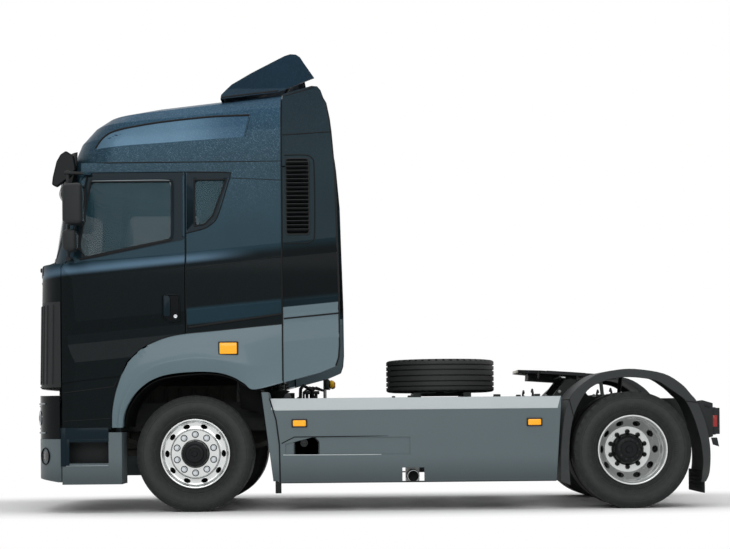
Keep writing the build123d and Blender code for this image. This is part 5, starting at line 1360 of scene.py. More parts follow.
@dataclass
class SpareWheel:
    """The spare wheel lying flat on its carrier."""

    back: float = WHEELBASE - 1.608
    middle_z: float = 1.188

    def build(self) -> None:
        """Builds tyre, rim and the clamp's nut."""
        centre = at(self.back, 0, self.middle_z)
        up = Vector((0, 0, 1))
        tyre = Tyre(centre, up).build("spare_wheel_tyre", "chassis", flat=True)
        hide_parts("spare_tyre")
        alloy = Alloy(
            "spare_alloy", paint(176, 180, 181), 0.3, metallic=1.0, tone=0.08, slot="alloy", centre=tuple(centre),
            flat=True,
        )
        rim = Shape().lathe(
            [
                (0.116, 0.303), (0.127, 0.303), (0.129, 0.296), (0.127, 0.290), (0.114, 0.2725), (-0.05, 0.2725),
                (-0.070, 0.262), (-0.070, 0.060), (-0.090, 0.060), (-0.090, 0.262), (-0.114, 0.2725),
                (-0.127, 0.290), (-0.127, 0.303), (-0.116, 0.303), (-0.116, 0.2863), (0.116, 0.2863),
            ],
            centre, up, 112, closed=True,
        ).piece("spare_wheel_rim", "chassis", alloy, 34)
        carve(rim, vent_cutter(centre - up * 0.08, up, 0.225, (0.036, 0.056), 0.08))
        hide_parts("spare_rim")
        clamp = Shape().lathe(
            [(-0.0485, 0.0), (-0.0485, 0.088), (-0.038, 0.088), (-0.034, 0.082), (-0.034, 0.0)], centre, up, 40)
        clamp.nut(centre - up * 0.034, up, 0.03, 0.04)
        clamp.piece("spare_clamp", "chassis", Finishes.frame_coat)


# ------------------------------------------------------------------ cab sides
@dataclass
class CabSide:
    """Window surrounds, gaskets, seams, handle and creases of one side of the cab."""

    side: Side
    skin: Skin

    def shell(self, points: Pairs) -> list[Vector]:
        """Places well outside the left side, from lengths back and heights."""
        return upright(OFF_SIDE, points)

    def trace(self, points: Pairs, lift: float, gap: float = 0.03) -> list[Vector]:
        """A path laid on the left side's skin.

        Args:
            points: lengths back and heights of its corners.
            lift: how far off the skin it runs.
            gap: distance between its places.

        Returns:
            The places on the skin.
        """
        path = []
        for (x0, z0), (x1, z1) in zip(points, points[1:]):
            count = max(1, round(math.hypot(x1 - x0, z1 - z0) / gap))
            path += [(x0 + (x1 - x0) * k / count, z0 + (z1 - z0) * k / count) for k in range(count)]
        path.append(points[-1])
        met = [self.skin.beside(back, z) for back, z in path]
        return [place + normal * lift for place, normal in filter(None, met)]

    def laid_band(
        self, name: str, body: str, finish: Finish, outer: Pairs,
        inner: Pairs, lift: float = 0.003,
    ) -> bpy.types.Object:
        """A flat surround laid on the skin.

        Args:
            name: the piece's name.
            body: the body it rides on.
            finish: its finish.
            outer: its outer corners.
            inner: its inner corners, as many.
            lift: how far it stands off the skin.

        Returns:
            The piece.
        """
        made = Shape()
        rim, hole = self.shell(rounded(outer, 0.03)), self.shell(rounded(inner, 0.045))
        verts = made.ribbon([[a.lerp(b, k / 6) for a, b in zip(rim + rim[:1], hole + hole[:1])] for k in range(7)])
        made.lay(verts, self.skin, INWARD, lift)
        made.thicken(verts, (0, 0.02, 0)).flip(self.side)
        return made.piece(name, body, finish)

    def build(self) -> None:
        """Builds the trim of this side."""
        word = self.side.word
        door = f"door_{word}"
        self.laid_band(
            f"door_window_surround_{word}", door, Finishes.window_edge,
            ((-1.048, 2.318), (-0.992, 2.192), (-0.822, 2.220), (-0.069, 2.370), (-0.069, 2.956), (-0.908, 2.956)),
            ((-0.982, 2.317), (-0.941, 2.226), (-0.821, 2.251), (-0.190, 2.380), (-0.186, 2.874), (-0.882, 2.874)),
        )
        self.laid_band(
            f"quarter_window_surround_{word}", "cab", Finishes.window_edge,
            ((-0.051, 2.428), (0.112, 2.462), (0.204, 2.556), (0.326, 2.950), (-0.051, 2.956)),
            ((0.021, 2.492), (0.101, 2.505), (0.172, 2.578), (0.284, 2.884), (0.021, 2.884)),
        )
        self.gaskets(word, door)
        self.seams(word, door)
        self.handle(word, door)
        self.steps_cover(word, door)

    def gaskets(self, word: str, door: str) -> None:
        """Rubber round the panes, and a bright strip over the door pane that is a painted highlight on the frame's
        edge.
        """
        pane = ((-0.988, 2.317), (-0.944, 2.219), (-0.820, 2.245), (-0.185, 2.375), (-0.180, 2.880), (-0.886, 2.880))
        Shape().tube(self.trace((*pane, pane[0]), 0.004), 0.007).flip(self.side).piece(
            f"door_pane_rubber_{word}", door, Finishes.rubber)
        quarter = ((0.015, 2.486), (0.104, 2.500), (0.176, 2.575), (0.292, 2.890), (0.015, 2.890))
        Shape().tube(self.trace((*quarter, quarter[0]), 0.004), 0.007).flip(self.side).piece(
            f"quarter_pane_rubber_{word}", "cab", Finishes.rubber)
        # painted highlight: a bright strip along the top and rear of the door pane, where the frame's edge catches the
        # light
        bright = self.trace(smooth(((-0.872, 2.886), (-0.60, 2.888), (-0.245, 2.888), (-0.196, 2.868), (-0.182, 2.80),
                                    (-0.184, 2.62))), 0.006)
        Shape().tube(bright, 0.0042, 8).flip(self.side).piece(f"door_drip_strip_{word}", door, Finishes.dull_strip)
        edge = self.trace(((-1.052, 2.330), (-0.912, 2.958), (-0.072, 2.958)), 0.004)
        Shape().tube(edge, 0.006, 8).flip(self.side).piece(f"door_frame_joint_{word}", door, Finishes.seam_and_shadow_dark)
        edge = self.trace(smooth(((-0.056, 2.958), (0.290, 2.952), (0.327, 2.930), (0.300, 2.830), (0.216, 2.570),
                                  (0.150, 2.492), (0.080, 2.458), (-0.056, 2.424))), 0.004)
        Shape().tube(edge, 0.005, 8).flip(self.side).piece(f"quarter_frame_joint_{word}", "cab", Finishes.seam_and_shadow_dark)
        ledge = self.trace(((-0.980, 2.205), (-0.820, 2.234), (-0.185, 2.366)), 0.006)
        Shape().tube(ledge, 0.008, 8).flip(self.side).piece(f"door_pane_wiper_{word}", door, Finishes.rubber)

    def seams(self, word: str, door: str) -> None:
        """Dark lines in the gap round the door, painted shade in the panels' pressed creases, the belt crease, and a
        painted shadow under the undercut over the arch.
        """
        crease = Shape()
        # the two slanted lines are dark tubes for the shade in the pressed creases: painted shade
        for points in (
            ((-0.058, 2.105), (0.775, 2.213)), ((0.300, 2.905), (0.775, 2.880)),
        ):
            crease.tube(self.trace(points, -0.0005), 0.0032, 8)
        crease.tube(self.trace(((-0.0595, 1.560), (-0.0595, 2.955)), 0.0), 0.0045, 8)
        crease.tube(self.trace(((0.7735, 1.13), (0.7735, 3.60)), 0.0), 0.007, 8)
        crease.flip(self.side).piece(f"cab_creases_{word}", "cab", Finishes.seam_and_shadow_dark)
        belt = Shape().tube(self.trace(((-1.055, 2.165), (-0.945, 2.186), (-0.080, 2.240)), -0.001), 0.0035, 8)
        belt.flip(self.side).piece(f"door_belt_crease_{word}", door, Finishes.body_blue)
        # painted shadow: a wide dark band along the joint, under the body's undercut over the arch
        undercut_shadow = Shape()
        undercut_shadow.tube(self.trace(((-0.040, 1.603), (0.770, 1.712)), 0.001), 0.011, 8)
        undercut_shadow.flip(self.side).piece(f"arch_joint_{word}", "cab", Finishes.seam_and_shadow_dark)

    def handle(self, word: str, door: str) -> None:
        """The handle's dished recess, its upright grip and the lock."""
        recess = self.trace(((-0.262, 1.690), (-0.262, 1.888), (-0.118, 1.888), (-0.112, 1.662), (-0.205, 1.650),
                             (-0.262, 1.690)), 0.004, 0.02)
        rim = Shape().tube(recess[:-1], 0.0075, 10, ring=True).flip(self.side)
        rim.piece(f"handle_recess_rim_{word}", door, Finishes.body_blue)
        dish = Shape()
        verts = dish.band(
            self.shell(((-0.258, 1.690), (-0.258, 1.884), (-0.122, 1.884), (-0.116, 1.666), (-0.205, 1.656))),
            self.shell(((-0.200, 1.770), (-0.200, 1.780), (-0.180, 1.780), (-0.180, 1.770), (-0.190, 1.768))), 4,
        )
        dish.lay(verts, self.skin, INWARD, 0.0035).flip(self.side)
        dish.piece(f"handle_recess_{word}", door, Finishes.gloss_black)
        y = self.skin.beside(-0.19, 1.77)[0].y
        grip = Shape().slab(
            upright(y - 0.024, ((-0.252, 1.700), (-0.252, 1.880), (-0.212, 1.880), (-0.196, 1.860), (-0.196, 1.700))),
            (0, 0.016, 0), 0.006, 0.012,
        )
        for z in (1.722, 1.850):
            grip.block(at(-0.248, y - 0.012, z - 0.02), at(-0.204, y + 0.004, z + 0.02), 0.004)
        grip.flip(self.side).piece(f"door_grip_{word}", door, Finishes.window_edge)
        lock = Shape().lathe([(0.0, 0.0), (0.0, 0.017), (0.006, 0.016), (0.008, 0.012), (0.006, 0.009), (0.006, 0.0)],
                             at(-0.150, y - 0.003, 1.700), (0, -1, 0), 32)
        lock.flip(self.side).piece(f"door_lock_{word}", door, Finishes.chrome)

    def steps_cover(self, word: str, door: str) -> None:
        """Pressed lines of the cover under the door."""
        lines = Shape()
        lines.tube(self.trace(((-1.128, 1.046), (-0.690, 1.097), (-0.668, 1.140)), 0.0), 0.004, 8)
        lines.tube(self.trace(((-1.128, 0.800), (-0.722, 0.822)), 0.0), 0.003, 8)
        lines.flip(self.side).piece(f"door_cover_lines_{word}", door, Finishes.seam_and_shadow_dark)


# ------------------------------------------------------------------ extenders, roof
@dataclass
class Extender:
    """Frame, slats' lips, seams and rubber edge of one rear side panel."""

    side: Side
    cab_side: CabSide
    low: float = 2.405          # foot of the intake
    high: float = 3.060         # top of the intake
    slats: int = 17

    def build(self) -> None:
        """Builds the trim of the panel."""
        word = self.side.word
        trace = self.cab_side.trace
        frame_path = trace(
            ((0.822, 3.066), (1.002, 3.066), (1.012, 3.052), (1.012, 2.420), (0.998, 2.405), (0.826, 2.405),
             (0.812, 2.420), (0.812, 3.052), (0.822, 3.066)), 0.003)
        Shape().tube(frame_path[:-1], 0.008, 10, ring=True).flip(self.side).piece(
            f"intake_frame_{word}", "cab", Finishes.moulded_black)
        slats = Shape()
        pitch = (self.high - self.low) / (self.slats + 1)
        for k in range(self.slats):
            z = self.low + (k + 1) * pitch
            slats.slab(
                [at(0.815, -1.232, z + 0.010), at(0.815, -1.206, z + 0.006), at(0.815, -1.172, z - 0.012),
                 at(0.815, -1.172, z - 0.018), at(0.815, -1.208, z - 0.001), at(0.815, -1.234, z + 0.004)],
                (0.194, 0, 0), 0.0015,
            )
        slats.flip(self.side).piece(f"intake_slats_{word}", "cab", Finishes.moulded_black)
        backing = Shape().block(at(0.808, -1.160, 2.400), at(1.016, -1.150, 3.066), 0.003)
        backing.flip(self.side).piece(f"intake_screen_{word}", "cab", Finishes.rubber)
        seams = Shape()
        seams.tube(trace(((0.786, 3.278), (1.196, 3.300)), 0.0005), 0.005, 8)
        seams.tube(trace(((0.784, 3.618), (1.086, 3.708)), 0.0005), 0.005, 8)
        seams.tube(trace(((0.786, 1.672), (1.262, 1.715)), 0.0005), 0.007, 8)
        seams.flip(self.side).piece(f"extender_seams_{word}", "cab", Finishes.seam_and_shadow_dark)
        rim = smooth(((0.800, 3.098), (0.985, 3.098), (1.040, 3.070), (1.058, 3.010), (1.062, 2.70), (1.058, 2.400),
                      (1.040, 2.350), (0.985, 2.328), (0.800, 2.326)))
        ridge = Shape().tube(trace(rim, 0.0), 0.0055, 8)
        ridge.flip(self.side).piece(f"intake_ridge_{word}", "cab", Finishes.seam_and_shadow_dark)
        edge = Shape()
        rear = ((1.118, 3.622), (1.156, 3.556), (1.184, 3.418), (1.198, 3.308), (1.230, 2.939), (1.239, 2.585),
                (1.257, 1.918), (1.259, 1.438), (1.250, 1.330), (1.226, 1.262))
        path = trace(rear, -0.010, 0.06)
        edge.tube([p + Vector((0.004, 0, 0)) for p in path], 0.011, 10)
        edge.flip(self.side).piece(f"extender_rubber_{word}", "cab", Finishes.rubber)


@dataclass
class Roof:
    """Side recess, marker lamps and seams of the high roof, and the deflector's trim."""

    skin: Skin
    cab_side: CabSide

    def build(self) -> None:
        """Builds the roof's trim."""
        trace = self.cab_side.trace
        top = ((-0.851, 3.182), (-0.788, 3.267), (-0.681, 3.329), (-0.431, 3.380), (-0.181, 3.414), (0.176, 3.447),
               (0.500, 3.457))
        low = ((-0.851, 3.172), (-0.700, 3.186), (-0.560, 3.200), (-0.300, 3.216), (-0.060, 3.232), (0.190, 3.248),
               (0.452, 3.266))
        # the recess fields are paler than the roof and darker towards their rear: painted light and shade
        field_top, field_low = (self.cab_side.shell(smooth(line)) for line in (top, low))
        rows = [[a.lerp(b, share) for a, b in zip(field_top, field_low)] for share in (0, 0.15, 0.4, 0.7, 1)]
        panel = Shape()
        verts = panel.ribbon(rows)
        panel.lay(verts, self.cab_side.skin, (0, 1, 0), 0.0015).both()
        panel.piece("roof_recess_fields", "cab", Finishes.recess_blue)
        # painted shadow: a dark tube under the recess's top edge
        edge = Shape().tube(trace(smooth(top), 0.0005), 0.0095, 8).both()
        edge.piece("roof_recess_edge_shadow", "cab", Finishes.seam_and_shadow_dark)
        end = Shape().tube(trace(((0.498, 3.452), (0.456, 3.272)), 0.0), 0.008, 8).both()
        end.piece("roof_recess_ends", "cab", Finishes.body_blue)
        seam = Shape().tube(trace(((-1.060, 3.046), (-0.400, 3.046), (0.775, 3.046)), 0.0), 0.005, 8)
        seam.both().piece("roof_joint", "cab", Finishes.rubber)
        lamps, holders = Shape(), Shape()
        for y in (-0.62, -0.31, 0.0, 0.31, 0.62):
            met = self.skin.reach(at(-2.4, y, 3.27), REARWARD)
            if met:
                place = met[0]
                lamps.block(place + Vector((-0.018, -0.045, -0.014)), place + Vector((0.02, 0.045, 0.014)), 0.008)
                holders.block(place + Vector((-0.006, -0.058, -0.024)), place + Vector((0.03, 0.058, 0.024)), 0.01)
        lamps.piece("roof_marker_lenses", "cab", Finishes.amber)
        holders.piece("roof_marker_holders", "cab", Finishes.moulded_black)
        hatch = Shape().block(at(-0.25, -0.34, 3.60), at(0.14, 0.34, 3.632), 0.02)
        hatch.piece("roof_hatch", "cab", Finishes.body_blue)
        self.deflector()

    def deflector(self) -> None:
        """Seams and brace rods of the roof deflector."""
        rods = Shape()
        for y in (-0.62, 0.62):
            rods.tube([at(0.74, y, 3.655), at(0.90, y, 3.93)], 0.014, 12)
            rods.tube([at(0.74, y, 3.655), at(0.60, y, 3.66)], 0.014, 12)
            rods.block(at(0.55, y - 0.05, 3.643), at(0.64, y + 0.05, 3.668), 0.004)
        rods.piece("deflector_rods", "cab", Finishes.frame_coat)
        seat = Shape()
        seat.tube(self.cab_side.trace(((0.252, 3.626), (0.750, 3.680)), -0.003), 0.008, 8)
        seat.both().piece("deflector_foot_rubber", "cab", Finishes.rubber)


# ------------------------------------------------------------------ front of the cab
@dataclass
class CabFront:
    """Grille lid, corner guides, windshield trim, wipers and sun visor lamps."""

    skin: Skin

    def row(self, z: float, half: float, lift: float = 0.0, count: int = 28) -> list[Vector]:
        """Places across the front at a height, laid on the skin.

        Args:
            z: the height.
            half: the row's half-width.
            lift: how far ahead of the skin it runs.
            count: how many places.

        Returns:
            The places.
        """
        return self.path([(-half + 2 * half * k / count, z) for k in range(count + 1)], lift)

    def path(self, places: Pairs, lift: float) -> list[Vector]:
        """A path laid on the front's skin, from the y and the height of its places."""
        met = [self.skin.ahead(y, z) for y, z in places]
        return [place + normal * lift for place, normal in filter(None, met)]

    def plate(
        self, shape: Shape, low: tuple[float, float], high: tuple[float, float], lift: float, depth: float,
        cuts: int = 9,
    ) -> None:
        """Adds a field across the front, laid on the skin.

        Args:
            shape: the shape that it is added to.
            low: half-width and height of its lower edge.
            high: half-width and height of its upper edge.
            lift: how far it stands off the skin.
            depth: its depth.
            cuts: how finely it is divided.
        """
        (a, z0), (b, z1) = low, high
        verts = shape.sheet([(AHEAD, -a, z0), (AHEAD, a, z0), (AHEAD, b, z1), (AHEAD, -b, z1)], cuts)
        shape.lay(verts, self.skin, REARWARD, lift).thicken(verts, (depth, 0, 0))

    def build(self) -> None:
        """Builds the front's trim."""
        self.grille()
        self.guides()
        self.windshield()
        self.visor()

    def grille(self) -> None:
        """Dark openings with black bars on the lid, and its blank badge bar."""
        field_shape = Shape()
        for low, high in ((1.115, 1.255), (1.285, 1.425), (1.455, 1.595)):
            self.plate(field_shape, (0.79, low), (0.77, high), 0.002, 0.012)
        field_shape.piece("grille_fields", "lid", Finishes.rubber)
        bars = Shape()
        for base in (1.115, 1.285, 1.455):
            for k in range(4):
                bars.tube(self.row(base + 0.022 + k * 0.032, 0.775, 0.004), 0.006, 8)
        bars.piece("grille_bars", "lid", Finishes.moulded_black)
        frames = Shape()
        for low, high in ((1.105, 1.265), (1.275, 1.435), (1.445, 1.605)):
            for z, half in ((low, 0.80), (high, 0.78)):
                frames.tube(self.row(z, half, 0.003), 0.007, 8)
        frames.piece("grille_frames", "lid", Finishes.gloss_black)
        band = Shape()
        self.plate(band, (0.76, 1.66), (0.72, 1.765), 0.004, 0.01)
        band.piece("front_name_band", "lid", Finishes.gloss_black)
        trim = Shape().tube(self.row(1.652, 0.765, 0.004), 0.006, 8).tube(self.row(1.772, 0.722, 0.004), 0.006, 8)
        trim.piece("front_band_trim", "lid", Finishes.chrome)

    def guides(self) -> None:
        """Upright ribs of the corner guides."""
        ribs = Shape()
        for k in range(5):
            path = self.path([(-0.905 - k * 0.062, 1.125 + j * 0.0575) for j in range(13)], 0.001)
            if len(path) > 2:
                ribs.tube(path, 0.0085, 8)
        ribs.both().piece("corner_guide_ribs", "cab", Finishes.moulded_black)

    def windshield(self) -> None:
        """Dark edge round the windshield, cowl panel, wipers and the front crease."""
        outline = ((-1.0, 2.232), (-1.062, 2.42), (-1.0, 2.90), (-0.96, 2.95), (0.96, 2.95), (1.0, 2.90),
                   (1.062, 2.42), (1.0, 2.232))
        outer = ((-1.015, 2.205), (-1.10, 2.42), (-1.03, 2.925), (-0.97, 2.975), (0.97, 2.975), (1.03, 2.925),
                 (1.10, 2.42), (1.015, 2.205))
        edge = Shape()
        hole = [(AHEAD, y * 0.975, z + (0.02 if z < 2.6 else -0.02)) for y, z in outline]
        verts = edge.band([(AHEAD, y, z) for y, z in outer], hole, 7)
        edge.lay(verts, self.skin, REARWARD, 0.003).thicken(verts, (0.008, 0, 0))
        edge.piece("windshield_edge", "cab", Finishes.window_edge)
        cowl = Shape()
        self.plate(cowl, (0.98, 2.085), (1.0, 2.20), 0.006, 0.012, 11)
        cowl.piece("wiper_cowl", "cab", Finishes.moulded_black)
        arms, blades = Shape(), Shape()
        for pivot, tip in ((-0.78, -0.22), (-0.06, 0.50), (0.66, 1.0)):
            foot = self.skin.ahead(pivot, 2.15)
            top = self.skin.ahead(tip, 2.285)
            if not foot or not top:
                continue
            a, b = foot[0] + Vector((-0.014, 0, 0)), top[0] + Vector((-0.022, 0, 0))
            arms.cone(foot[0] + Vector((0.01, 0, 0)), a + Vector((-0.004, 0, 0)), (0.024, 0.019), 20, 0.003)
            arms.tube([a, a.lerp(b, 0.3) + Vector((-0.004, 0, 0.012)), b], 0.006, 8)
            blade = []
            for k in range(9):
                y = tip - 0.30 + 0.58 * k / 8
                met = self.skin.ahead(min(y, 1.02), 2.262 + 0.05 * k / 8)
                if met:
                    blade.append(met[0] + Vector((-0.016, 0, 0)))
            blades.tube(blade, 0.0065, 8)
        arms.piece("wiper_arms", "cab", Finishes.moulded_black)
        blades.piece("wiper_blades", "cab", Finishes.rubber)
        crease = Shape().tube(self.row(2.025, 0.93, 0.0), 0.004, 8)
        crease.piece("front_crease", "cab", Finishes.seam_and_shadow_dark)

    def visor(self) -> None:
        """Lamps set in the sun visor, and its end cheeks."""
        cheek = Shape().slab(
            upright(-1.150, ((-1.010, 2.985), (-1.070, 2.912), (-1.180, 2.834), (-1.222, 2.858), (-1.214, 2.925),
                             (-1.180, 3.060), (-1.145, 3.120), (-1.098, 3.152), (-1.030, 3.110))),
            (0, -0.048, 0), 0.012)
        cheek.both().piece("visor_cheeks", "cab", Finishes.gloss_black, 18)
        lenses, rims = Shape(), Shape()
        for y in (-0.86, 0.86):
            met = self.skin.ahead(y, 2.97)
            if met:
                normal = met[1]
                base = met[0]
                rims.lathe([(-0.01, 0.0), (-0.01, 0.062), (0.008, 0.062), (0.012, 0.056), (0.008, 0.050),
                            (0.002, 0.048), (0.002, 0.0)], base, normal, 36)
                lenses.lathe([(0.002, 0.048), (0.006, 0.034), (0.008, 0.018), (0.009, 0.0)], base, normal, 36)
        lenses.piece("visor_lamp_lenses", "cab", Finishes.clear)
        rims.piece("visor_lamp_rims", "cab", Finishes.chrome)


# ------------------------------------------------------------------ bumper, lamps, steps
@dataclass
class Bumper:
    """Bumper grilles, fog lamps, headlamp internals and the blank plate."""

    skin: Skin
    cab_front: CabFront

    def build(self) -> None:
        """Builds what is set in the bumper."""
        front = self.cab_front
        mesh = Shape()
        for low, high in (((0.62, 0.72), (0.60, 0.97)), ((0.55, 0.335), (0.60, 0.475))):
            front.plate(mesh, low, high, 0.003, 0.01)
        mesh.piece("bumper_grille_fields", "chassis", Finishes.rubber)
        bars = Shape()
        for z in (0.735, 0.775, 0.815, 0.855, 0.895, 0.935, 0.96, 0.36, 0.40, 0.44):
            bars.tube(front.row(z, 0.60 if z > 0.6 else 0.56, 0.006), 0.006, 8)
        bars.piece("bumper_grille_bars", "chassis", Finishes.moulded_black)
        plate = Shape().block((-3.068, -0.26, 0.545), (-3.045, 0.26, 0.655), 0.003)
        plate.piece("plate_blank", "chassis", Finishes.plate_blank)
        holder = Shape().block((-3.062, -0.27, 0.535), (-3.03, 0.27, 0.665), 0.004)
        holder.piece("plate_holder", "chassis", Finishes.moulded_black)
        self.fog_lamps()
        self.headlamps()

    def fog_lamps(self) -> None:
        """Round fog lamps in the bumper's corners and their surrounds."""
        glass, rim = Shape(), Shape()
        for y in (-1.085, 1.085):
            met = self.skin.ahead(y, 0.495)
            if met:
                place, normal = met
                rim.lathe([(-0.03, 0.074), (0.004, 0.078), (0.008, 0.073), (0.006, 0.066), (-0.012, 0.058),
                           (-0.012, 0.0)], place, normal, 40)
                glass.lathe([(-0.006, 0.060), (0.0, 0.042), (0.003, 0.020), (0.004, 0.0)], place, normal, 40)
        rim.piece("fog_lamp_rims", "chassis", Finishes.gloss_black)
        glass.piece("fog_lamp_glasses", "chassis", Finishes.smoked)

    def headlamps(self) -> None:
        """Bezels, projectors and two light strips of each headlamp."""
        bowls, eyes, strips = Shape(), Shape(), Shape()
        for y in (-0.80, -0.95):
            met = self.skin.ahead(y, 0.83)
            if met:
                place, normal = met[0], met[1]
                bowls.lathe([(-0.01, 0.062), (0.005, 0.066), (0.008, 0.062), (0.002, 0.054), (-0.004, 0.046)],
                            place, normal, 40)
                eyes.lathe([(0.0, 0.048), (0.010, 0.036), (0.015, 0.018), (0.016, 0.0)], place, normal, 40)
        for z in (0.955, 0.700):
            strips.tube(self.cab_front.path([(-0.74 - 0.35 * k / 11, z) for k in range(12)], 0.003), 0.008, 8)
        bowls.both().piece("headlamp_bezels", "chassis", Finishes.chrome)
        eyes.both().piece("headlamp_projectors", "chassis", Finishes.smoked)
        strips.both().piece("headlamp_light_strips", "chassis", Finishes.dull_strip)


@dataclass
class EntrySteps:
    """Treads, sills and well lining of the entry steps."""

    def build(self) -> None:
        """Builds the step's pieces on both sides."""
        y = -HALF_WIDTH + 0.002
        treads = Shape()
        for z in (0.412, 0.700):
            treads.block(at(-1.105, y + 0.012, z - 0.012), at(-0.755, y + 0.19, z + 0.004), 0.003)
        treads.both().piece("step_treads", "chassis", Finishes.tread)
        cover = Shape().block(at(-1.119, y - 0.001, 0.640), at(-0.741, y + 0.008, 0.742), 0.003)
        cover.block(at(-1.156, y - 0.002, 0.408), at(-1.112, y + 0.010, 0.742), 0.003)
        cover.block(at(-1.113, y - 0.001, 0.414), at(-1.082, y + 0.008, 0.645), 0.002)
        cover.block(at(-1.084, y - 0.001, 0.618), at(-0.741, y + 0.008, 0.645), 0.002)
        cover.both().piece("step_covers", "chassis", Finishes.window_edge)
        sills = Shape().block(at(-1.112, y - 0.001, 0.408), at(-0.742, y + 0.016, 0.416), 0.003)
        sills.both().piece("step_sills", "chassis", Finishes.dull_strip)
        lining = Shape().block(at(-1.112, y + 0.17, 0.42), at(-0.748, y + 0.185, 0.69), 0.004)
        lining.both().piece("step_well_lining", "chassis", Finishes.moulded_black)


# ------------------------------------------------------------------ lower sides
@dataclass
class LowerSides:
    """Side markers, arch claddings, mud liners, skirt trim and the filler box."""

    skin: Skin
    cab_side: CabSide

    def marker(self, name: str, body: str, back: float, z: float, length: float, height: float) -> None:
        """An amber side marker in a dark frame, on both sides.

        Args:
            name: the marker's name.
            body: the body it rides on.
            back: its middle, back from the front axle.
            z: its middle's height.
            length: its length.
            height: its height.
        """
        met = self.skin.beside(back, z)
        y = (met[0].y if met else -HALF_WIDTH) - (0.010 if body == "cab" else 0.0)
        a, b = length / 2, height / 2
        lens = Shape().block(at(back - a, y - 0.016, z - b), at(back + a, y + 0.01, z + b), 0.008, 3)
        lens.both().piece(f"{name}_lens", body, Finishes.amber)
        rim = Shape().block(
            at(back - a - 0.012, y - 0.007, z - b - 0.010), at(back + a + 0.012, y + 0.01, z + b + 0.010), 0.006, 2)
        rim.both().piece(f"{name}_frame", body, Finishes.moulded_black)

    def build(self) -> None:
        """Builds the lower sides' pieces."""
        self.marker("arch_marker", "cab", 0.304, 1.418, 0.150, 0.098)
        self.marker("front_skirt_marker", "chassis", 0.913, 0.764, 0.112, 0.052)
        self.marker("rear_skirt_marker", "chassis", 2.948, 0.756, 0.112, 0.052)
        self.arch()
        liner = Shape()
        path = [(-0.600, 0.745), (-0.580, 0.863), (-0.510, 0.995), (-0.408, 1.095), (-0.288, 1.156), (-0.114, 1.185),
                (0.063, 1.198), (0.218, 1.188), (0.336, 1.152), (0.425, 1.098), (0.505, 1.065)]
        verts = liner.ribbon([[at(x, y, z) for x, z in smooth(path)] for y in (-1.20, -0.60)])
        liner.thicken(verts, (0, 0, 0.006))
        wall = [at(x, -0.60, z) for x, z in (*path, (0.62, 1.130), (0.62, 1.24), (-0.30, 1.24), (-0.58, 1.10))]
        liner.slab(wall, (0, 0.006, 0), 0.002)
        liner.both().piece("front_arch_liners", "cab", Finishes.seam_and_shadow_dark)
        shield = Shape()
        path = ((0.560, 1.058), (0.640, 0.965), (0.690, 0.82), (0.722, 0.68), (0.736, 0.50), (0.738, 0.285))
        line = smooth([(*p, 0) for p in path])
        verts = shield.ribbon([[at(p.x + 0.012, y, p.y) for p in line] for y in (-1.215, -0.95, -0.68)])
        shield.thicken(verts, (0.006, 0, 0))
        shield.slab(upright(-0.68, ((0.575, 1.058), (0.655, 0.965), (0.735, 0.68), (0.752, 0.285), (0.790, 0.285),
                                    (0.790, 1.058))), (0, 0.006, 0), 0.002)
        shield.slab(upright(-0.655, ((0.34, 1.150), (0.36, 0.90), (0.62, 0.84), (0.70, 0.84), (0.70, 0.94),
                                     (0.60, 1.07), (0.50, 1.135))), (0, 0.006, 0), 0.002)
        shield.both().piece("front_mud_shields", "chassis", Finishes.seam_and_shadow_dark)
        self.skirt()
        self.filler()

    def arch(self) -> None:
        """Flared cladding over the front wheel, in place of the plain one."""
        outer = ((-0.709, 0.741), (-0.703, 0.900), (-0.660, 1.093), (-0.571, 1.302), (-0.465, 1.407), (-0.358, 1.468),
                 (-0.216, 1.520), (-0.063, 1.547), (0.130, 1.564), (0.330, 1.582), (0.555, 1.603), (0.774, 1.622))
        inner = ((-0.615, 0.741), (-0.600, 0.863), (-0.528, 1.004), (-0.420, 1.112), (-0.296, 1.176), (-0.150, 1.206),
                 (0.050, 1.218), (0.222, 1.206), (0.345, 1.168), (0.440, 1.112), (0.525, 1.060), (0.774, 1.117))
        top = self.cab_side.shell([p[:2] for p in smooth([(*p, 0) for p in outer], 6)])
        low = self.cab_side.shell([p[:2] for p in smooth([(*p, 0) for p in inner], 6)])
        made = Shape()
        rows = []
        for share, lift in ((0.0, 0.0015), (0.03, 0.005), (0.30, 0.008), (0.52, 0.018), (0.60, 0.030), (0.635, 0.033),
                            (0.67, 0.032), (0.96, 0.022), (1.0, 0.016)):
            row = []
            for a, b in zip(top, low):
                place = a.lerp(b, share)
                met = self.skin.reach(place - INWARD, INWARD)
                back = place.x - FRONT_AXLE
                flare = 1 - max(0.0, min(1.0, (back - 0.25) / 0.40))
                row.append((met[0] if met else Vector((place.x, -HALF_WIDTH, place.z)))
                           + Vector((0, -1, 0)) * (0.0015 + (lift - 0.0015) * flare))
            rows.append(row)
        deep = [Vector((p.x, p.y + 0.10, p.z + 0.012)) for p in rows[-1]]
        back_row = [Vector((p.x, p.y + 0.02, p.z)) for p in rows[0]]
        made.ribbon([back_row, *rows, deep])
        piece = made.both().piece("arch_cladding_shells", "cab", Finishes.cladding_grey, 50)
        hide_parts("arch_claddings")
        seam = Shape().tube([p + Vector((0, 0.004, 0.002)) for p in rows[0]], 0.005, 8)
        seam.tube([p + Vector((0.004, 0.003, 0)) for p in (rows[0][-1], rows[-1][-1])], 0.004, 8)
        seam.both().piece("arch_seams", "cab", Finishes.seam_and_shadow_dark)

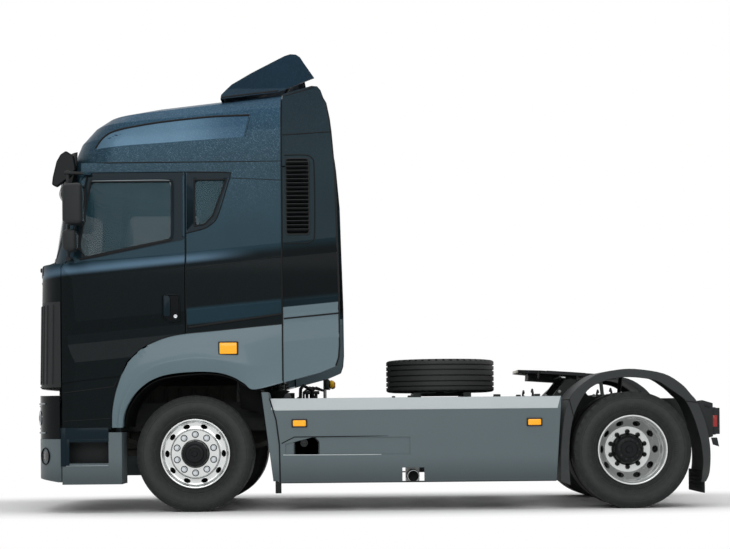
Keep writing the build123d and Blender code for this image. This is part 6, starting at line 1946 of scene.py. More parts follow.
    def skirt(self) -> None:
        """Seams, hem and the leaning top band of the skirts."""
        y = -HALF_WIDTH + 0.004
        seams = Shape()
        seams.tube(upright(y, ((0.655, 0.984), (0.711, 0.793), (0.738, 0.578), (0.742, 0.262))), 0.006, 8)
        seams.both().piece("skirt_seams", "chassis", Finishes.seam_and_shadow_dark)
        crease = Shape().tube([at(0.70, y + 0.0005, 0.878), at(3.150, y + 0.0005, 0.878)], 0.0035, 8)
        crease.both().piece("skirt_crease", "chassis", Finishes.skirt_band)
        band = Shape()
        verts = band.sheet([at(0.672, y - 0.001, 0.881), at(3.150, y - 0.001, 0.881), at(3.178, y + 0.018, 0.979),
                            at(0.655, y + 0.018, 0.979)], 3)
        band.thicken(verts, (0, 0.003, 0))
        band.both().piece("skirt_top_band", "chassis", Finishes.skirt_band)
        bump = Shape().slab(
            upright(y + 0.03, ((0.775, 0.975), (0.790, 1.018), (0.812, 1.026), (0.835, 1.012), (0.846, 0.975))),
            (0, 0.05, 0), 0.004,
        )
        bump.both().piece("skirt_latches", "chassis", Finishes.moulded_black)
        hem = Shape().block(at(0.748, y + 0.002, 0.244), at(3.135, y + 0.03, 0.256), 0.003)
        hem.both().piece("skirt_hem", "chassis", Finishes.moulded_black)
        scallop = Shape().tube(
            [at(0.758, y, 0.590), at(0.80, y, 0.612), at(0.868, y, 0.645), at(1.30, y + 0.001, 0.647),
             at(1.68, y + 0.004, 0.648)], 0.0045, 8)
        scallop.both().piece("scallop_shadows", "chassis", Finishes.seam_and_shadow_dark)
        rib = Shape().tube([at(0.770, y, 0.490), at(1.20, y, 0.488), at(1.62, y + 0.0035, 0.487)], 0.004, 8)
        rib.both().piece("scallop_ribs", "chassis", Finishes.skirt_band)
        mouth = Shape().lathe(
            [(-0.05, 0.0), (-0.05, 0.0), (0.012, 0.0), (0.012, 0.045), (0.030, 0.047), (0.034, 0.051), (0.030, 0.056),
             (-0.05, 0.056)], at(1.896, -1.128, 0.297), (0, -1, 0), 48)
        mouth.piece("tailpipe_mouth", "chassis", Finishes.rubber)

    def filler(self) -> None:
        """The filler's recess with its round cap, and the front mud flaps."""
        y = -HALF_WIDTH + 0.012
        box = Shape()
        box.slab(upright(y, ((0.868, 0.485), (1.078, 0.485), (1.078, 0.60), (1.040, 0.643),
                             (0.868, 0.643))), (0, 0.006, 0), 0.003)
        box.piece("filler_recess", "chassis", Finishes.rubber)
        rim = Shape().tube(upright(y - 0.002, ((0.866, 0.483), (1.080, 0.483), (1.080, 0.60), (1.041, 0.645),
                                               (0.866, 0.645))), 0.004, 8, ring=True)
        rim.piece("filler_rim", "chassis", Finishes.seam_and_shadow_dark)
        cap = Shape().lathe(
            [(0.0, 0.0), (0.0, 0.033), (0.006, 0.033), (0.009, 0.030), (0.009, 0.024), (0.005, 0.022), (0.005, 0.0)],
            at(0.952, y - 0.001, 0.592), (0, -1, 0), 40)
        cap.block(at(0.930, y - 0.014, 0.587), at(0.974, y - 0.004, 0.597), 0.002)
        cap.piece("filler_cap", "chassis", Finishes.moulded_black)
        flap = Shape().block(at(0.700, -1.236, 0.158), at(0.752, -1.228, 0.262), 0.003)
        flap.block(at(0.700, -1.228, 0.158), at(0.706, -0.93, 0.275), 0.003)
        flap.both().piece("front_mud_flaps", "chassis", Finishes.flap_rubber)


# ------------------------------------------------------------------ mirrors
@dataclass
class Mirrors:
    """Shaped mirror heads with their glasses, arms and post."""

    side: Side
    post: tuple[float, float] = (-1.068, -1.268)

    def head(self, low: Vector, high: Vector) -> Shape:
        """A housing with a rounded nose and rounded corners.

        Args:
            low: lowest corner.
            high: highest corner.

        Returns:
            The housing.
        """
        made = Shape().block(low, high, 0.038, 5)
        middle = (low + high) / 2
        for vert in made.bm.verts:
            ahead = max(0.0, (middle.x - vert.co.x) / (high.x - low.x))
            vert.co.y = middle.y + (vert.co.y - middle.y) * (1 - 0.25 * ahead)
            vert.co.z = middle.z + (vert.co.z - middle.z) * (1 - 0.10 * ahead)
        return made

    def build(self) -> None:
        """Builds the heads, glasses, arms and post."""
        word = self.side.word
        body = f"mirror_{word}"
        heads = (
            ("main", at(-1.085, -1.488, 2.482), at(-0.915, -1.290, 2.834)),
            ("wide", at(-1.090, -1.478, 2.253), at(-0.970, -1.290, 2.440)),
        )
        first = None
        for label, low, high in heads:
            made = self.head(low, high).flip(self.side).piece(
                f"mirror_head_{label}_{word}", body, Finishes.moulded_black, 60)
            first = first or made
            glass = Shape().block((high.x - 0.004, low.y + 0.022, low.z + 0.026),
                                  (high.x + 0.002, high.y - 0.022, high.z - 0.026), 0.002)
            glass.flip(self.side).piece(f"mirror_glass_{label}_{word}", body, Finishes.mirror_glass)
            rim = Shape().tube(
                [Vector((high.x, low.y + 0.020, low.z + 0.024)), Vector((high.x, high.y - 0.020, low.z + 0.024)),
                 Vector((high.x, high.y - 0.020, high.z - 0.024)), Vector((high.x, low.y + 0.020, high.z - 0.024))],
                0.006, 8, ring=True)
            rim.flip(self.side).piece(f"mirror_rim_{label}_{word}", body, Finishes.rubber)
        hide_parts(body)
        x, y = self.post
        arm = Shape().tube([at(x, y, 2.216), at(x, y, 2.934)], 0.0148, 20)
        for z in (2.345, 2.66):
            arm.block(at(x - 0.022, y - 0.03, z - 0.045), at(x + 0.022, y + 0.012, z + 0.045), 0.01)
        for z in (2.30, 2.39, 2.56, 2.76):
            arm.lathe([(-0.012, 0.0), (-0.012, 0.021), (0.012, 0.021), (0.012, 0.0)], at(x, y, z), (0, 0, 1), 24)
        arm.flip(self.side).piece(f"mirror_post_{word}", body, Finishes.moulded_black)
        feet = Shape()
        feet.lathe([(0.0, 0.0), (0.0, 0.026), (0.012, 0.022), (0.016, 0.0)], at(x, y, 2.954), (0, 0, 1), 24)
        feet.lathe([(0.0, 0.0), (0.0, 0.026), (0.012, 0.022), (0.016, 0.0)], at(x, y, 2.197), (0, 0, -1), 24)
        feet.slab([at(-1.094, -1.296, 2.9352), at(-1.042, -1.296, 2.9352), at(-0.925, -1.235, 2.9352),
                   at(-1.000, -1.233, 2.9352), at(-1.094, -1.247, 2.9352)], (0, 0, 0.0222), 0.002)
        feet.block(at(x - 0.024, y - 0.024, 2.1935), at(x + 0.024, y + 0.105, 2.2145), 0.003)
        feet.flip(self.side).piece(f"mirror_bosses_{word}", f"door_{word}", Finishes.moulded_black)


# ------------------------------------------------------------------ rear of the chassis
@dataclass
class RearFenders:
    """Shells, seams, bolts, stays and ribbed flaps of the rear fenders, and the tail lamps."""

    outer: tuple = (
        (3.172, 0.240), (3.172, 0.423), (3.182, 0.600), (3.207, 0.810), (3.251, 0.950), (3.325, 1.050), (3.484, 1.160),
        (3.640, 1.198), (3.820, 1.208), (4.070, 1.166), (4.222, 1.076), (4.303, 0.988), (4.363, 0.911), (4.425, 0.760),
        (4.460, 0.600), (4.472, 0.455), (4.461, 0.303), (4.430, 0.228),
    )
    inner: tuple = (
        (3.256, 0.206), (3.246, 0.369), (3.246, 0.477), (3.257, 0.640), (3.288, 0.800), (3.348, 0.936), (3.440, 1.050),
        (3.610, 1.120), (3.780, 1.136), (3.994, 1.108), (4.103, 1.047), (4.190, 0.985), (4.260, 0.925), (4.331, 0.775),
        (4.380, 0.612), (4.402, 0.477), (4.405, 0.369), (4.390, 0.222),
    )

    def build(self) -> None:
        """Builds the pieces on both sides."""
        y = -HALF_WIDTH + 0.004
        rim, lip = (smooth([(*p, 0) for p in line], 4) for line in (self.outer, self.inner))

        def row(share: float, depth: float) -> list[Vector]:
            """A line between the rim and the lip, at a depth."""
            return [at(a.x + (b.x - a.x) * share, y + depth, a.y + (b.y - a.y) * share) for a, b in zip(rim, lip)]

        made = Shape()
        made.ribbon([row(0.06, 0), row(0, 0.008), row(0, 0.645), row(0.45, 0.645), row(0.45, 0.02), row(1, 0.02),
                     row(1, 0.004), row(0.95, 0)], closed=True)
        kept = made.both().piece("fender_shells", "chassis", Finishes.fender_black, 28)
        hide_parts("rear_fenders")
        seams = Shape()
        for k in (16, 48):
            a, b = row(0, 0.0)[k], row(1, 0.0)[k]
            seams.tube([b, a, a + Vector((0, 0.62, 0))], 0.004, 8)
        seams.both().piece("fender_seams", "chassis", Finishes.seam_and_shadow_dark)
        flap = Shape().block(at(4.408, y + 0.006, 0.128), at(4.420, y + 0.640, 0.320), 0.003)
        for k in range(5):
            flap.block(at(4.4035, y + 0.02, 0.146 + k * 0.034), at(4.4090, y + 0.62, 0.160 + k * 0.034), 0.002)
        flap.both().piece("rear_mud_flaps", "chassis", Finishes.flap_rubber)
        stay = Shape()
        stay.tube([at(3.80, -0.42, 0.90), at(3.80, -0.62, 1.17)], 0.018, 12)
        stay.slab(upright(y + 0.03, ((4.352, 0.925), (4.409, 0.932), (4.500, 0.905), (4.500, 0.615),
                                     (4.440, 0.600))), (0, 0.03, 0), 0.004)
        stay.slab(upright(y + 0.03, ((4.485, 0.606), (4.535, 0.606), (4.552, 0.528),
                                     (4.500, 0.545))), (0, 0.02, 0), 0.002)
        for back, z in ((4.440, 0.885), (4.462, 0.878)):
            stay.nut(at(back, y + 0.03, z), (0, -1, 0), 0.010, 0.010)
        stay.both().piece("fender_stays", "chassis", Finishes.moulded_black)
        self.lamps()

    def lamps(self) -> None:
        """Tail lamp housings, lenses and the blank rear plate."""
        low, high = (corner - Vector((0.045, 0, 0)) for corner in map(Vector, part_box("tail_lamps")))
        housing, red, amber, clear = Shape(), Shape(), Shape(), Shape()
        y0, y1 = low.y, -0.85
        housing.block((low.x, y0, low.z), (high.x - 0.014, y1, high.z), 0.022, 3)
        housing.block((low.x + 0.01, y0 - 0.001, low.z + 0.006), (high.x + 0.004, y0 + 0.012, high.z - 0.006), 0.005, 3)
        thirds = [y0 + 0.014 + (y1 - y0 - 0.028) * k / 3 for k in range(4)]
        for shape, k in ((red, 0), (amber, 1), (clear, 2)):
            shape.block((high.x - 0.03, thirds[k] + 0.004, low.z + 0.118), (high.x - 0.001, thirds[k + 1] - 0.004,
                                                                          high.z - 0.014), 0.009, 2)
        red.block((high.x - 0.03, y0 + 0.018, low.z + 0.016), (high.x - 0.001, thirds[2] - 0.004, low.z + 0.104),
                  0.009, 2)
        clear.block((high.x - 0.03, thirds[2] + 0.004, low.z + 0.016), (high.x - 0.001, y1 - 0.018, low.z + 0.104),
                    0.009, 2)
        kept = housing.both().piece("tail_lamp_housings", "chassis", Finishes.moulded_black)
        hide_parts("tail_lamps")
        red.both().piece("tail_lenses_red", "chassis", Finishes.red)
        amber.both().piece("tail_lenses_amber", "chassis", Finishes.amber)
        clear.both().piece("tail_lenses_clear", "chassis", Finishes.clear)
        side = Shape().block((low.x + 0.012, y0 - 0.004, 0.70), (high.x - 0.02, y0 + 0.01, 0.80), 0.003)
        side.both().piece("tail_side_lenses", "chassis", Finishes.red)
        plate = Shape().block((2.979, -0.25, 0.585), (2.985, 0.25, 0.695), 0.002)
        plate.piece("rear_plate_blank", "chassis", Finishes.plate_blank)


@dataclass
class FifthWheel:
    """Grease grooves, worn tips, lock handle and bolts of the fifth wheel."""

    back: float = WHEELBASE - 0.432
    lean: float = math.radians(4)

    def build(self) -> None:
        """Builds the coupling's details."""
        lean = self.lean
        pivot = at(self.back, 0, 1.119)

        def on_plate(x: float, y: float, z: float) -> Vector:
            """A place on the tilted plate, from its own lengths."""
            along, up = x * math.cos(lean) + z * math.sin(lean), -x * math.sin(lean) + z * math.cos(lean)
            return pivot + Vector((along, y, up))

        ramps = Shape()
        for y in (-0.30, 0.30):
            corners = ((0.30, -0.05, 0.086), (0.42, -0.05, 0.080), (0.42, 0.05, 0.080), (0.30, 0.05, 0.086))
            ramps.slab([on_plate(x, y + dy, z) for x, dy, z in corners], (0, 0, 0.002), 0.0)
        ramps.piece("plate_worn_tips", "fifth_wheel", Finishes.worn_steel)
        tip = Shape().slab(
            [on_plate(-0.471, -0.262, 0.060), on_plate(-0.471, 0.262, 0.060), on_plate(-0.471, 0.262, 0.0865),
             on_plate(-0.471, -0.262, 0.0865)], (0.075, 0, -0.004), 0.003)
        tip.piece("plate_front_edge", "fifth_wheel", Finishes.worn_steel)
        ring = Shape().lathe(
            [(0.0, 0.060), (0.0, 0.115), (0.003, 0.113), (0.003, 0.062)], on_plate(-0.004, 0, 0.084),
            on_plate(0, 0, 1) - on_plate(0, 0, 0), 56, closed=True)
        front = [v for v in ring.bm.verts if v.co.x > pivot.x + 0.055]
        bmesh.ops.delete(ring.bm, geom=front, context="VERTS")
        ring.piece("jaw_wear_ring", "fifth_wheel", Finishes.worn_steel)
        grooves = Shape()
        for y in (-0.40, -0.23, 0.23, 0.40):
            bends = ((-0.22, 1), (0.02, 1.02), (0.14, 0.95))
            grooves.tube([on_plate(x, y * share, 0.0845) for x, share in bends], 0.006, 8)
        grooves.piece("plate_grease_grooves", "fifth_wheel", Finishes.rubber)
        bends = ((-0.12, -0.10), (-0.12, -0.47), (-0.09, -0.515), (-0.06, -0.515))
        handle = Shape().tube([on_plate(x, y, 0.03) for x, y in bends], 0.009, 12)
        handle.piece("lock_handle", "fifth_wheel", Finishes.bare_steel)
        ribs = Shape()
        for x in (-0.30, -0.10, 0.10, 0.26):
            for y in (-0.445, 0.445):
                ribs.block(on_plate(x - 0.006, y - 0.02, 0.01), on_plate(x + 0.006, y + 0.02, 0.06), 0.002)
        ribs.piece("plate_ribs", "fifth_wheel", Finishes.cast_iron)
        bolts = Shape()
        for back in (-0.34, -0.22, 0.22, 0.34):
            for y in (-0.39, 0.39):
                bolts.nut(at(self.back + back, y, 0.982), (0, 0, 1), 0.016, 0.018)
        for back in (-0.10, 0.10):
            for y in (-0.4255, 0.4255):
                bolts.nut(at(self.back + back, y, 1.03), (0, math.copysign(1, y), 0), 0.013, 0.014)
        bolts.piece("fifth_wheel_bolts", "chassis", Finishes.bare_steel)


@dataclass
class ChassisDetail:
    """Rivets, pipes, couplings, catwalk tread, engine and axle details."""

    def build(self) -> None:
        """Builds the chassis' details."""
        rivets = Shape()
        for k in range(34):
            x = -2.6 + k * 0.16
            for z in (0.745, 0.915):
                rivets.lathe([(0.0, 0.011), (0.005, 0.009), (0.007, 0.004), (0.007, 0.0)], (x, -0.425, z),
                             (0, -1, 0), 10)
        rivets.both().piece("frame_rivets", "chassis", Finishes.frame_coat)
        self.couplings()
        self.behind_cab()
        self.top_clutter()
        self.engine()
        self.axles()

    def couplings(self) -> None:
        """Air and electric couplings on their bracket behind the cab."""
        x = FRONT_AXLE + 1.165
        heads = ((-0.30, Finishes.yellow), (-0.14, Finishes.red_cap), (0.02, Finishes.moulded_black),
                 (0.18, Finishes.moulded_black))
        for k, (y, finish) in enumerate(heads):
            made = Shape().lathe(
                [(0.0, 0.0), (0.0, 0.036), (0.012, 0.038), (0.020, 0.034), (0.026, 0.034), (0.030, 0.028),
                 (0.030, 0.0)], (x, y, 1.119), (1, 0, 0), 32)
            made.block((x + 0.028, y - 0.008, 1.095), (x + 0.036, y + 0.008, 1.145), 0.003)
            made.piece(f"coupling_head_{k}", "chassis", finish)
        socket = Shape().block((x - 0.05, -0.345, 1.075), (x - 0.012, 0.225, 1.165), 0.006)
        socket.piece("coupling_plate", "chassis", Finishes.frame_coat)

    def behind_cab(self) -> None:
        """Struts, springs, pipes and valve posts behind and under the rear of the cab."""
        struts = Shape()
        for y in (-0.52, 0.52):
            struts.cone(at(0.70, y, 0.975), at(0.70, y, 1.08), (0.028, 0.028), 20, 0.003)
            struts.cone(at(0.70, y, 1.07), at(0.70, y, 1.195), (0.019, 0.019), 20, 0.002)
            spring = [at(0.70, y, 1.0) + Vector((0.042 * math.cos(t), 0.042 * math.sin(t), 0.17 * t / (math.tau * 5)))
                      for t in [math.tau * 5 * k / 90 for k in range(91)]]
            struts.tube(spring, 0.007, 8)
            struts.block(at(0.64, y - 0.05, 0.958), at(0.76, y + 0.05, 0.98), 0.004)
        struts.piece("rear_cab_springs", "chassis", Finishes.frame_coat)
        pipes = Shape()
        for k, y in enumerate((-0.66, -0.62, -0.58)):
            back = 0.93 + k * 0.03
            pipes.tube([at(back, y, 0.90), at(back, y, 1.04), at(back + 0.05, y + 0.06, 1.085),
                        at(1.10, -0.36 + 0.03 * k, 1.06)], 0.011, 10)
        pipes.tube([at(0.90, -0.72, 0.90), at(0.905, -0.72, 1.07), at(0.93, -0.70, 1.10), at(1.0, -0.62, 1.06),
                    at(1.02, -0.60, 0.95)], 0.016, 12)
        pipes.piece("air_pipes", "chassis", Finishes.rubber)
        posts = Shape()
        for back, y in ((0.965, -0.80), (1.045, -0.78)):
            posts.tube([at(back, y, 0.90), at(back, y, 1.035)], 0.014, 12)
            posts.block(at(back - 0.03, y - 0.02, 1.02), at(back + 0.03, y + 0.02, 1.05), 0.006)
        posts.piece("valve_posts", "chassis", Finishes.moulded_black)

    def top_clutter(self) -> None:
        """Brackets, valves and clips that show over the skirts' top edge."""
        made = Shape()
        spots = ((1.72, 0.030, 0.012), (1.86, 0.05, 0.016), (2.62, 0.06, 0.020), (2.82, 0.04, 0.014),
                 (2.98, 0.05, 0.02))
        for back, length, rise in spots:
            made.block(at(back, -0.97, 0.955), at(back + length, -0.91, 0.984 + rise), 0.005)
            made.block(at(back + length * 0.3, -0.93, 0.94), at(back + length * 0.7, -0.42, 0.962), 0.004)
        made.both().piece("skirt_top_brackets", "chassis", Finishes.frame_coat)
        hoops = Shape()
        for back in (3.02, 3.74):
            hoops.tube([at(back, -0.43, 0.93), at(back, -0.45, 1.02), at(back, -0.40, 1.05), at(back, -0.36, 1.03)],
                       0.010, 10)
        hoops.both().piece("hose_hooks", "chassis", Finishes.frame_coat)
        walk = Shape()
        for k in range(5):
            back = 1.226 + k * 0.092
            for y in (-0.30, -0.10, 0.10, 0.30):
                walk.block(at(back + 0.022, y - 0.07, 0.9855), at(back + 0.068, y + 0.07, 0.990), 0.0015)
        walk.piece("catwalk_treads", "chassis", Finishes.tread)

    def engine(self) -> None:
        """Sump, ribs, valve cover and radiator fins seen from below and the front."""
        made = Shape()
        made.block(at(-0.95, -0.20, 1.165), at(0.25, 0.20, 1.205), 0.02, 3)
        for k in range(9):
            made.block(at(-0.90 + k * 0.13, -0.345, 0.60), at(-0.86 + k * 0.13, 0.345, 1.10), 0.008)
        made.block(at(-0.80, -0.26, 0.47), at(0.10, 0.26, 0.56), 0.04, 3)
        made.piece("engine_castings", "chassis", Finishes.cast_iron)
        core = Shape()
        for k in range(22):
            z = 0.57 + k * 0.025
            core.block(at(-1.334, -0.36, z), at(-1.330, 0.36, z + 0.006), 0.001)
        core.piece("radiator_fins", "chassis", Finishes.tank_metal)

    def axles(self) -> None:
        """Differential cover, brake chambers, dampers and U-bolts."""
        made = Shape()
        x = FRONT_AXLE + WHEELBASE
        made.lathe([(0.0, 0.19), (0.10, 0.17), (0.13, 0.12), (0.14, 0.0)], (x + 0.12, 0, AXLE_Z), (1, 0, 0), 40)
        for k in range(12):
            a = math.tau * k / 12
            made.nut((x + 0.155, 0.168 * math.cos(a), AXLE_Z + 0.168 * math.sin(a)), (1, 0, 0), 0.011, 0.014)
        for s in (-1, 1):
            made.lathe([(0.0, 0.0), (0.0, 0.085), (0.06, 0.09), (0.065, 0.095), (0.075, 0.095), (0.08, 0.09),
                        (0.16, 0.08), (0.17, 0.0)], (x - 0.30, s * 0.50, AXLE_Z + 0.10), (-1, 0, 0), 32)
        made.piece("axle_castings", "chassis", Finishes.cast_iron)
        ties = Shape()
        for s in (-1, 1):
            for dx in (-0.06, 0.06):
                ties.tube([(FRONT_AXLE + dx, s * 0.43 - 0.05, 0.40), (FRONT_AXLE + dx, s * 0.43 - 0.05, 0.53),
                           (FRONT_AXLE + dx, s * 0.43 + 0.05, 0.53), (FRONT_AXLE + dx, s * 0.43 + 0.05, 0.40)],
                          0.010, 10)
            ties.tube([(FRONT_AXLE + 0.09, s * 0.36, 0.46), (FRONT_AXLE + 0.13, s * 0.36, 0.74)], 0.032, 16)
            ties.tube([(FRONT_AXLE + 0.13, s * 0.36, 0.70), (FRONT_AXLE + 0.15, s * 0.36, 0.86)], 0.024, 16)
        ties.piece("axle_ties_and_dampers", "chassis", Finishes.frame_coat)


# ------------------------------------------------------------------ inside of the cab
@dataclass
class SoftPart:
    """A stuffed part that swells from a slightly smaller form while its underside rests."""

    name: str
    finish: Finish
    body: str = "cab"
    voxel: float = 0.007
    cap: float = 0.024
    pressure: float = 4.0
    frames: int = 20            # frames of the swelling
    fill: float = 0.7
    resting: Callable[[Vector], bool] = lambda normal: normal.z < -0.8

    def build(self, shape: Shape) -> bpy.types.Object:
        """Makes the piece and swells it.

        Args:
            shape: the form that it starts from.

        Returns:
            The piece.
        """
        piece = shape.piece(self.name, self.body, self.finish, 60)
        remesh = piece.modifiers.new("voxels", "REMESH")
        remesh.mode, remesh.voxel_size = "VOXEL", self.voxel
        applied(piece)
        start = [vert.co.copy() for vert in piece.data.vertices]
        held = piece.vertex_groups.new(name="rest")
        held.add([v.index for v in piece.data.vertices if self.resting(v.normal)], 1.0, "REPLACE")
        cloth = piece.modifiers.new("swell", "CLOTH")
        cloth.settings.vertex_group_mass = "rest"
        cloth.settings.use_pressure = True
        cloth.settings.uniform_pressure_force = self.pressure
        cloth.settings.effector_weights.gravity = 0.0
        cloth.point_cache.frame_start, cloth.point_cache.frame_end = 1, self.frames
        for number in range(1, self.frames + 1):
            bpy.context.scene.frame_set(number)
        applied(piece)
        for vert, rest in zip(piece.data.vertices, start):
            move = vert.co - rest
            if move.length > self.cap:
                vert.co = rest + move * (self.cap / move.length)
        bpy.context.scene.frame_set(1)
        for polygon in piece.data.polygons:
            polygon.use_smooth = True
        return piece


@dataclass
class Seat:
    """A suspension seat: padded cushion, back and head rest on a bellows and rails."""

    side: Side
    middle_y: float = 0.6
    half: float = 0.232

    def build(self) -> None:
        """Builds the seat."""
        y, h, word = self.side.value * self.middle_y, self.half, self.side.word
        cushion = Shape().slab(
            upright(y - h, ((-0.585, 1.600), (-0.135, 1.600), (-0.135, 1.682), (-0.30, 1.676), (-0.50, 1.690),
                            (-0.575, 1.672), (-0.590, 1.640))),
            (0, 2 * h, 0), 0.022)
        made = SoftPart(f"seat_cushion_{word}", Finishes.seat_cloth).build(cushion)
        if self.side is Side.LEFT:
            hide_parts("seats")
        back = Shape().slab(
            upright(y - h, ((-0.125, 1.690), (-0.010, 1.690), (0.050, 2.20), (0.062, 2.310), (-0.015, 2.320),
                            (-0.045, 2.10), (-0.085, 1.90))),
            (0, 2 * h, 0), 0.022)
        SoftPart(f"seat_back_{word}", Finishes.seat_cloth, cap=0.02,
                 resting=lambda normal: normal.x > 0.8).build(back)
        head = Shape().slab(
            upright(y - 0.125, ((0.000, 2.370), (0.066, 2.372), (0.080, 2.560), (0.025, 2.566))), (0, 0.25, 0), 0.02)
        SoftPart(f"seat_head_{word}", Finishes.seat_edge, cap=0.018,
                 resting=lambda normal: normal.x > 0.8).build(head)
        posts = Shape()
        for dy in (-0.06, 0.06):
            posts.tube([at(0.042, y + dy, 2.29), at(0.052, y + dy, 2.40)], 0.007, 10)
        posts.piece(f"seat_head_posts_{word}", "cab", Finishes.bare_steel)
        base = Shape()
        base.block(at(-0.53, y - 0.20, 1.272), at(-0.12, y + 0.20, 1.320), 0.012)
        base.block(at(-0.56, y - 0.22, 1.545), at(-0.11, y + 0.22, 1.592), 0.014)
        for dy in (-0.19, 0.19):
            base.block(at(-0.55, y + dy - 0.015, 1.270), at(-0.10, y + dy + 0.015, 1.288), 0.003)
        base.slab(upright(y - 0.21, ((0.052, 1.72), (0.070, 1.72), (0.100, 2.28), (0.082, 2.28))), (0, 0.42, 0), 0.006)
        base.piece(f"seat_base_{word}", "cab", Finishes.moulded_black)
        folds = [(0.0, 0.0), (0.0, 0.16)]
        for k in range(6):
            folds += [(0.018 + k * 0.036, 0.185), (0.036 + k * 0.036, 0.155)]
        folds += [(0.228, 0.16), (0.228, 0.0)]
        Shape().lathe(folds, at(-0.325, y, 1.319), (0, 0, 1), 4 * 12).piece(
            f"seat_bellows_{word}", "cab", Finishes.rubber)
        rests = Shape()
        for dy in (-0.262, 0.262):
            rests.block(at(-0.34, y + dy - 0.022, 1.845), at(-0.02, y + dy + 0.022, 1.892), 0.018, 3)
            rests.block(at(-0.05, y + dy - 0.012, 1.80), at(0.02, y + dy + 0.012, 1.88), 0.008)
        rests.piece(f"seat_arm_rests_{word}", "cab", Finishes.seat_edge)
        belt = Shape().slab(
            [at(-0.082, y + 0.09, 1.90), at(-0.082, y + 0.14, 1.90), at(-0.060, y + 0.10, 2.30),
             at(-0.060, y + 0.05, 2.30)], (-0.006, 0, 0), 0.001)
        belt.piece(f"seat_belt_{word}", "cab", Finishes.rubber)


@dataclass
class SteeringWheel:
    """Rim, spokes and pad of the steering wheel, and its column."""

    centre: Vector = field(default_factory=lambda: at(-0.690, -0.600, 1.985))
    lean: float = math.radians(28)
    radius: float = 0.225

    def build(self) -> None:
        """Builds the wheel and its column."""
        axis = Vector((math.sin(self.lean), 0, math.cos(self.lean)))
        across = Vector((0, 1, 0))
        down = axis.cross(across)
        r = self.radius

        def on(a: float, b: float, lift: float = 0.0) -> Vector:
            """A place on the wheel, from its two lengths and its lift."""
            return self.centre + down * a + across * b + axis * lift

        rim = Shape().tube([on(r * math.cos(t), r * math.sin(t)) for t in [math.tau * k / 64 for k in range(64)]],
                           0.0145, 14, ring=True)
        rim = rim.piece("steering_rim", "steering_wheel", Finishes.dash_trim)
        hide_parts("steering_wheel")
        spokes = Shape()
        for a, b in ((0.05, 0.215), (0.05, -0.215), (0.216, 0.05), (0.216, -0.05)):
            length = math.hypot(a, b)
            side = Vector((-b, a)) / length * 0.017
            spokes.slab(
                [on(a * 0.25 - side.x, b * 0.25 - side.y, -0.022), on(a * 0.25 + side.x, b * 0.25 + side.y, -0.022),
                 on(a + side.x * 0.7, b + side.y * 0.7, -0.004), on(a - side.x * 0.7, b - side.y * 0.7, -0.004)],
                axis * 0.010, 0.003)
        spokes.piece("steering_spokes", "steering_wheel", Finishes.dash_trim)
        pad = Shape().lathe(
            [(-0.060, 0.0), (-0.060, 0.045), (-0.030, 0.082), (-0.008, 0.086), (0.002, 0.080), (0.007, 0.05),
             (0.008, 0.0)], self.centre, axis, 40)
        pad.piece("steering_pad", "steering_wheel", Finishes.moulded_black)
        column = Shape().cone(self.centre - axis * 0.33, self.centre - axis * 0.062, (0.06, 0.05), 28, 0.008)
        for s, length in ((-1, 0.17), (1, 0.17)):
            start = self.centre - axis * 0.09
            column.tube([start, start + across * s * 0.09, start + across * s * length + axis * 0.02], 0.009, 10)
        column.piece("steering_column", "cab", Finishes.moulded_black)


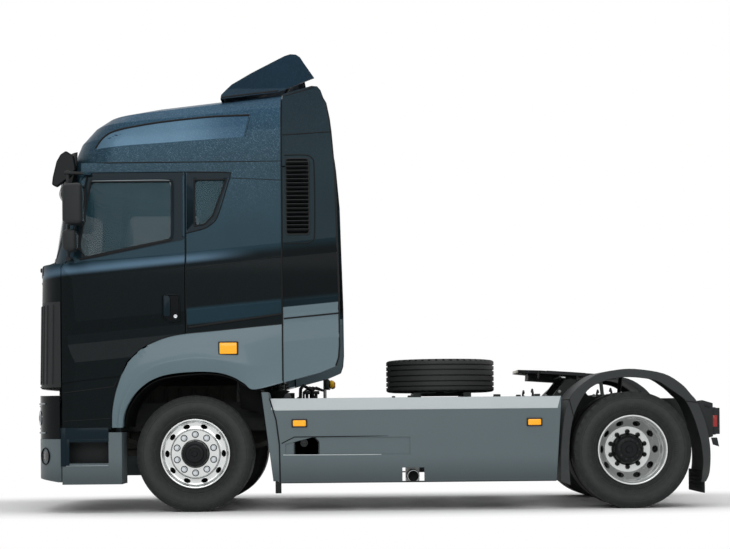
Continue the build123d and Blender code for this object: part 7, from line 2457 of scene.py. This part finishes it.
@dataclass
class CabInside:
    """Seats, steering wheel, dashboard details, bunk and curtains."""

    def build(self) -> None:
        """Builds what is inside the cab."""
        for side in Side:
            Seat(side).build()
        SteeringWheel().build()
        self.dashboard()
        self.bunk()
        self.curtains()

    def dashboard(self) -> None:
        """Instrument hood, blank screens, vents and the tunnel console."""
        made = Shape()
        made.block(at(-1.14, -0.86, 2.07), at(-0.93, -0.34, 2.135), 0.03, 3)
        made.block(at(-1.05, -0.16, 1.82), at(-0.915, 0.22, 2.09), 0.025, 3)
        made.block(at(-0.95, -0.10, 1.275), at(-0.68, 0.20, 1.52), 0.03, 3)
        made.block(at(-0.80, -0.14, 1.275), at(0.02, 0.24, 1.36), 0.02, 2)
        made.piece("dashboard_hoods", "cab", Finishes.dash_trim)
        screens = Shape()
        screens.block(at(-0.935, -0.78, 2.078), at(-0.928, -0.42, 2.125), 0.002)
        screens.block(at(-0.918, -0.11, 1.93), at(-0.912, 0.17, 2.06), 0.003)
        screens.piece("dashboard_screens", "cab", Finishes.gloss_black)
        vents = Shape()
        for y in (-1.06, -0.24, 0.36, 0.98):
            for k in range(5):
                vents.block(at(-0.936, y - 0.06, 1.93 + k * 0.022), at(-0.924, y + 0.06, 1.938 + k * 0.022), 0.002)
        for k in range(4):
            vents.block(at(-0.916, -0.09 + 0.065 * k, 1.86), at(-0.906, -0.045 + 0.065 * k, 1.90), 0.004)
        vents.piece("dashboard_vents", "cab", Finishes.moulded_black)
        lever = Shape().tube([at(-0.45, -0.245, 1.59), at(-0.46, -0.25, 1.70), at(-0.47, -0.24, 1.76)], 0.010, 12)
        lever.lathe([(0.0, 0.0), (0.0, 0.02), (0.02, 0.03), (0.045, 0.03), (0.06, 0.018), (0.064, 0.0)],
                    at(-0.47, -0.24, 1.75), (0, 0, 1), 28)
        lever.block(at(-0.50, -0.29, 1.355), at(-0.40, -0.20, 1.60), 0.012)
        lever.piece("gear_lever", "cab", Finishes.moulded_black)
        pedals = Shape()
        for y in (-0.72, -0.62, -0.50):
            pedals.block(at(-0.98, y - 0.03, 1.40), at(-0.955, y + 0.03, 1.50), 0.006)
            pedals.tube([at(-0.965, y, 1.49), at(-0.99, y, 1.62)], 0.008, 8)
        pedals.piece("pedals", "cab", Finishes.bare_steel)

    def bunk(self) -> None:
        """The padded mattress on its locker."""
        mattress = Shape().block(at(0.130, -1.05, 1.710), at(0.700, 1.05, 1.832), 0.035, 3)
        made = SoftPart("bunk_mattress", Finishes.mattress_cloth, voxel=0.012, cap=0.016).build(mattress)
        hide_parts("bunk")
        locker = Shape().block(at(0.130, -1.055, 1.275), at(0.712, 1.055, 1.700), 0.012)
        locker.piece("bunk_locker", "cab", Finishes.inner_trim)
        doors = Shape()
        for y in (-0.70, 0.0, 0.70):
            doors.block(at(0.118, y - 0.31, 1.32), at(0.132, y + 0.31, 1.655), 0.006)
            doors.block(at(0.108, y - 0.05, 1.600), at(0.120, y + 0.05, 1.618), 0.004)
        doors.piece("bunk_locker_doors", "cab", Finishes.inner_trim)

    def curtains(self) -> None:
        """A gathered curtain on a rail inside each quarter window."""
        rail = Shape().tube([at(0.06, -1.085, 2.935), at(0.40, -1.085, 2.935)], 0.008, 10).both()
        rail = rail.piece("curtain_rails", "cab", Finishes.chrome)
        for side in Side:
            made = Shape()
            steps = 96
            path = []
            for k in range(steps + 1):
                share = k / steps
                wave = 0.017 * math.sin(share * math.tau * 8)
                path.append(at(0.225 + 0.095 * share, -1.085 + wave, 0.0))
            rows = []
            heights = [2.30 + 0.62 * j / 10 for j in range(11)]
            for z in heights:
                rows.append([made.bm.verts.new(Vector((p.x, p.y, z))) for p in path])
            for lower, upper in zip(rows, rows[1:]):
                edges = [made.bm.edges.get(pair) or made.bm.edges.new(pair)
                         for row in (lower, upper) for pair in zip(row, row[1:])]
                bmesh.ops.bridge_loops(made.bm, edges=edges)
            piece = made.flip(side).piece(f"curtain_{side.word}", "cab", Finishes.curtain_cloth, 80)
            solid = piece.modifiers.new("cloth", "SOLIDIFY")
            solid.thickness = 0.0016


# ------------------------------------------------------------------ rear of the cab
@dataclass
class CabRear:
    """Pressed ribs, roof joint, work lamp, air grille, stays and grab rail behind the cab."""

    def build(self) -> None:
        """Builds the rear wall's details."""
        ribs = Shape()
        for y in (-0.84, -0.42, 0.0, 0.42, 0.84):
            ribs.block(at(0.776, y - 0.035, 1.38), at(0.790, y + 0.035, 2.92), 0.006)
        for z in (1.34, 2.10, 2.98):
            ribs.block(at(0.776, -1.05, z - 0.022), at(0.788, 1.05, z + 0.022), 0.005)
        ribs.piece("rear_wall_ribs", "cab", Finishes.body_blue)
        seam = Shape().tube([at(0.7805, -1.10, 3.045), at(0.7805, 1.10, 3.045)], 0.007, 8)
        seam.piece("rear_roof_joint", "cab", Finishes.rubber)
        lamp = Shape().lathe([(0.0, 0.0), (0.0, 0.045), (0.03, 0.055), (0.05, 0.055), (0.05, 0.047)],
                             at(0.80, 0.46, 3.10), (1, 0, -0.35), 36)
        lamp.block(at(0.778, 0.43, 3.08), at(0.812, 0.49, 3.12), 0.006)
        lamp.piece("work_lamp", "cab", Finishes.moulded_black)
        lens = Shape().lathe([(0.048, 0.048), (0.052, 0.03), (0.053, 0.0)], at(0.80, 0.46, 3.10), (1, 0, -0.35), 36)
        lens.piece("work_lamp_lens", "cab", Finishes.clear)
        box = Shape()
        box.block(at(0.778, -0.30, 1.42), at(0.830, 0.30, 1.86), 0.012)
        for k in range(9):
            box.block(at(0.828, -0.26, 1.46 + k * 0.042), at(0.836, 0.26, 1.478 + k * 0.042), 0.003)
        box.piece("rear_air_grille", "cab", Finishes.moulded_black)
        stays = Shape()
        for z in (1.45, 2.25, 3.15):
            stays.tube([at(0.778, -1.06, z), at(1.06, -1.13, z)], 0.011, 10)
        stays.both().piece("extender_stays", "cab", Finishes.moulded_black)
        rails = Shape()
        rails.tube(upright(-0.62, ((0.778, 1.50), (0.84, 1.52), (0.84, 2.10), (0.778, 2.12))),
                   0.013, 12)
        rails.piece("rear_grab_rail", "cab", Finishes.moulded_black)


# ------------------------------------------------------------------ studio
@dataclass
class Studio:
    """Pale floor, soft light and the camera."""

    overhead: float = 400.0
    front: float = 480.0
    ambient: float = 0.5
    camera_place: tuple[float, float, float] = (-0.079, -14.9, 0.811)
    roll: float = 0.0095
    lens: float = 77.8
    sensor: float = 36.0
    shift: float = 0.0008
    rise: float = 0.1955

    def build(self) -> None:
        """Builds floor, world, lamps and camera."""
        self.floor()
        self.world()
        self.lamp("overhead", (0.0, -1.0, 9.0), (0.0, 0.0, 1.0), (12.0, 8.0), self.overhead)
        self.lamp("front_fill", (-1.0, -12.0, 6.0), (0.0, 0.0, 1.8), (10.0, 5.0), self.front)
        camera = bpy.data.cameras.new("camera")
        camera.lens, camera.sensor_width = self.lens, self.sensor
        camera.shift_x, camera.shift_y = self.shift, self.rise
        camera.clip_end = 200.0
        holder = bpy.data.objects.new("camera", camera)
        holder.location = self.camera_place
        holder.rotation_euler = (math.pi / 2, self.roll, 0.0)
        bpy.context.scene.collection.objects.link(holder)
        bpy.context.scene.camera = holder
        bpy.context.scene.view_settings.view_transform = "Standard"

    def floor(self) -> None:
        """A pale floor that fades to white away from the truck."""
        made = Shape()
        made.sheet([(-40, -40, 0), (40, -40, 0), (40, 40, 0), (-40, 40, 0)], 3)
        mesh = bpy.data.meshes.new("floor")
        made.bm.to_mesh(mesh)
        made.bm.free()
        floor = bpy.data.objects.new("floor", mesh)
        bpy.context.scene.collection.objects.link(floor)
        graph = Graph("pale_floor")
        x, y, _ = graph.parts(graph.place())
        away = (x * x * 0.13 + y * y * 0.9).root().above(1.30, 2.3)
        base = graph.node("ShaderNodeBsdfPrincipled", inputs={
            "Base Color": graph.blend(graph.noise(0.7, 3.0), paint(236, 236, 236), paint(244, 244, 244)),
            "Roughness": 0.6, "Specular IOR Level": 0.2})
        white = graph.node("ShaderNodeEmission", inputs={"Color": (1, 1, 1, 1), "Strength": 1.0})
        path = graph.tree.nodes.new("ShaderNodeLightPath")
        seen = Term(graph, path.outputs["Is Camera Ray"]) + Term(graph, path.outputs["Is Glossy Ray"])
        seen = seen + Term(graph, path.outputs["Is Transmission Ray"])
        mixed = graph.node("ShaderNodeMixShader", inputs={0: away * seen.above(0.4, 0.6), 1: base, 2: white})
        graph.node("ShaderNodeOutputMaterial", inputs={"Surface": mixed})
        mesh.materials.append(graph.material)

    def world(self) -> None:
        """White to look at, and an even soft light on the truck."""
        world = bpy.data.worlds.new("studio")
        world.use_nodes = True
        nodes, links = world.node_tree.nodes, world.node_tree.links
        nodes.clear()
        path = nodes.new("ShaderNodeLightPath")
        first = nodes.new("ShaderNodeMath")
        second = nodes.new("ShaderNodeMath")
        second.use_clamp = True
        links.new(path.outputs["Is Camera Ray"], first.inputs[0])
        links.new(path.outputs["Is Glossy Ray"], first.inputs[1])
        links.new(first.outputs[0], second.inputs[0])
        links.new(path.outputs["Is Transmission Ray"], second.inputs[1])
        strength = nodes.new("ShaderNodeMapRange")
        links.new(second.outputs[0], strength.inputs[0])
        strength.inputs[3].default_value = self.ambient
        strength.inputs[4].default_value = 1.0
        background = nodes.new("ShaderNodeBackground")
        background.inputs["Color"].default_value = (1, 1, 1, 1)
        links.new(strength.outputs[0], background.inputs["Strength"])
        output = nodes.new("ShaderNodeOutputWorld")
        links.new(background.outputs[0], output.inputs["Surface"])
        bpy.context.scene.world = world

    def lamp(self, name: str, place: Point, target: Point, size: tuple[float, float], power: float) -> None:
        """Adds a large soft lamp.

        Args:
            name: its name.
            place: where it hangs.
            target: what it faces.
            size: its width and height.
            power: its power in watts.
        """
        light = bpy.data.lights.new(name, "AREA")
        light.shape, light.size, light.size_y, light.energy = "RECTANGLE", size[0], size[1], power
        holder = bpy.data.objects.new(name, light)
        holder.location = place
        holder.rotation_euler = (Vector(target) - Vector(place)).to_track_quat("-Z", "Y").to_euler()
        bpy.context.scene.collection.objects.link(holder)


def main() -> None:
    """Builds every sub-assembly in order."""
    logging.basicConfig(level=logging.INFO, format="%(name)s: %(message)s")
    Studio().build()
    FrameDress().dress()
    side_skin = Skin("cab_shell", "roof_cap", "roof_deflector", "side_extenders", "arch_claddings", "door_left",
                     "door_glass_left", "cab_glass")
    front_skin = Skin("cab_shell", "front_lid", "corner_guides", "cab_glass", "roof_cap", "sun_visor")
    bumper_skin = Skin("front_bumper", "headlamps")
    for side in Side:
        FrontWheel(side).build()
        TwinWheels(side).build()
        cab_side = CabSide(side, side_skin)
        cab_side.build()
        Extender(side, cab_side).build()
        Mirrors(side).build()
    SpareWheel().build()
    left = CabSide(Side.LEFT, side_skin)
    Roof(front_skin, left).build()
    CabFront(front_skin).build()
    Bumper(bumper_skin, CabFront(bumper_skin)).build()
    EntrySteps().build()
    LowerSides(side_skin, left).build()
    RearFenders().build()
    FifthWheel().build()
    ChassisDetail().build()
    CabRear().build()
    CabInside().build()
    LOG.info("built")


if __name__ == "__main__":
    main()
